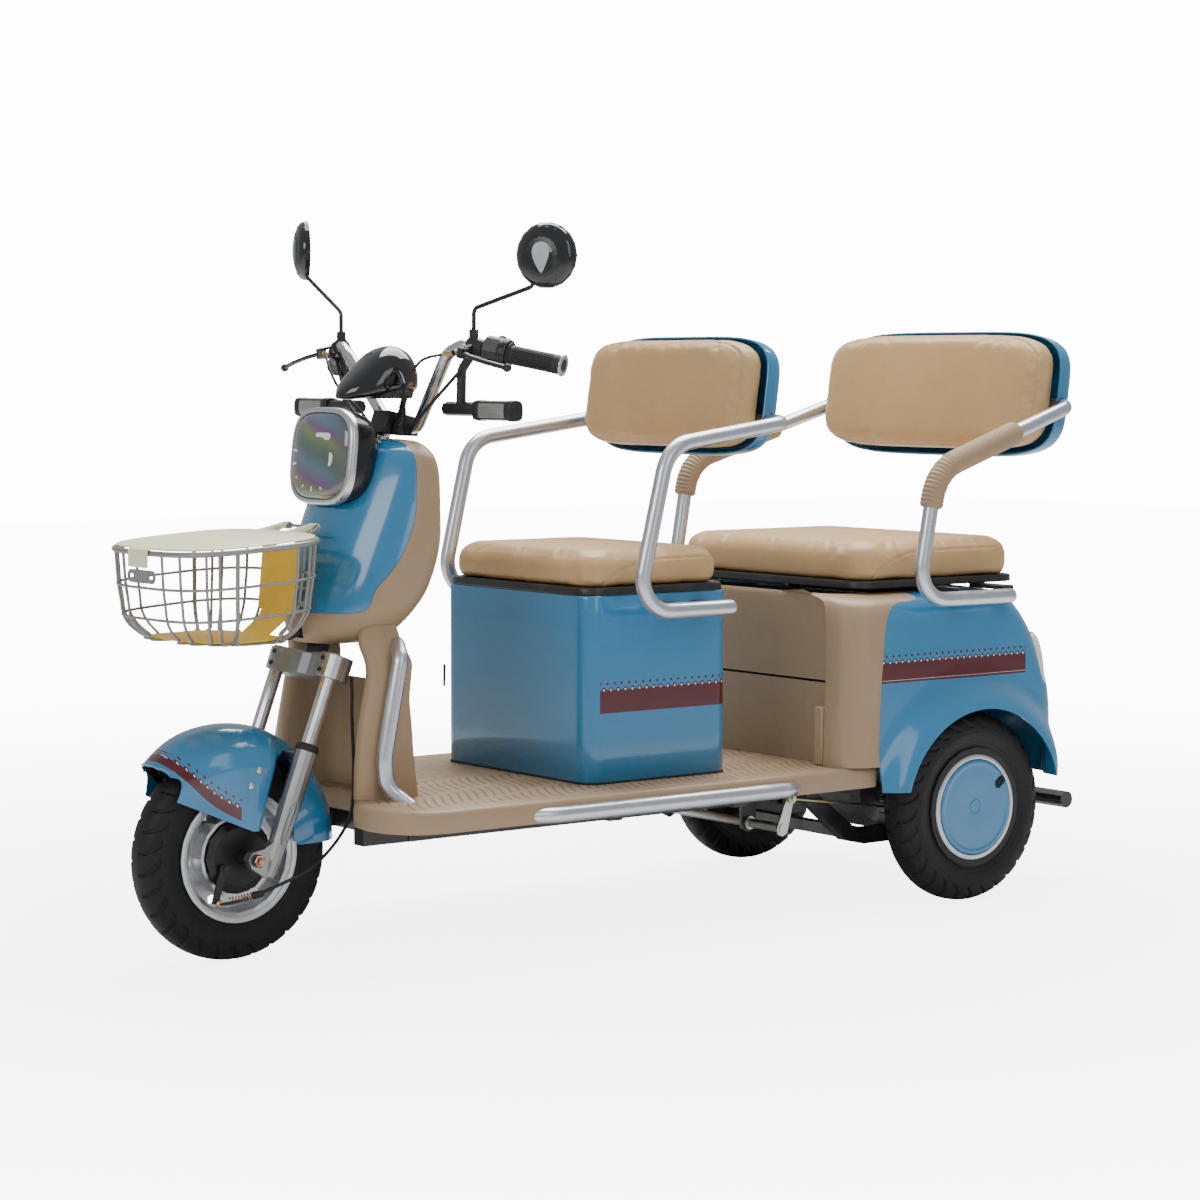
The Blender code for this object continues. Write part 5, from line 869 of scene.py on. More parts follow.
def yellow_plastic(name, deep, pale, glow):
    """Satin yellow that pales where it is thin, with faint moulding marks."""
    look = Finish(name, pale, 0.38, 0.0, Subsurface_Weight=glow, Subsurface_Scale=0.02)
    marks = look.noise(30.0, 3.0, 0.55, (1, 4, 1))
    return look.drive(Base_Color=look.tint(marks, deep, pale), Roughness=marks * 0.10 + 0.34,
                      Normal=look.relief(look.noise(700.0, 2.0), 0.00003))


def basket_floor():
    low = BASKET_DROP + 0.0030
    share = np.array([1.0, 1.005, 1.0, 0.96, 0.7, 0.35])[:, None]
    rise = np.array([0.0, 0.0015, 0.0030, 0.0034, 0.0036, 0.0036])[:, None]
    ring = basket_ring(low, 0.122, 0.088, slope=0.0)
    angle = np.arctan2(ring[:, 1] - BASKET_MIDDLE, ring[:, 0])
    droop = -0.0012 * (1 + np.cos(4 * angle - 0.6)) * (ring[:, 1] < BASKET_MIDDLE)
    grid = np.stack([ring[None, :, 0] * share, BASKET_MIDDLE + (ring[None, :, 1] - BASKET_MIDDLE) * share,
                     ring[None, :, 2] + rise + droop[None] * share ** 6 * 0.4], -1)
    back = extruded([(0.0975, 0.604), (0.1000, 0.602), (0.1112, 0.714), (0.1085, 0.7165), (0.1078, 0.714)],
                    -0.059, 0.059, 0)
    strip = extruded([(0.050, low), (0.056, low), (0.090, 0.586), (0.1005, 0.604), (0.1005, 0.612), (0.0975,
                                                                                                     0.610),
                      (0.087, 0.590)], -0.042, 0.042, 0)
    return made("basket_floor_and_back", yellow, surface(grid, columns=True, ends="fan"), back, strip,
                bevel=0.0006)


def basket_lid():
    """A shallow crown over the rim: its height falls off with the square of the distance from its
    middle."""
    share = np.array([0.985, 1.0, 1.0, 0.985, 0.94, 0.86, 0.72, 0.54, 0.34, 0.14])[:, None]
    lift = np.array([0.0, 0.0006, 0.0022, 0.0034, 0.0046, 0.0062, 0.0086, 0.0104, 0.0115, 0.0118])[:, None]
    ring = basket_ring(0.7274, 0.176, 0.141, slope=0.07, around=160)
    y = BASKET_MIDDLE + (ring[None, :, 1] - BASKET_MIDDLE) * share
    grid = np.stack([ring[None, :, 0] * share, y, 0.7274 + 0.07 * (y - BASKET_MIDDLE) + lift], -1)
    dome = surface(grid, columns=True, ends="fan")
    hinge_y, hinge_z = HINGE_ROD
    foot = 0.7274 + 0.07 * (0.085 - BASKET_MIDDLE)
    lugs = []
    for side in (-1, 1):
        left, right = sorted((side * 0.034, side * 0.054))
        lugs.append(extruded([(0.085, foot + 0.0008), (0.128, foot + 0.0040), (hinge_y, hinge_z + 0.0042),
                              (hinge_y, hinge_z + 0.0066), (0.120, foot + 0.0125), (0.085, foot + 0.0058)],
                             left, right, 0))
        angle = np.linspace(math.radians(-70), math.radians(200), 20)
        outer = np.stack([hinge_y + 0.0066 * np.sin(angle), hinge_z + 0.0066 * np.cos(angle)], -1)
        inner = np.stack([hinge_y + 0.0036 * np.sin(angle[::-1]), hinge_z + 0.0036 * np.cos(angle[::-1])], -1)
        lugs.append(extruded(np.concatenate([outer, inner]), left, right, 0))
    front = BASKET_MIDDLE - 0.143
    top = 0.7274 + 0.07 * (front - BASKET_MIDDLE)
    lip = [(front + 0.020, top + 0.0045), (front + 0.004, top + 0.0030), (front - 0.0056, top + 0.0012),
           (front - 0.0084, top - 0.0030), (front - 0.0086, top - 0.0300), (front - 0.0062, top - 0.0300),
           (front - 0.0056, top - 0.0010), (front + 0.001, top + 0.0004), (front + 0.020, top + 0.0010)]
    tab = extruded(lip, -0.033, 0.033, 0)
    return made("basket_lid_crowned", cream, dome, *lugs, tab, bevel=0.0008)


yellow = yellow_plastic("basket floor yellow", (0.86, 0.52, 0.02), (0.92, 0.62, 0.05), 0.10)
cream = yellow_plastic("basket lid cream", (0.97, 0.90, 0.52), (0.99, 0.95, 0.66), 0.05)
fitted(basket_floor(), "chassis", "cream_plastic", "basket_liner")
fitted(basket_lid(), "lid", "cream_plastic", "basket_lid")


# Side rails
# Bent 29 mm tube in satin silver: from under the column down each pillar and back along the step.
# They are bolted under the floor's edge, with their rear ends tucked into the rear body's trim.

RAIL_RADIUS = 0.0145
RAIL_CORNERS = [(0.128, 0.264, 0.548), (0.168, 0.247, 0.524), (0.168, 0.232, 0.451), (0.168, 0.212, 0.350),
                (0.168, 0.217, 0.298), (0.212, 0.264, 0.250), (0.282, 0.350, 0.250), (0.332, 0.452, 0.250),
                (0.332, 0.990, 0.250), (0.320, 1.018, 0.250)]
MIRROR = np.diag([-1.0, 1.0, 1.0])


def satin_tube(name):
    """Satin silver tube: a soft sheen with fine rubbed marks."""
    return brushed_silver(name, (0.63, 0.66, 0.71), 0.27, 90.0)


def domed(path, size):
    """A path and its radii, with both ends rounded off inside its length."""
    steps = np.array([0.0, 0.10, 0.30, 0.62]) * size
    first = (path[1] - path[0]) / np.linalg.norm(path[1] - path[0])
    last = (path[-1] - path[-2]) / np.linalg.norm(path[-1] - path[-2])
    heads = path[0] + steps[:, None] * first
    tails = path[-1] - steps[::-1, None] * last
    share = np.array([0.42, 0.78, 0.94, 1.0])
    radii = np.concatenate([share, np.ones(len(path) - 2), share[::-1]]) * size
    return np.concatenate([heads, path[1:-1], tails]), radii


tube_silver = satin_tube("satin tube")
rail = surface(swept(*domed(bent(RAIL_CORNERS, [0.022, 0.06, 0.09, 0.05, 0.03, 0.08, 0.08, 0.02]),
                            RAIL_RADIUS), 20),
               columns=True, ends="fan")
fitted(made("side_rail_tube_left", tube_silver, rail), "chassis", "silver_tube", "side_rail_left")
fitted(made("side_rail_tube_right", tube_silver, moved(rail, MIRROR)), "chassis", "silver_tube",
       "side_rail_right")


# Front seat box
# A blue lacquered box whose open top holds goods under the seat. A printed border runs along each
# side: a deep red band, a scalloped edge with pale rings, and a row of dots above it.

BOX_HALF, BOX_FRONT, BOX_REAR, BOX_TOP = 0.227, 0.609, 0.941, 0.617
STAND = 0.2774
DEEP_RED = (0.085, 0.0, 0.004)
PALE_RING = (0.62, 0.72, 0.84)


def rounded_plan(half, front, rear, corner, steps=8, side=1):
    """Counterclockwise outline of a rectangle with round corners, with points along its two long sides."""
    outline = []
    for sign, y, start in ((1, front + corner, -90), (1, rear - corner, 0), (-1, rear - corner, 90),
                           (-1, front + corner, 180)):
        turn = np.radians(start + 90 * np.arange(steps + 1) / steps)
        outline.append(np.stack([sign * (half - corner) + corner * np.cos(turn), y + corner * np.sin(turn)],
                                -1))
        if side > 1 and start in (0, 180):
            continue
        if side > 1:
            ends = (front + corner, rear - corner) if sign > 0 else (rear - corner, front + corner)
            outline.append(np.stack([np.full(side - 1, sign * half), np.linspace(*ends, side + 1)[1:-1]], -1))
    return np.concatenate(outline)


def garland(look, tone, along, height, span, band, pitch=0.0163, foot_line=False):
    """The printed border: a band, bumps with a pale ring in each along its upper edge, and dots
    above the gaps."""
    (first, last), (low, high) = span, band
    inside = (along > first) * (along < last)
    cell = (along - first) / pitch
    across = (cell.one_of("FRACT") - 0.5) * pitch
    rise = height - (high - 0.0050)
    ring = (across * across + rise * rise).one_of("SQRT")
    other = ((cell + 0.5).one_of("FRACT") - 0.5) * pitch
    above = height - (high + 0.0066)
    dot = (other * other + above * above).one_of("SQRT")
    band = (height > low) * (height < high - 0.0050)
    red = (band + (ring < 0.0050) + (dot < 0.0026)).one_of("MINIMUM", 1.0) * inside
    tone = look.tint(red, tone, DEEP_RED)
    if foot_line:
        line = (height > low + 0.0040) * (height < low + 0.0052) * inside
        tone = look.tint(line * 0.6, tone, PALE_RING)
    return look.tint((ring < 0.0021) * inside, tone, PALE_RING)


def box_stripe(look, tone):
    x, y, z = look.axes()
    beside = abs(x) > BOX_HALF - 0.030
    return look.tint(beside, tone, garland(look, tone, y, z, (0.6370, 0.9370), (0.405, 0.452)))


def seat_box():
    plan = rounded_plan(BOX_HALF, BOX_FRONT, BOX_REAR, 0.034, 12, 10)
    wall = [(0.0010, STAND), (0.0, STAND + 0.0010), (0.0, 0.35), (0.0, 0.45), (0.0, 0.55), (0.0,
                                                                                            BOX_TOP - 0.0045),
            (0.0010, BOX_TOP - 0.0012), (0.0024, BOX_TOP), (0.0030, BOX_TOP - 0.0020), (0.0030,
                                                                                        STAND + 0.0035)]
    floor = layers(rounded_plan(BOX_HALF - 0.002, BOX_FRONT + 0.002, BOX_REAR - 0.002, 0.032, 12),
                   [(0, STAND + 0.0005), (0, STAND + 0.0030)])
    return made("seat_box_shell", box_blue, surface(layers(plan, wall), rows=True, columns=True),
                surface(floor, columns=True, ends="flat"), angle=50)


box_blue = lacquer("box blue", stripe=box_stripe)
fitted(seat_box(), "chassis", "gloss_blue", "front_seat_box")
# A near-black band round the box's foot, where a dark gap line runs along the floor: painted shade.
foot_shade_black = moulded_black("painted shade at the box foot", 0.008, 0.6)
seal = layers(rounded_plan(BOX_HALF + 0.0012, BOX_FRONT - 0.0012, BOX_REAR + 0.0012, 0.0352, 12),
              [(0.0, STAND), (0.0, STAND + 0.0028), (0.0010, STAND + 0.0034), (0.0011, STAND)])
fitted(made("box_foot_shade_band", foot_shade_black, surface(seal, rows=True, columns=True)), "chassis", "black_rubber")
tag_look = lacquer("loose end of the border", DEEP_RED, 0.3)
tag = extruded([(0.6105, 0.4190), (0.6135, 0.4190), (0.6150, 0.4600), (0.6128, 0.4625), (0.6105, 0.4600)],
               -0.2318, -0.2275, 0)
fitted(made("border_loose_end", tag_look, tag, bevel=0.0004), "chassis", "gloss_blue")


# Seat pans
# Black moulded pans under both cushions. Each is hinged at its front edge and tips forward with
# its cushion: the front one over the box, the rear one over the battery.

def seat_pan(name, half, front, rear, low, corner=0.045):
    """A tray upside down: a skirt, a soft upper edge and a recess below."""
    plan = rounded_plan(half, front, rear, corner, 10, 8)
    steps = [(0.0010, low), (0.0, low + 0.0012), (0.0, low + 0.0105), (0.0014, low + 0.0132), (0.0045,
                                                                                               low + 0.0140)]
    under = [(0.0140, low + 0.0098), (0.0140, low + 0.0004), (0.0120, low)]
    top, base = layers(plan, steps), layers(plan, under)
    lids = [(top[-1], [np.arange(len(plan))[None]]), (base[0], [np.arange(len(plan))[None]])]
    return made(name, pan_black, surface(top, columns=True), surface(base, columns=True),
                surface(np.stack([base[-1], top[0]]), columns=True), *lids)


pan_black = moulded_black("pan black", 0.016, 0.36, 0.00008, 420.0)
fitted(seat_pan("front_seat_pan", BOX_HALF, BOX_FRONT, BOX_REAR, 0.6174), "front_seat", "black_plastic",
       "front_seat_base")
fitted(seat_pan("rear_seat_pan", 0.282, 1.210, 1.636, 0.608), "rear_seat", "black_plastic", "rear_seat_base")


# Cushions
# Foam pads in soft tan leather, sewn with a double row of thread along each seam. Air pressure in
# a cloth simulation swells them; the seams and the thread are laid on what comes out.

TAN = (0.600, 0.290, 0.045)


def tan_leather(name, creases=0.00016):
    """Tan leather: fine pores, faint creases, and a paler tone where it is rubbed."""
    look = Finish(name, TAN, 0.46, 0.0, Coat_Weight=0.08, Coat_Roughness=0.35)
    pores = look.cells(1500.0, "SMOOTH_F1")
    crease = look.noise(46.0, 6.0, 0.62)
    rub = look.ramp(look.noise(5.0, 4.0, 0.55), 0.38, 0.72)
    tone = look.tint(rub, (0.540, 0.335, 0.143), (0.590, 0.375, 0.168))
    tone = look.tint(look.ramp(crease, 0.55, 0.75) * 0.18, tone, (0.43, 0.26, 0.105))
    first = look.relief(crease, creases)
    return look.drive(Base_Color=tone, Roughness=look.ramp(crease, 0.3, 0.8) * 0.12 + rub * -0.08 + 0.44,
                      Normal=look.relief(pores, 0.00010, first))


def blown(pad, cap, floor=None, voxel=0.005):
    """Swells a pad with air: an even remesh, twenty frames of cloth, and no point moved by more than
    the cap."""
    even = pad.modifiers.new("even", "REMESH")
    even.mode = "VOXEL"
    even.voxel_size = voxel
    settled(pad)
    before = np.empty(len(pad.data.vertices) * 3)
    pad.data.vertices.foreach_get("co", before)
    air = pad.modifiers.new("air", "CLOTH")
    air.settings.quality = 4
    air.settings.use_pressure = True
    air.settings.uniform_pressure_force = 4.0
    air.settings.effector_weights.gravity = 0.0
    air.point_cache.frame_end = 20
    for turn in range(1, 21):
        bpy.context.scene.frame_set(turn)
    settled(pad)
    after = np.empty(len(before))
    pad.data.vertices.foreach_get("co", after)
    before, after = before.reshape(-1, 3), after.reshape(-1, 3)
    step = after - before
    reach = np.linalg.norm(step, axis=1, keepdims=True)
    after = before + step * np.minimum(1.0, cap / np.maximum(reach, 1e-9))
    if floor is not None:
        after[:, 2] = np.maximum(after[:, 2], floor)
    pad.data.vertices.foreach_set("co", after.ravel())
    pad.data.update()
    bpy.context.scene.frame_set(1)
    return pad


def softened(pad):
    finer = pad.modifiers.new("finer", "SUBSURF")
    finer.levels = finer.render_levels = 1
    settled(pad)
    pad.data.shade_smooth()
    return pad


def laid_on(pad, path, aim):
    """Where rays from points along a path hit the pad, and the pad's normals there."""
    tree = BVHTree.FromPolygons([tuple(v.co) for v in pad.data.vertices],
                                [tuple(p.vertices) for p in pad.data.polygons])
    path = np.asarray(path, float) + (0, FRONT_AXLE_Y, 0)
    aim = np.broadcast_to(np.asarray(aim, float), path.shape)
    hits = [tree.ray_cast(Vector(start), Vector(way)) for start, way in zip(path, aim)]
    hits = [(place, normal) for place, normal, face, reach in hits if place is not None]
    return np.array([tuple(h[0]) for h in hits]), np.array([tuple(h[1]) for h in hits])


def sewn(pad, places, normals, thread, name, body, closed=False, depth=0.0016, width=0.0034, apart=0.0045,
         pitch=0.0062):
    """Presses a seam into the pad and lays a row of stitches on each side of it."""
    points = np.empty(len(pad.data.vertices) * 3)
    pad.data.vertices.foreach_get("co", points)
    points = points.reshape(-1, 3)
    low, high = places.min(0) - 0.02, places.max(0) + 0.02
    near = np.flatnonzero(((points > low) & (points < high)).all(1))
    best = np.full(len(near), np.inf)
    whose = np.zeros(len(near), int)
    for start in range(0, len(places), 64):
        gap = np.linalg.norm(points[near][:, None] - places[None, start:start + 64], axis=2)
        closest = gap.argmin(1)
        least = gap[np.arange(len(near)), closest]
        whose = np.where(least < best, closest + start, whose)
        best = np.minimum(best, least)
    points[near] -= normals[whose] * (depth * np.exp(-(best / width) ** 2))[:, None]
    pad.data.vertices.foreach_set("co", points.ravel())
    pad.data.update()
    ahead = np.gradient(places, axis=0)
    ahead /= np.linalg.norm(ahead, axis=1, keepdims=True) + 1e-12
    beside = np.cross(normals, ahead)
    rows = []
    for side in (-apart, apart):
        line = evenly(places + beside * side + normals * 0.0001, max(4, int(len(places) * 0.002 / 0.0031)))
        length = np.linalg.norm(np.diff(line, axis=0), axis=1).sum()
        line = evenly(line, max(2, int(length / pitch)) * 2)
        up = normals[np.linspace(0, len(normals) - 1, len(line)).round().astype(int)]
        start, end = line[0::2], line[1::2]
        rows.append(stitches(start, end, up[0::2]))
    work = made(name, thread, *rows, weld=1e-9)
    work.data.transform(Matrix.Translation((0, -FRONT_AXLE_Y, 0)))
    fitted(work, body, "tan_leather")


def stitches(start, end, up, radius=0.00055, sides=6):
    """Short round threads, each from its start to its end, raised in the middle."""
    along = np.array([0.0, 0.15, 0.5, 0.85, 1.0])
    swell = np.array([0.25, 0.85, 1.0, 0.85, 0.25])
    lift = np.array([-0.0002, 0.0002, 0.0005, 0.0002, -0.0002])
    axis = end - start
    over = np.cross(axis, up)
    over /= np.linalg.norm(over, axis=1, keepdims=True) + 1e-12
    angle = 2 * math.pi * np.arange(sides) / sides
    centre = start[:, None] + axis[:, None] * along[None, :, None] + up[:, None] * lift[None, :, None]
    ring = over[:, None] * np.cos(angle)[None, :, None] + up[:, None] * np.sin(angle)[None, :, None]
    points = centre[:, :, None] + ring[:, None] * (radius * swell)[None, :, None, None]
    count = len(start)
    shape = surface(np.zeros((len(along), sides, 3)), columns=True, ends="flat")
    each = len(along) * sides
    lots = [(lot[None] + each * np.arange(count)[:, None, None]).reshape(-1,
                                                                         lot.shape[1]) for lot in shape[1]]
    return points.reshape(-1, 3), lots


def seat_cushion(name, half, front, rear, low, thickness, body, node):
    """A crowned pad that overhangs its pan a little, flat below."""
    outline = rounded_plan(half - 0.006, front + 0.006, rear - 0.006, 0.052, 8, 8)
    steps = [(0.0085, 0.0005), (0.0035, 0.05), (0.0008, 0.18), (0.0, 0.40), (0.0018, 0.62), (0.0070, 0.78),
             (0.0150, 0.87), (0.0300, 0.92)]
    rings = layers(outline, [(inset, low + share * thickness) for inset, share in steps])
    crown = rings[-1].copy()
    middle = crown.mean(0)
    inner = [middle + (crown - middle) * share + (0, 0, thickness * lift)
             for share, lift in ((0.75, 0.030), (0.45, 0.045), (0.15, 0.050))]
    pad = made(name, leather, surface(np.concatenate([rings, inner]), columns=True, ends="fan"))
    pad = softened(blown(pad, 0.009, low + 0.0004))
    run = seat_seam(half, front, rear, low, thickness)
    for side in (1, -1):
        places, normals = laid_on(pad, run * (side, 1, 1) + (side * 0.1, 0, 0), (-side, 0, 0))
        sewn(pad, places, normals, thread_tan, f"{name}_thread_{'left' if side > 0 else 'right'}", body,
             depth=0.0013)
    fitted(pad, body, "tan_leather", node)


def seat_seam(half, front, rear, low, thickness):
    """The side panel's edge, seen from the side: up from the front's foot in a wide curve, then back
    below the crown."""
    corners = [(front + 0.050, 0.06), (front + 0.062, 0.25), (front + 0.092, 0.50), (front + 0.140, 0.68),
               (front + 0.190, 0.74), (rear - 0.075, 0.76), (rear - 0.062, 0.765)]
    line = evenly(through([(half, y, low + share * thickness) for y, share in corners], 12), 150)
    return line


def back_point(rest, across, up, back):
    """A point of a backrest, given across it, up it and rearwards through it. It leans back by 8
    degrees."""
    lean = math.radians(8)
    y, z = rest[:2]
    across, up, back = np.broadcast_arrays(np.asarray(across, float), up, back)
    return np.stack([across, y + up * math.sin(lean) + back * math.cos(lean),
                     z + up * math.cos(lean) - back * math.sin(lean)], -1)


def back_rings(rest, steps, around=120):
    """Squircle rings across a backrest, one for each (inset, depth)."""
    half, height, lift = rest[2:]
    angle = 2 * math.pi * (np.arange(around) + 0.5)[None] / around
    c, s = np.cos(angle), np.sin(angle)
    inset, back = (column[:, None] for column in np.asarray(steps, float).T)
    across = (half - inset) * np.sign(c) * np.abs(c) ** 0.42
    up = (height / 2 - inset) * np.sign(s) * np.abs(s) ** 0.42
    return back_point(rest, across, up + lift, back + 0 * c)


def back_cushion(name, rest, node):
    rear = -0.0165
    steps = [(0.0100, -0.0005), (0.0065, -0.0060), (0.0050, -0.0160), (0.0050, -0.0300), (0.0062, -0.0400),
             (0.0105, -0.0465), (0.0200, -0.0505), (0.0400, -0.0520), (0.0700, -0.0530), (0.0950, -0.0535)]
    pad = made(name, leather, surface(back_rings(rest, [(inset, rear + depth) for inset, depth in steps]),
                                      columns=True, ends="fan"))
    pad = softened(blown(pad, 0.007))
    seam = evenly(back_rings(rest, [(0.0165, rear - 0.12)], 400)[0], 620, True)
    lean = math.radians(8)
    places, normals = laid_on(pad, seam, (0, math.cos(lean), -math.sin(lean)))
    sewn(pad, places, normals, thread_tan, name + "_thread", "chassis")
    fitted(pad, "chassis", "tan_leather", node)


FRONT_BACK = (1.014, 0.925, 0.248, 0.225, 0.0465)
REAR_BACK = (1.710, 0.9525, 0.322, 0.253, 0.020)
leather = tan_leather("tan leather")
thread_tan = Finish("tan thread", (0.66, 0.50, 0.30), 0.6)
twist = thread_tan.noise(900.0, 1.0)
thread_tan.drive(Base_Color=thread_tan.tint(twist, (0.58, 0.42, 0.24), (0.72, 0.56, 0.36)),
                 Roughness=twist * 0.2 + 0.5)
seat_cushion("front_seat_pad", 0.231, 0.603, 0.945, 0.6318, 0.062, "front_seat", "front_seat_cushion")
seat_cushion("rear_seat_pad", 0.288, 1.206, 1.642, 0.6224, 0.071, "rear_seat", "rear_seat_cushion")
back_cushion("front_back_pad", FRONT_BACK, "front_backrest_cushion")
back_cushion("rear_back_pad", REAR_BACK, "rear_backrest_cushion")


# Armrests and backrest shells
# One bent tube a seat makes both armrests and passes behind the backrest, inside a blue shell.
# Black brackets bolt the tubes down, and ribbed tan sleeves are pushed over the rear armrests.

HOOP_RADIUS = 0.0145


def hoop_path(arm, back, lower_rear, lower_front, top_bend, rest, top_radius):
    left = [(arm, *lower_rear), (arm, *lower_front), (arm + 0.003, *top_bend), (back, *rest[:2])]
    right = [(-x, y, z) for x, y, z in left[::-1]]
    return bent(left + right, [0.060, top_radius, 0.032, 0.032, top_radius, 0.060])


def back_shell(name, rest, path, node):
    """A shallow cup behind the pad, notched where the tube goes in."""
    outer = [(0.0012, -0.0159), (0.0, -0.0150), (0.0, -0.004), (0.0008, 0.006), (0.003, 0.0135), (0.0075,
                                                                                                  0.0200),
             (0.014, 0.0246), (0.026, 0.0280), (0.045, 0.0300), (0.075, 0.0305)]
    inner = [(0.078, 0.0275), (0.047, 0.0268), (0.028, 0.0248), (0.0165, 0.0215), (0.0105, 0.0172), (0.0062,
                                                                                                     0.0110),
             (0.0040, 0.004), (0.0032, -0.0159)]
    rings = back_rings(rest, outer + inner[1:])
    shell = made(name, blue_lacquer, surface(np.concatenate([rings[:len(outer)], back_rings(rest, inner)]),
                                             rows=True, columns=True), angle=50)
    room = made("cutter", blue_lacquer, bar(path, HOOP_RADIUS + 0.0012, 20))
    caps = back_rings(rest, [(0.0755, 0.0276), (0.0755, 0.0304)])
    lid = made("cutter", blue_lacquer, surface(caps, columns=True, ends="flat"))
    shell = carved(shell, "UNION", lid)
    return fitted(carved(shell, "DIFFERENCE", room), "chassis", "gloss_blue", node)


def brackets(name, pairs, left, right, low, high):
    """Flat lugs from the body out to the tube."""
    shapes = []
    for side in (-1, 1):
        for y in pairs:
            start, end = sorted((side * left, side * right))
            outline = [(start, y - 0.014), (end, y - 0.014), (end, y + 0.014), (start, y + 0.014)]
            shapes.append(extruded(outline, low, high))
    return made(name, frame_black, *shapes, bevel=0.0012)


front_path = hoop_path(0.304, 0.297, (0.884, 0.591), (0.656, 0.591), (0.728, 0.886), FRONT_BACK, 0.070)
rear_path = hoop_path(0.366, 0.342, (1.535, 0.588), (1.280, 0.588), (1.325, 0.832), REAR_BACK, 0.088)
for name, path, node in (("front_arm_tube", front_path, "front_seat_hoop"), ("rear_arm_tube", rear_path,
                                                                             "rear_seat_hoop")):
    tube = surface(swept(*domed(split(path, 0.03), HOOP_RADIUS), 24), columns=True, ends="fan")
    fitted(made(name, tube_silver, tube), "chassis", "silver_tube", node)
fitted(brackets("front_arm_brackets", (0.790, 0.860), 0.2274, 0.297, 0.5785, 0.601), "chassis", "black_paint")
fitted(brackets("rear_arm_brackets", (1.410, 1.530), 0.262, 0.358, 0.5989, 0.6076), "chassis", "black_paint")
back_shell("front_back_shell", FRONT_BACK, front_path, "front_backrest_shell")
back_shell("rear_back_shell", REAR_BACK, rear_path, "rear_backrest_shell")


def ribbed_sleeve(name, flip, node):
    """A tan sleeve on the rear armrest: ribs across its upper side fade out down its flanks."""
    path = split(rear_path[rear_path[:, 0] > 0.30], 0.0012)
    place = np.flatnonzero((path[:, 2] > 0.763) & (path[:, 1] < 1.550))
    path = path[place[0]:place[-1] + 1]
    count = len(path)
    grid = swept(path, 1.0, 36)
    spoke = grid - path[:, None]
    reach = np.concatenate([[0], np.cumsum(np.linalg.norm(np.diff(path, axis=0), axis=1))])
    up = np.gradient(path, axis=0)
    up /= np.linalg.norm(up, axis=1, keepdims=True)
    outward = np.cross(up, (1.0, 0, 0))
    facing = np.clip((spoke * outward[:, None]).sum(2) * -1, -1, 1)
    rib = np.cos(2 * math.pi * reach / 0.0072)[:, None] * np.clip(np.abs(facing) * 1.5 - 0.35, 0, 1)
    ends = np.minimum(reach, reach[-1] - reach)[:, None]
    radius = 0.0222 + 0.0009 * rib - 0.004 * np.exp(-ends / 0.0018)
    outer = path[:, None] + spoke * radius[..., None]
    inner = path[:, None] + spoke * (HOOP_RADIUS + 0.0004)
    rings = np.concatenate([outer, inner[::-1]])
    shape = surface(rings, rows=True, columns=True)
    fitted(made(name, sleeve_tan, moved(shape, MIRROR) if flip else shape, angle=60), "chassis",
           "matt_beige", node)


sleeve_tan = beige_plastic("sleeve tan", 0.0001, 0.55)
ribbed_sleeve("arm_sleeve_left", False, "rear_arm_sleeve_left")
ribbed_sleeve("arm_sleeve_right", True, "rear_arm_sleeve_right")


# Rear body
# One blue lacquered shell over the rear wheels, whose sides swell out round each wheel arch. The
# beige front is a second moulding: two side trims and, set back between them, a two-part panel.

BODY_LEVELS = [(0.230, 0.345, 1.682, 1.133, 0.030), (0.310, 0.345, 1.691, 1.135, 0.030),
               (0.375, 0.345, 1.689, 1.137, 0.030), (0.425, 0.345, 1.677, 1.139, 0.030),
               (0.505, 0.344, 1.640, 1.142, 0.030), (0.558, 0.337, 1.606, 1.146, 0.028),
               (0.587, 0.318, 1.580, 1.156, 0.020), (0.597, 0.262, 1.545, 1.176, 0.004)]
ARCH_CENTRE = (1.447, 0.176)
ARCH_REACH = (0.204, 0.199)
TRIM_SEAM = [(1.204, 0.150), (1.205, 0.290), (1.209, 0.405), (1.217, 0.500), (1.230, 0.555), (1.262, 0.582),
             (1.330, 0.592), (1.345, 0.650)]


def arch_swell(y, z):
    """How far the side stands out: full inside the arch's rim, falling off smoothly to nothing at
    1.36 times the arch's own reach."""
    away = np.hypot((y - ARCH_CENTRE[0]) / ARCH_REACH[0], (z - ARCH_CENTRE[1]) / ARCH_REACH[1])
    share = np.clip((1.36 - away) / 0.34, 0, 1)
    return 0.040 * share ** 2 * (3 - 2 * share)


def body_grid():
    rings = []
    for height, half, rear, front, recess in through(BODY_LEVELS, 6):
        plan = rounded_plan(half, front, rear, 0.060, 8, 64)
        edge = half - 0.074
        dent = np.array([(-edge, front), (-edge + 0.004, front + recess * 0.5), (-edge + 0.010,
                                                                                 front + recess),
                         (-edge * 0.5, front + recess), (0, front + recess), (edge * 0.5, front + recess),
                         (edge - 0.010, front + recess), (edge - 0.004, front + recess * 0.5), (edge, front)])
        plan = np.concatenate([plan, dent])
        swell = arch_swell(plan[:, 1], height) * (np.abs(plan[:, 0]) > half - 0.01)
        x = plan[:, 0] + np.sign(plan[:, 0]) * swell
        rings.append(np.column_stack([x, plan[:, 1], np.full(len(x), height)]))
    return np.stack(rings)


def trim_tool(gap):
    """What lies ahead of the seam between the beige trim and the blue shell, seen from the side."""
    outline = [(y - gap, z) for y, z in through(TRIM_SEAM, 4)] + [(1.0, 0.650), (1.0, 0.150)]
    return made("cutter", beige_shell, extruded(outline, -0.5, 0.5, 0))


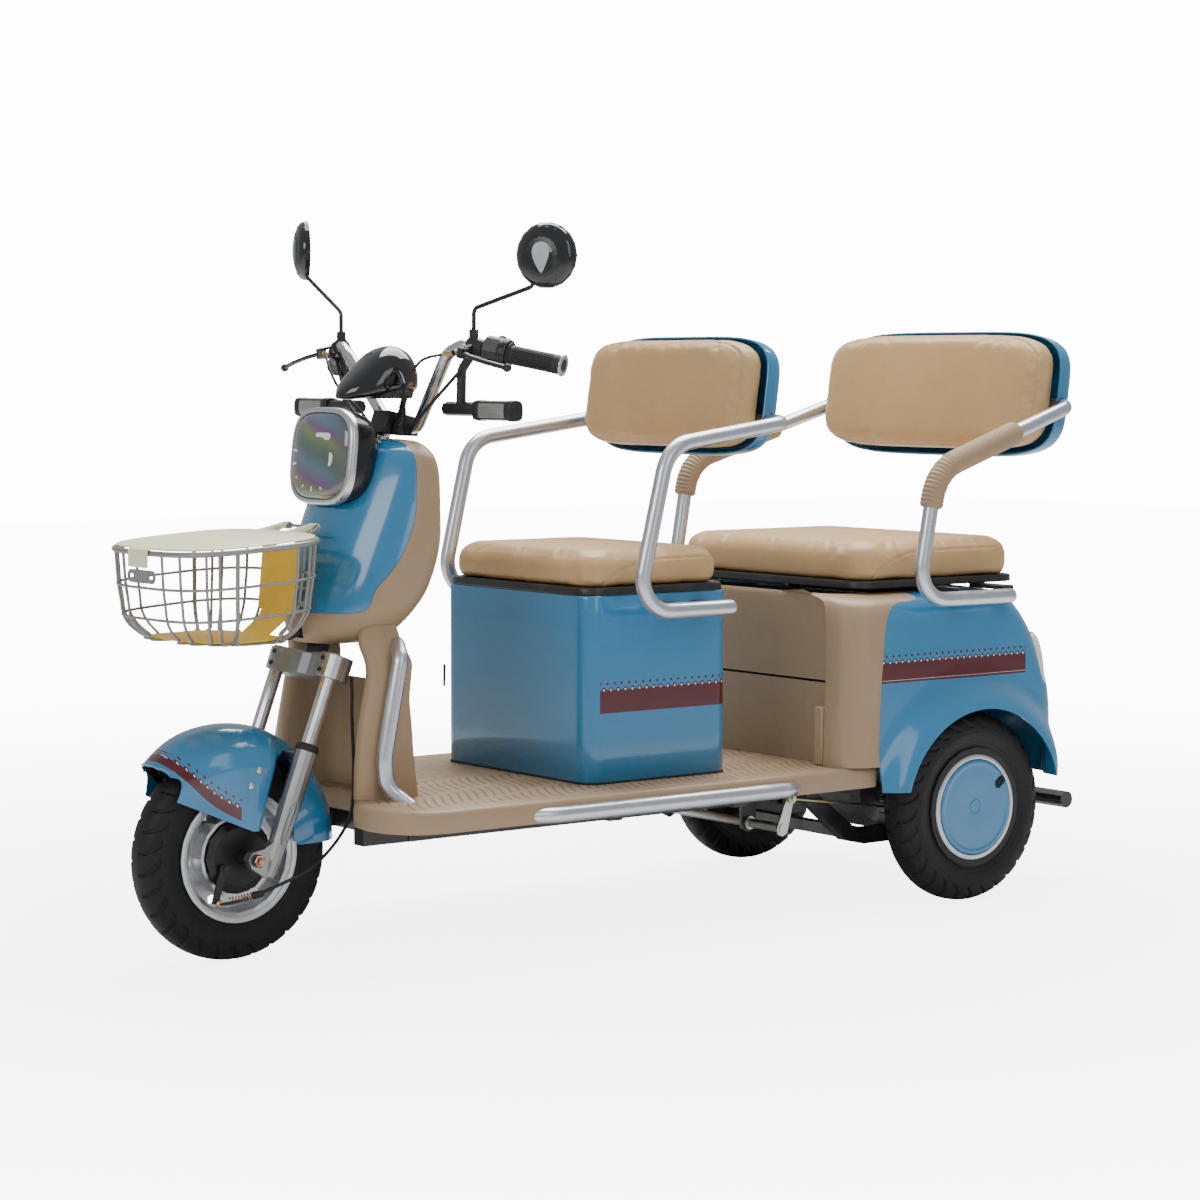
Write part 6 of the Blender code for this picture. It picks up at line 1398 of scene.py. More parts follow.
def arch_tool():
    angle = 2 * math.pi * np.arange(96) / 96
    outline = np.stack([ARCH_CENTRE[0] + ARCH_REACH[0] * np.cos(angle),
                        ARCH_CENTRE[1] + ARCH_REACH[1] * np.sin(angle)],
                       -1)
    return made("cutter", beige_shell, extruded(outline, -0.5, 0.5, 0))


def rear_stripe(look, tone):
    x, y, z = look.axes()
    beside = abs(x) > 0.280
    border = garland(look, tone, y, z, (1.2075, 1.5900), (0.434, 0.478), 0.0160, True)
    return look.tint(beside, tone, border)


rear_blue = lacquer("rear blue", stripe=rear_stripe)
body_surface = surface(body_grid(), columns=True)
blue_rear = settled(made("blue_rear_body", rear_blue, body_surface, wall=0.003))
fitted(carved(blue_rear, "DIFFERENCE", trim_tool(0.0), arch_tool()), "chassis", "gloss_blue", "rear_body")
inner = settled(made("beige_rear_front", beige_shell, body_surface, wall=0.003))
inner = carved(inner, "INTERSECT", trim_tool(0.0004))
line = box_tool((-0.265, 1.120, 0.4300), (0.265, 1.1722, 0.4345))
standing = box_tool((-0.5, 1.0, 0.1), (0.5, 1.2254, STAND))
fitted(carved(inner, "DIFFERENCE", standing, line), "chassis", "matt_beige", "rear_inner_panel")
# A near-black sheet behind the slot that parts the panel in two: painted shade in the gap.
gap_shade_black = moulded_black("painted panel gap shade", 0.004, 0.8)
gap_shade_sheet = extruded([(1.1745, 0.424), (1.1768, 0.424), (1.1768, 0.441), (1.1745, 0.441)], -0.262, 0.262, 0)
fitted(made("panel_gap_shade_sheet", gap_shade_black, gap_shade_sheet), "chassis", "black_plastic")


def trim_steps():
    """The small steps low on the side trims, where the front panel's foot is lapped over them."""
    shapes = []
    for side in (-1, 1):
        left, right = sorted((side * 0.268, side * 0.2455))
        outline = [(left, 1.1305), (right, 1.1305), (right, 1.166), (left, 1.166)]
        shapes.append(extruded(outline, STAND + 0.0002, 0.388))
    return made("trim_steps", beige_shell, *shapes, bevel=0.003)


fitted(trim_steps(), "chassis", "matt_beige")


# Tail lamps
# Milky white lenses set into the body's rear corners over a pale housing, with a dark joint round
# each and fine upright ribs inside.

def tail_lamp(name, flip, node):
    centre = np.array([0.306, 1.652, 0.437])
    out = np.array([0.55, 0.835, 0.0])
    across = np.array([0.835, -0.55, 0.0])
    up = np.array([0.0, -0.16, 1.0])
    angle = 2 * math.pi * np.arange(64)[None] / 64
    steps = np.array([(-0.030, 0.99), (0.004, 1.0), (0.0065, 0.985), (0.0105, 0.92), (0.0140, 0.80),
                      (0.0165, 0.60),
                      (0.0178, 0.38), (0.0182, 0.16)])
    c, s = np.cos(angle), np.sin(angle)
    share = steps[:, 1:]
    u = 0.040 * share * np.sign(c) * np.abs(c) ** 0.72
    w = 0.072 * share * np.sign(s) * np.abs(s) ** 0.72
    grid = centre + steps[:, :1, None] * out + u[..., None] * across + w[..., None] * up
    shape = surface(grid, columns=True, ends="fan")
    if flip:
        shape = moved(shape, MIRROR)
    return fitted(made(name, milky, shape), "chassis", "lamp_white", node)


milky = Finish("milky lens", (0.80, 0.77, 0.68), 0.12, 0.0, Coat_Weight=0.7, Coat_Roughness=0.03)
mx, my, mz = milky.axes()
# The upright ribs are not modelled: they are stripes of painted shade across the milky colour.
flutes = ((mx + my) * (2 * math.pi / 0.0052)).one_of("SINE")
milky.drive(Base_Color=milky.tint(milky.ramp(flutes, -0.6, 0.9) * 0.35, (0.84, 0.80, 0.71), (0.66, 0.62,
                                                                                             0.54)),
            Roughness=milky.noise(40.0) * 0.08 + 0.10)
tail_lamp("tail_lens_left", False, "tail_lamp_left")
tail_lamp("tail_lens_right", True, "tail_lamp_right")
case_black = moulded_black("battery case", 0.020, 0.5)
dressed("battery", case_black)


# Rear axle
# A cast grey motor casing on a steel tube, hung from the black swing arm by two spring and damper
# units. The brake's cross shaft turns in two hangers and pulls a zinc plated rod on the left.

def cast_grey(name, tone=(0.30, 0.30, 0.31), grain=0.00035):
    """Sand cast alloy: a rough skin, darker in its pits."""
    look = Finish(name, tone, 0.48, 0.75)
    skin = look.noise(190.0, 5.0, 0.65)
    grime = look.ramp(look.noise(12.0, 5.0, 0.6), 0.45, 0.75)
    deep = tuple(part * 0.55 for part in tone)
    return look.drive(Base_Color=look.tint(grime * 0.5, tone, deep), Roughness=skin * 0.25 + 0.34,
                      Normal=look.relief(skin, grain))


def plated(name, first, second, gloss=0.28):
    """Zinc plating: bright, with a drifting tint and small dull spots."""
    look = Finish(name, first, gloss, 1.0)
    drift = look.noise(35.0, 3.0, 0.6)
    spots = look.ramp(look.noise(220.0, 2.0), 0.6, 0.75)
    return look.drive(Base_Color=look.tint(drift, first, second), Roughness=spots * 0.3 + gloss)


dressed("drive_axle", cast_grey("axle casting", (0.22, 0.22, 0.23)))
shock_black = black_paint("spring black", 0.3)
bright_zinc = plated("bright zinc", (0.56, 0.56, 0.55), (0.66, 0.64, 0.60))
yellow_zinc = plated("yellow zinc", (0.62, 0.50, 0.22), (0.52, 0.56, 0.36))
dressed("brake_rod", yellow_zinc)
dressed("brake_shaft", bright_zinc)


def coil(bottom, top, radius, wire, turns, sides=10, per_turn=28):
    """A helix from bottom to top, its first and last turns wound flat."""
    t = np.linspace(0, 1, int(turns * per_turn) + 1)
    rise = np.clip((t - 1.0 / turns) / (1 - 2.0 / turns), 0, 1)
    angle = 2 * math.pi * turns * t
    bottom, top = np.asarray(bottom, float), np.asarray(top, float)
    axis = (top - bottom) / np.linalg.norm(top - bottom)
    side = np.cross(axis, (0.0, 1.0, 0.0) if abs(axis[1]) < 0.9 else (1.0, 0.0, 0.0))
    side /= np.linalg.norm(side)
    other = np.cross(axis, side)
    path = bottom + (top - bottom) * rise[:, None] + radius * (np.cos(angle)[:, None] * side
                                                              + np.sin(angle)[:, None] * other)
    return surface(swept(path, wire, sides), columns=True, ends="flat")


def turned(profile, origin, axis, around=48):
    """A closed profile of (place along the axis, distance from it) spun round the axis."""
    axis = np.asarray(axis, float) / np.linalg.norm(axis)
    side = np.cross(axis, (0.0, 0.0, 1.0) if abs(axis[2]) < 0.9 else (1.0, 0.0, 0.0))
    side /= np.linalg.norm(side)
    other = np.cross(axis, side)
    profile = np.asarray(profile, float)
    angle = 2 * math.pi * np.arange(around) / around
    spoke = np.cos(angle)[:, None] * side + np.sin(angle)[:, None] * other
    grid = np.asarray(origin, float) + profile[:, None, :1] * axis + profile[:, None, 1:] * spoke[None]
    closed = profile[0, 1] > 1e-6 and profile[-1, 1] > 1e-6
    return surface(grid, rows=closed, columns=True)


for side, node in ((1, "shock_left"), (-1, "shock_right")):
    foot = (side * 0.200, 1.370, 0.1608)
    body = turned([(0.0, 0.0), (0.0, 0.011), (0.020, 0.011), (0.022, 0.0215), (0.026, 0.0215), (0.028, 0.014),
                   (0.120, 0.014), (0.122, 0.007), (0.232, 0.007), (0.234, 0.0215), (0.239, 0.0215), (0.241,
                                                                                                      0.011),
                   (0.2700, 0.011), (0.2700, 0.0)], foot, (0, 0, 1), 28)
    spring = coil((side * 0.200, 1.370, 0.1900), (side * 0.200, 1.370, 0.3930), 0.0185, 0.0034, 9)
    unit = made("spring_and_damper_" + ("left" if side > 0 else "right"), shock_black, body, spring)
    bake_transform(unit)
    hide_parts(node)


# Tyres
# Black rubber moulded with curved blocks: leaf-like grooves run from both shoulders to a plain
# rib round the middle, and fine rings lie between them and the bead.

TYRE_SECTION = [(0.0292, 0.1018), (0.0310, 0.1085), (0.0318, 0.1120), (0.0330, 0.1150), (0.0328, 0.1172),
                (0.0352, 0.1230), (0.0378, 0.1320), (0.0396, 0.1420), (0.0398, 0.1475), (0.0386, 0.1560)]


def tyre(name, middle_x, middle_y, body, node):
    """The section spun with a tread that sinks by 3.5 mm where the slanting grooves pass."""
    around = 480
    tread = np.array([(0.0386, 0.1560), (0.0372, 0.1618), (0.0352, 0.1664), (0.0328, 0.1701), (0.0300,
                                                                                               0.1734),
                      (0.0268, 0.1762), (0.0232, 0.1785), (0.0194, 0.1803), (0.0154, 0.1817), (0.0112,
                                                                                               0.1826),
                      (0.0070, 0.1832), (0.0062, 0.18325), (0.0, 0.18345)])
    tread = evenly(tread, 34)
    wall = evenly(through(TYRE_SECTION, 5), 40)[:-1]
    half = np.concatenate([wall, tread])
    full = np.concatenate([half, half[-2::-1] * (-1, 1)])
    inner = evenly(through([(-0.0292, 0.1018), (-0.0250, 0.1030), (-0.0285, 0.1300), (-0.0270, 0.1500), (0,
                                                                                                         0.1715),
                            (0.0270, 0.1500), (0.0285, 0.1300), (0.0250, 0.1030), (0.0292, 0.1018)], 5),
                   40)[1:-1]
    angle = 2 * math.pi * np.arange(around) / around
    across, reach = full[:, :1], full[:, 1:]
    share = np.clip((reach - 0.150) / 0.0335, 0, 1)
    lean = angle[None, :] * 30 / (2 * math.pi) + np.where(across > 0, 0.5, 0.0) + 0.85 * (1 - share) ** 1.4
    beside = np.abs(lean - np.round(lean)) * 2
    width = 0.16 + 0.30 * np.clip(1 - share, 0, 1)
    groove = np.clip((width - beside) / 0.10, 0, 1) * np.clip((np.abs(across) - 0.0066) / 0.0012, 0, 1)
    groove *= np.clip((reach - 0.1545) / 0.004, 0, 1)
    ring = np.exp(-((reach - 0.1265) / 0.0012) ** 2) + np.exp(-((reach - 0.1465) / 0.0010) ** 2)
    spoke = reach - 0.0035 * groove
    side = across - np.sign(across) * (0.0022 * groove * (1 - share) + 0.0007 * ring)
    side = np.broadcast_to(side, spoke.shape)
    lap = np.stack([np.broadcast_to(inner[:, :1], (len(inner), around)),
                    np.broadcast_to(inner[:, 1:], (len(inner), around))], -1)
    ringed = np.concatenate([np.stack([side, spoke], -1), lap])
    grid = np.stack([middle_x + ringed[..., 0], middle_y + ringed[..., 1] * np.cos(angle),
                     0.1835 + ringed[..., 1] * np.sin(angle)], -1)
    fitted(made(name, tyre_rubber, surface(grid, rows=True, columns=True), angle=32), body, "tyre_rubber",
           node)


tyre_rubber = Finish("tyre rubber", (0.008, 0.008, 0.008), 0.62, 0.0, Specular_IOR_Level=0.35)
dusty = tyre_rubber.ramp(tyre_rubber.noise(14.0, 4.0, 0.6), 0.40, 0.75)
tyre_rubber.drive(Base_Color=tyre_rubber.tint(dusty * 0.45, (0.006, 0.006, 0.0065), (0.018, 0.017, 0.016)),
                  Roughness=dusty * 0.14 + 0.54,
                  Normal=tyre_rubber.relief(tyre_rubber.noise(900.0, 2.0), 0.00008))
WHEELBASE = 1.443
tyre("tyre_front", 0.0, 0.0, "front_wheel", "front_tyre")
for side, word in ((1, "left"), (-1, "right")):
    tyre("tyre_rear_" + word, side * 0.3235, WHEELBASE, "rear_wheel_" + word, "rear_tyre_" + word)


# Rims
# The front one is a silver die-casting with the brake drum in its middle and windows between
# broad spokes. A painted cap with one slot for the valve closes each rear rim, inside a bright ring.

rim_silver = brushed_silver("rim silver", (0.60, 0.61, 0.63), 0.30, 55.0)
dressed("front_rim", rim_silver)
cap_blue = lacquer("cap blue")
dark_inside = moulded_black("dark inside", 0.012, 0.6)


def front_rim_trim():
    """Drum ribs and the stepped ledge, as casting edges over the plain rim."""
    shapes = []
    for x, radius, depth in ((0.0366, 0.1128, 0.0022), (0.0366, 0.1052, 0.0016), (-0.0366, 0.1128, 0.0022)):
        ring = [(x - 0.0009, radius), (x + 0.0007, radius + 0.0004), (x + 0.0007, radius + depth),
                (x - 0.0009, radius + depth + 0.0004)]
        shapes.append(turned(ring, (0, 0, 0.1835), (1, 0, 0), 96))
    return shapes


fitted(made("front_rim_ledges", rim_silver, *front_rim_trim(), angle=30), "front_wheel", "cast_grey")


def rear_cap(name, side):
    """A dished plate with a rolled edge, a raised boss in the middle and a slot cut for the valve."""
    profile = through([(0.0, 0.0), (0.0, 0.0115), (0.0013, 0.0128), (0.0013, 0.0140), (0.0002, 0.0156),
                       (0.0006, 0.030),
                       (0.0012, 0.055), (0.0012, 0.079), (0.0022, 0.0845), (0.0020, 0.0885), (0.0004,
                                                                                              0.0912)], 5)
    around = 160
    angle = 2 * math.pi * np.arange(around) / around
    x = side * (0.3235 + 0.0388 + profile[:, :1])
    grid = np.stack([np.broadcast_to(x, (len(profile), around)), WHEELBASE + profile[:, 1:] * np.cos(angle),
                     0.1835 + profile[:, 1:] * np.sin(angle)], -1)
    front = surface(grid, columns=True)
    rim = grid[-1:] * 1.0
    back = np.concatenate([rim, rim - (side * 0.0036, 0, 0), grid[:1] - (side * 0.0036, 0, 0)])
    cap = made(name, cap_blue, front, surface(back, columns=True), angle=40)
    valve = math.radians(35)
    across = np.array([0, -math.sin(valve), math.cos(valve)])
    out = np.array([0, math.cos(valve), math.sin(valve)])
    outline = pill_outline(0.0145, 0.0098, 20)
    middle = np.array([0, WHEELBASE, 0.1835]) + out * 0.0775
    corner = np.array([middle + out * u + across * v for u, v in outline])
    tool = surface(np.stack([corner + (side * 0.350, 0, 0), corner + (side * 0.372, 0, 0)]), columns=True,
                   ends="flat")
    carved(cap, "DIFFERENCE", made(name + "_slot", cap_blue, tool))
    return cap


for side, word in ((1, "left"), (-1, "right")):
    wheel = "rear_wheel_" + word
    centre = (side * 0.3235, WHEELBASE, 0.1835)
    dressed("rear_rim_" + word, dark_inside)
    fitted(rear_cap("hub_cap_" + word, side), wheel, "gloss_blue")
    bright = turned([(0.0352, 0.0925), (0.0385, 0.0930), (0.0392, 0.0965), (0.0378, 0.1012), (0.0345, 0.1030),
                     (0.0335, 0.0975)], centre, (side, 0, 0), 120)
    fitted(made("rim_ring_" + word, rim_silver, bright, angle=35), wheel, "silver_tube")
    turn = math.radians(35)
    out = np.array([0.0, math.cos(turn), math.sin(turn)])
    foot = np.array(centre) + (side * 0.0345, 0, 0) + out * 0.072
    stem = turned([(0.0, 0.0), (0.0, 0.0036), (0.010, 0.0030), (0.011, 0.0038), (0.017, 0.0038), (0.018,
                                                                                                  0.0)], foot,
                  out, 16)
    fitted(made("valve_" + word, dark_inside, stem), wheel, "black_rubber")


# Mudguard
# A thin blue moulding over the front wheel, cut back where the fork passes, with its lip rolled
# outwards. A printed border follows the lip on both flanks, and two screws hold it to the leg.

GUARD_RINGS = [(-8, 0.198, 0.058), (12, 0.202, 0.064), (27, 0.206, 0.064), (36, 0.209, 0.056), (66, 0.220,
                                                                                                0.056),
               (74, 0.223, 0.080), (83, 0.2255, 0.088), (98, 0.228, 0.088), (107, 0.2295, 0.085),
               (116, 0.230, 0.080), (128, 0.229, 0.070), (142, 0.227, 0.056)]
GUARD_SIDE = [(-0.160, 0.3025), (-0.080, 0.268), (0.000, 0.232), (0.022, 0.232), (0.032, 0.262), (0.044,
                                                                                                  0.318),
              (0.062, 0.350), (0.085, 0.362), (0.098, 0.340), (0.092, 0.262), (0.092, 0.206), (0.104, 0.198),
              (0.230, 0.198), (0.300, 0.300), (0.200, 0.480), (-0.160, 0.480)]
GUARD_LIP = [(0.0, -0.157), (0.026, -0.153), (0.048, -0.140), (0.066, -0.118), (0.078, -0.086), (0.100,
                                                                                                 -0.040)]


def guard_shell():
    """Rings round the tyre: each has the smoothed half section at its radius and half width, with
    flat flanks below."""
    degrees, radius, half = evenly(through(GUARD_RINGS, 8), 90).T
    across, drop = through([(0.99, 0.062), (0.88, 0.034), (0.55, 0.0105), (0.25, 0.0018), (0.0, 0.0)], 8).T
    down = np.linspace(0, 1, 18)[:-1]
    low = down * (radius[:, None] - 0.062) + (1 - down) * 0.050
    half_spoke = np.concatenate([low, radius[:, None] - drop], 1)
    half_across = np.concatenate([1.0 - 0.01 * down, across])
    spoke = np.concatenate([half_spoke, half_spoke[:, -2::-1]], 1)
    across = np.concatenate([-half_across, half_across[-2::-1]])
    angle = np.radians(degrees)[:, None]
    return np.stack([half[:, None] * across, spoke * np.cos(angle), 0.1835 + spoke * np.sin(angle)], -1)


def dropped(piece, points, way):
    """Each point carried along the way until it meets the piece."""
    bpy.context.view_layer.update()
    tree = BVHTree.FromObject(piece, bpy.context.evaluated_depsgraph_get())
    hits = [tree.ray_cast(Vector(point) + Vector((0, FRONT_AXLE_Y, 0)), Vector(way))[0] for point in points]
    return np.array([tuple(hit) for hit in hits if hit is not None]) - (0, FRONT_AXLE_Y, 0)


def guard_border(look, tone):
    """The border runs 9 mm above the lip, from the front of the wheel to a rounded end at the fork."""
    edge = look.add("ShaderNodeAttribute", {"attribute_name": "from_lip"}, {}, 2)
    along = look.add("ShaderNodeAttribute", {"attribute_name": "along_lip"}, {}, 2)
    border = garland(look, tone, along, edge, (-0.010, 0.212), (0.0080, 0.0330), 0.0158)
    return border


guard_blue = lacquer("guard blue", stripe=guard_border)
guard = settled(made("mudguard_shell", guard_blue, surface(guard_shell()), wall=0.0024))
front_lip = dropped(guard, [(x, y, 0.6) for x, y in evenly(GUARD_LIP[:3], 16)], (0, 0, -1))
plan = GUARD_LIP + [(0.100, 0.300), (-0.100, 0.300)] + [(-x, y) for x, y in GUARD_LIP[:0:-1]]
guard = carved(guard, "INTERSECT", made("cutter", guard_blue, extruded(GUARD_SIDE, -0.2, 0.2, 0)),
               made("cutter", guard_blue, extruded(plan, 0.1, 0.6)))
spots = np.empty(len(guard.data.vertices) * 3)
guard.data.vertices.foreach_get("co", spots)
spots = spots.reshape(-1, 3) - (0, FRONT_AXLE_Y, 0)
spots[:, 0] = np.abs(spots[:, 0])
side_run = np.array([(0.076, -0.1000, 0.2980), (0.080, -0.0700, 0.2720), (0.084, -0.0350, 0.2500),
                     (0.085, 0.0000, 0.2350), (0.085, 0.0300, 0.2300)])
run = evenly(through(np.concatenate([front_lip[::5], side_run]), 8), 200)
reach = np.concatenate([[0], np.cumsum(np.linalg.norm(np.diff(run, axis=0), axis=1))])
from_lip = 0.9 * (spots[:, 2] - np.interp(spots[:, 1], run[:, 1], run[:, 2]))
along_lip = np.interp(spots[:, 1], run[:, 1], reach)
for key, values in (("from_lip", from_lip), ("along_lip", along_lip)):
    guard.data.attributes.new(key, "FLOAT", "POINT").data.foreach_set("value", values.astype(np.float32))
fitted(guard, "fork_lower", "gloss_blue", "mudguard")
whole_lip = np.concatenate([front_lip[:0:-1] * (-1, 1, 1), front_lip])
rolled = bar(evenly(through(whole_lip[::2], 4), 60), 0.0022, 10, round_end=True)
fitted(made("mudguard_lip", guard_blue, rolled), "fork_lower", "gloss_blue")


# Fork legs and drum brake
# Painted cast legs hold the axle ahead of their centre line. The brake plate on the left carries
# the cam lever, with the cable's adjuster, its return spring and a rubber boot in one row.

def fork_point(x, ahead, along):
    """A point by its place along the leg and ahead of it; the steering head leans back 20.7 degrees."""
    lean = math.radians(20.7)
    return np.array([x, 0.0478 * math.cos(lean) + along * math.sin(lean) - ahead * math.cos(lean),
                     0.1835 - 0.0478 * math.sin(lean) + along * math.cos(lean) + ahead * math.sin(lean)])


leg_silver = brushed_silver("leg silver", (0.36, 0.36, 0.35), 0.36, 30.0)
copper = plated("copper washed", (0.62, 0.34, 0.20), (0.45, 0.26, 0.17))
for node in ("fork_leg_left", "fork_leg_right"):
    dressed(node, leg_silver)
dressed("front_brake_plate", moulded_black("brake plate black", 0.010, 0.40, 0.0002, 200.0))
dressed("front_brake_cable", moulded_black("cable sheath", 0.012, 0.5))
leg_lean = fork_point(0, 0, 1) - fork_point(0, 0, 0)
for side, word in ((1, "left"), (-1, "right")):
    top = fork_point(side * 0.087, 0.0134, 0.2053)
    wiper = turned([(0.0, 0.0129), (0.0, 0.0206), (0.004, 0.0212), (0.008, 0.0206), (0.0125, 0.0165),
                    (0.0135, 0.0131)],
                   top, leg_lean, 40)
    emboss = [fork_point(side * 0.1062, 0.0134 + 0.0060 * math.cos(a), 0.078 + 0.040 * math.sin(a))
              for a in np.linspace(0, 2 * math.pi, 40, endpoint=False)]
    ridge = surface(swept(np.array(emboss), 0.0011, 8, closed=True), rows=True, columns=True)
    fitted(made("leg_seal_" + word, dark_inside, wiper), "fork_lower", "black_rubber")
    fitted(made("leg_ridge_" + word, leg_silver, ridge), "fork_lower", "cast_grey")
    nut = turned([(0.0, 0.0), (0.0, 0.0108), (0.0070, 0.0108), (0.0082, 0.0096), (0.0082, 0.0070), (0.0140,
                                                                                                    0.0066),
                  (0.0150, 0.0)], (side * 0.0985, 0, 0.1835), (side, 0, 0), 6)
    fitted(made("axle_nut_cover_" + word, copper, nut, angle=20), "fork_lower", "zinc_yellow")
spring_foot, spring_top = np.array([0.0560, -0.0300, 0.1120]), np.array([0.0760, -0.0010, 0.1200])
fitted(made("brake_return_spring", copper, coil(spring_foot, spring_top, 0.0062, 0.0011, 9, 8, 20)),
       "fork_lower",
       "zinc_yellow")
boot_way = spring_top - spring_foot
boot = turned([(0.0, 0.0032), (0.0, 0.0056), (0.004, 0.0070), (0.007, 0.0056), (0.010, 0.0070), (0.013,
                                                                                                 0.0056),
               (0.016, 0.0064), (0.020, 0.0040), (0.020, 0.0032)], spring_top + boot_way * 0.06, boot_way, 24)
fitted(made("brake_cable_boot", dark_inside, boot), "fork_lower", "black_rubber")
cam_end = turned([(0.0, 0.0), (0.0, 0.0070), (0.0050, 0.0070), (0.0060, 0.0060), (0.0060, 0.0)],
                 (0.0502, -0.0500, 0.1085), (1, 0, 0), 6)
fitted(made("brake_adjuster_nut", copper, cam_end, angle=20), "fork_lower", "zinc_yellow")
for y, z in ((0.0100, 0.3380), (-0.0060, 0.3120)):
    spot = dropped(guard, [(0.3, y, z)], (-1, 0, 0))[0]
    head = turned([(-0.0004, 0.0), (-0.0004, 0.0062), (0.0008, 0.0060), (0.0020, 0.0044), (0.0026, 0.0)],
                  spot,
                  (1, 0, 0), 24)
    fitted(made("mudguard_screw_%d" % round(z * 1000), bright_zinc, head), "fork_lower", "steel")


# Fork crown
# Two cast clamps grip the bright stanchions, each with two socket screws, and an arched bridge
# joins them to the stem. Everything above turns with it.

stanchion_chrome = brushed_silver("stanchion chrome", (0.66, 0.67, 0.70), 0.14, 40.0)
crown_black = moulded_black("crown black", 0.012, 0.38, 0.0002, 300.0)
dressed("fork_crown", stanchion_chrome)
bridge = [(-0.100, -0.008), (-0.092, -0.022), (-0.070, -0.026), (-0.030, -0.0275), (0.030, -0.0275), (0.070,
                                                                                                      -0.026),
          (0.092, -0.022), (0.100, -0.008), (0.100, 0.018), (0.088, 0.0318), (0.072, 0.0318), (0.036, 0.0175),
          (-0.036, 0.0175), (-0.072, 0.0318), (-0.088, 0.0318), (-0.100, 0.018)]
outline = evenly(through(bridge, 6, True), 96, True)
rings = np.stack([[fork_point(x * k, -0.000 + a * k, along) for x, a in outline]
                  for along, k in ((0.3365, 0.985), (0.3380, 1.0), (0.3790, 1.0), (0.3805, 0.985))])
crown_grey = brushed_silver("crown grey", (0.34, 0.34, 0.33), 0.38, 30.0)
fitted(made("fork_bridge", crown_grey, surface(rings, columns=True, ends="flat"), angle=35), "steering",
       "cast_grey")
for side in (1, -1):
    word = "left" if side > 0 else "right"
    for along in (0.3480, 0.3690):
        head = turned([(0.0, 0.0), (0.0, 0.0046), (0.0040, 0.0046), (0.0048, 0.0040), (0.0048, 0.0022),
                       (0.0030, 0.0020),
                       (0.0030, 0.0)], fork_point(side * 0.0800, 0.0302, along), fork_point(0, 1,
                                                                                            0) - fork_point(0, 0, 0),
                      24)
        fitted(made("crown_bolt_%s_%d" % (word, round(along * 1000)), crown_black, head), "steering", "steel")


# Handlebar
# One bright tube bent up and out from the stem, with black rubber grips, chrome rings at their
# ends, and a round black housing at the left one's root.

bar_chrome = brushed_silver("handlebar chrome", (0.64, 0.66, 0.69), 0.16, 45.0, (1, 1, 1))
corners = [(0.354, 0.4535, 1.029), (0.195, 0.362, 1.064), (0.160, 0.353, 1.050), (0.045, 0.366, 0.918)]
corners += [(-x, y, z) for x, y, z in corners[::-1]]
handlebar = bar(bent(corners, [0.035, 0.050, 0.030, 0.030, 0.050, 0.035]), 0.0110, 20)
fitted(made("handlebar_tube", bar_chrome, handlebar), "steering", "silver_tube", "handlebar")
clamp = [fork_point(0, ahead, along) for ahead, along in ((0.0195, 0.786), (0.0195, 0.8295), (-0.0505,
                                                                                              0.8395),
                                                          (-0.0555, 0.807), (-0.0190, 0.7965))]
clamp = surface(np.stack([np.array(clamp) * (0, 1, 1) + (x, 0, 0) for x in (-0.0250, 0.0250)]),
                columns=True, ends="flat")
fitted(made("handlebar_clamp", crown_black, clamp, bevel=0.0025), "steering", "black_plastic")
GRIP_ROOT = np.array([0.195, 0.362, 1.064])
GRIP_WAY = np.array([0.8514, 0.4899, -0.1874])


def bar_point(distance, side=1):
    """A point on the bar's straight end by its distance from the last bend."""
    return (GRIP_ROOT + GRIP_WAY * distance) * (side, 1, 1)


grip_rubber = Finish("grip rubber", (0.016, 0.016, 0.017), 0.58)
grip_rubber.drive(Normal=grip_rubber.relief(grip_rubber.noise(800.0, 2.0), 0.00010))


def ridged_grip(name, side, body, node):
    """A rubber sleeve with 28 lengthwise grooves between a flange and a rounded end."""
    around = 224
    stations = np.array([(0.0000, 0.0205, 0), (0.0022, 0.0210, 0), (0.0040, 0.0205, 0), (0.0046, 0.0172, 0),
                         (0.0100, 0.0166, 0), (0.0108, 0.0167, 1), (0.0500, 0.0166, 1), (0.0860, 0.0168, 1),
                         (0.0868, 0.0170, 0), (0.0940, 0.0170, 0), (0.0985, 0.0164, 0), (0.1015, 0.0140, 0),
                         (0.1026, 0.0080, 0)])
    angle = 2 * math.pi * np.arange(around) / around
    wave = np.clip(np.cos(28 * angle) * 2.2 - 0.6, 0, 1)
    reach = stations[:, 1:2] - 0.0012 * stations[:, 2:] * wave[None]
    way = GRIP_WAY * (side, 1, 1)
    across = np.cross(way, (0, 0, 1.0))
    across /= np.linalg.norm(across)
    over = np.cross(across, way)
    centre = bar_point(0.0888, side) + stations[:, :1] * way
    grid = centre[:, None] + reach[..., None] * (np.cos(angle)[None, :, None] * across
                                                 + np.sin(angle)[None, :, None] * over)
    fitted(made(name, grip_rubber, surface(grid, columns=True, ends="fan"), angle=30), body, "black_rubber",
           node)
    for index, place in enumerate((0.0865, 0.1895)):
        ring = turned([(0.0, 0.0112), (0.0, 0.0188), (0.0008, 0.0194), (0.0022, 0.0194), (0.0030, 0.0188),
                       (0.0030, 0.0112)],
                      bar_point(place, side), way, 40)
        fitted(made("%s_ring_%d" % (name, index), bar_chrome, ring), body if index else "steering",
               "silver_tube")


ridged_grip("grip_left", 1, "steering", "left_grip")
ridged_grip("grip_right", -1, "throttle", "throttle_grip")


# Instrument pod
# A glossy black helmet-shaped cover over the bar's middle, with a flat lower edge and a dark
# screen facing the rider, and a corrugated loom that runs down into the column.

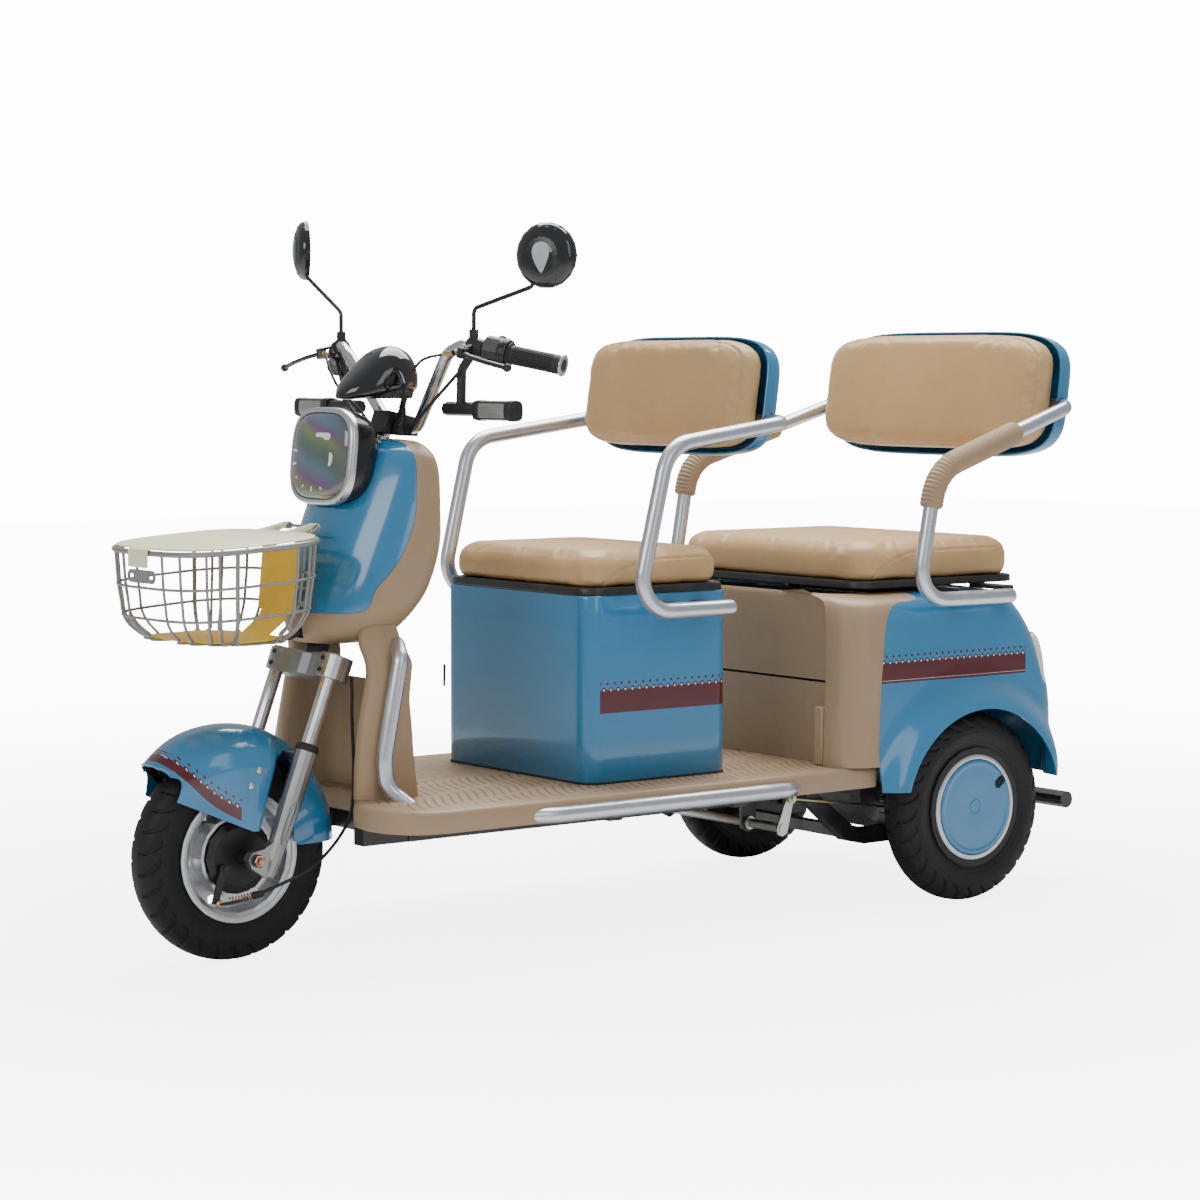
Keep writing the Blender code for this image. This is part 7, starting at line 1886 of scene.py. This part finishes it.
POD_SECTIONS = [(0.2285, 0.9735, 0.0040, 0.0035), (0.2290, 0.974, 0.008, 0.007), (0.246, 0.981, 0.032, 0.021),
                (0.274, 0.992, 0.049, 0.036), (0.304, 1.004, 0.057, 0.049), (0.334, 1.010, 0.059, 0.053),
                (0.358, 1.008, 0.053, 0.047), (0.3715, 1.002, 0.040, 0.035)]
gloss_black = Finish("gloss black", (0.006, 0.006, 0.007), 0.09, 0.0, Coat_Weight=0.7, Coat_Roughness=0.03)
smudge = gloss_black.ramp(gloss_black.noise(18.0, 4.0, 0.6), 0.45, 0.75)
gloss_black.drive(Roughness=smudge * 0.10 + 0.07)


def pod():
    """Egg-shaped rings: full above, flattened below by a factor that runs to 0.55."""
    rings = evenly(through(POD_SECTIONS, 8), 60)
    around = 96
    angle = 2 * math.pi * np.arange(around) / around
    across = np.sign(np.cos(angle)) * np.abs(np.cos(angle)) ** 0.86
    up = np.where(np.sin(angle) > 0, np.abs(np.sin(angle)) ** 0.92, -0.62 * np.abs(np.sin(angle)) ** 0.5)
    y, z, half, height = (column[:, None] for column in rings.T)
    grid = np.stack([half * across, np.broadcast_to(y, (len(rings), around)), z + height * up], -1)
    return surface(grid, columns=True, ends="fan")


fitted(made("instrument_pod", gloss_black, pod(), angle=60), "steering", "gloss_black", "dash_pod")
lower = layers(evenly(through([(0.046, 0.300), (0.050, 0.330), (0.044, 0.360), (0.0, 0.370), (-0.044, 0.360),
                               (-0.050, 0.330), (-0.046, 0.300), (0.0, 0.262)], 6, True), 72, True),
               [(0.0, 0.986), (0.0015, 0.9735), (0.004, 0.9700)])
fitted(made("pod_under_cover", crown_black, surface(lower, columns=True, ends="flat"), angle=40), "steering",
       "black_plastic")
screen = [(0.0405 * math.cos(a), 0.0300 * math.sin(a)) for a in np.linspace(0, 2 * math.pi, 48,
                                                                            endpoint=False)]
screen = surface(np.stack([[(x, 0.3700 - 0.10 * z, 1.004 + z) for x, z in screen], [(x * 0.94,
                                                                                     0.3728 - 0.10 * z,
                                                                                     1.004 + z * 0.94)
                                                                  for x, z in screen]]), columns=True,
                 ends="flat")
fitted(made("pod_screen", Finish("dark glass", (0.010, 0.014, 0.018), 0.05), screen), "steering",
       "clear_lens")


def corrugated(path, radius, pitch=0.0042, depth=0.0009, sides=16):
    """A loom whose radius swells and shrinks along its length."""
    length = np.linalg.norm(np.diff(path, axis=0), axis=1).sum()
    count = int(length / pitch) * 6
    path = evenly(path, count)
    ring = swept(path, 1.0, sides)
    swell = radius + depth * np.cos(np.arange(count) * 2 * math.pi / 6)
    return surface(path[:, None] + (ring - path[:, None]) * swell[:, None, None], columns=True, ends="flat")


loom = corrugated(through([(0.034, 0.350, 0.985), (0.038, 0.336, 0.945), (0.0300, 0.3315, 0.9200), (0.026,
                                                                                                    0.330, 0.9090)], 6), 0.0058)
fitted(made("loom", crown_black, loom, angle=50), "steering", "black_plastic")


# Controls
# On each side: the lever's perch, a switch housing, the arm of the turn signal with its smoky
# lamp, the mirror's boss, and the wires and cables that run from them into the column.

for node in ("left_controls", "right_controls", "horn_button", "brake_lever_left", "brake_lever_right"):
    dressed(node, moulded_black(node.replace("_", " "), 0.014, 0.34, 0.00010, 500.0))
smoky = Finish("smoky lens", (0.30, 0.30, 0.29), 0.12, 0.0, Coat_Weight=0.5)
x, y, z = smoky.axes()
# Each 3 mm band is painted dark at its foot and pale at its top: painted shade and painted highlight on the lens's
# ribs, over a bump of the same bands.
facet = (z * 320).one_of("FRACT")
smoky.drive(Base_Color=smoky.tint(facet, (0.16, 0.16, 0.155), (0.34, 0.335, 0.32)),
            Normal=smoky.relief(facet, 0.0006))
brass = plated("brass", (0.60, 0.44, 0.18), (0.50, 0.38, 0.18))


def slab(low, high, edge):
    """A block along x with rounded edges: four rings, the outer two drawn in."""
    (x0, y0, z0), (x1, y1, z1) = low, high
    base = np.array([(y0 + edge, z0), (y1 - edge, z0), (y1, z0 + edge), (y1, z1 - edge), (y1 - edge, z1),
                     (y0 + edge, z1),
                     (y0, z1 - edge), (y0, z0 + edge)])
    base = evenly(through(base, 4, True), 48, True)
    middle = base.mean(0)
    rings = [(x0, 0.90), (x0 + 0.002, 0.97), (x0 + 0.005, 1.0), (x1 - 0.005, 1.0), (x1 - 0.002, 0.97), (x1,
                                                                                                        0.90)]
    return surface(np.stack([np.insert(middle + (base - middle) * k, 0, x, axis=1) for x, k in rings]),
                   columns=True,
                   ends="flat")


for side, word in ((1, "left"), (-1, "right")):
    flip = (side, 1, 1)
    lens = slab((0.2500, 0.3515, 0.9345), (0.3300, 0.3805, 0.9675), 0.007)
    lens = (lens[0] * flip, lens[1])
    fitted(made("signal_lens_" + word, smoky, lens, angle=40), "steering", "clear_lens")
    for x0, x1, part in ((0.2340, 0.2530, "root"), (0.3280, 0.3445, "cap")):
        end = slab((x0, 0.3505, 0.9335), (x1, 0.3815, 0.9685), 0.007)
        fitted(made("signal_%s_%s" % (part, word), crown_black, (end[0] * flip, end[1]), angle=40),
               "steering",
               "black_plastic")
    root, length = (0.0715, 0.0165) if side > 0 else (0.0455, 0.0425)
    start, way = bar_point(root, side), GRIP_WAY * flip
    size = 0.0262 if side > 0 else 0.0215
    shell = turned([(0.0, 0.0120), (0.0, size - 0.004), (0.0015, size - 0.001), (0.0045, size),
                    (length - 0.0045, size),
                    (length - 0.0015, size - 0.001), (length, size - 0.004), (length, 0.0120)], start, way,
                   72)
    fitted(made("switch_housing_" + word, crown_black, shell, angle=35), "steering", "black_plastic")
    join = turned([(0.0, size - 0.0002), (0.0, size + 0.0004), (0.0010, size + 0.0004), (0.0010,
                                                                                         size - 0.0002)],
                  bar_point(root + length / 2, side), way, 72)
    fitted(made("housing_join_" + word, dark_inside, join), "steering", "black_plastic")
    adjuster = turned([(0.0, 0.0), (0.0, 0.0052), (0.003, 0.0052), (0.0035, 0.0040), (0.010, 0.0040),
                       (0.0105, 0.0050),
                       (0.016, 0.0050), (0.0165, 0.0026), (0.028, 0.0024), (0.028, 0.0)],
                      np.array((0.2070, 0.3320, 1.0500)) * flip, (-0.90 * side, -0.30, -0.10), 20)
    fitted(made("cable_adjuster_" + word, brass, adjuster), "steering", "zinc_yellow")
    cable = through(np.array([(0.1830, 0.3240, 1.0470), (0.1500, 0.3020, 1.0350), (0.1080, 0.2980, 0.9900),
                              (0.0700, 0.3230, 0.9450), (0.0480, 0.3400, 0.9060)]) * flip, 8)
    wires = through(np.array([(0.2150, 0.3640, 1.0400), (0.1800, 0.3500, 1.0050), (0.1260, 0.3340, 0.9550),
                              (0.0820, 0.3370, 0.9260), (0.0500, 0.3450, 0.9060)]) * flip, 8)
    fitted(made("lever_cable_" + word, dark_inside, bar(cable, 0.0026, 10)), "steering", "black_rubber")
    fitted(made("switch_wires_" + word, dark_inside, bar(wires, 0.0032, 10)), "steering", "black_rubber")
    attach(made("lever_ball_" + word, crown_black, turned(
        [(-0.0076, 0.0), (-0.0064, 0.0042), (-0.0040, 0.0066), (0.0, 0.0076), (0.0040, 0.0066), (0.0064,
                                                                                                 0.0042),
         (0.0076, 0.0)], np.array((0.356, 0.339, 1.024)) * flip, (1, 0, 0), 32)), "lever_" + word)


# Mirrors
# Round black shells on thin bent steel stems, with a pale drop-shaped inlay on the back and a
# silvered glass behind a rim. Each head turns on a knuckle.

mirror_glass = Finish("mirror glass", (0.80, 0.82, 0.84), 0.02, 1.0)
inlay = Finish("pale inlay", (0.42, 0.43, 0.45), 0.30)
for side, word, height in ((1, "left", 1.214), (-1, "right", 1.244)):
    flip = (side, 1, 1)
    head = "mirror_%s_head" % word
    dressed("mirror_" + word, moulded_black("mirror black " + word, 0.012, 0.24, 0.00008, 500.0))
    centre = np.array((0.384, 0.399, height)) * flip
    facing = np.array((-math.sin(math.radians(27)) * side, math.cos(math.radians(27)), 0))
    glass = turned([(0.0078, 0.0), (0.0078, 0.0520), (0.0086, 0.0524), (0.0092, 0.0500), (0.0096, 0.0)],
                   centre, facing, 72)
    fitted(made("mirror_glass_" + word, mirror_glass, glass), head, "clear_lens")
    back = turned([(0.0080, 0.0), (0.0078, 0.0545), (0.0040, 0.0551), (0.0, 0.0549), (-0.0060, 0.0524),
                   (-0.0120, 0.0450),
                   (-0.0165, 0.0300), (-0.0190, 0.0150), (-0.0200, 0.0)], centre, facing, 96)
    fitted(made("mirror_shell_" + word, gloss_black, back, angle=50), head, "gloss_black")
    across = np.cross(facing, (0, 0, 1.0))
    drop = [(0.0145 * math.sin(a) * (1 + 0.55 * math.cos(a)), -0.004 + 0.026 * math.cos(a))
            for a in np.linspace(0, 2 * math.pi, 48, endpoint=False)]
    outline = np.array([centre + across * u + np.array((0, 0, 1.0)) * v
                        - facing * (0.0212 - 0.0042 * ((u * u + v * v) / 0.0009)) for u, v in drop])
    middle = outline.mean(0) - facing * 0.0010
    fan = np.stack([outline + facing * 0.003, outline, middle + (outline - middle) * 0.5 - facing * 0.0006])
    fitted(made("mirror_inlay_" + word, inlay, surface(fan, columns=True, ends="flat"), angle=60), head,
           "cast_grey")
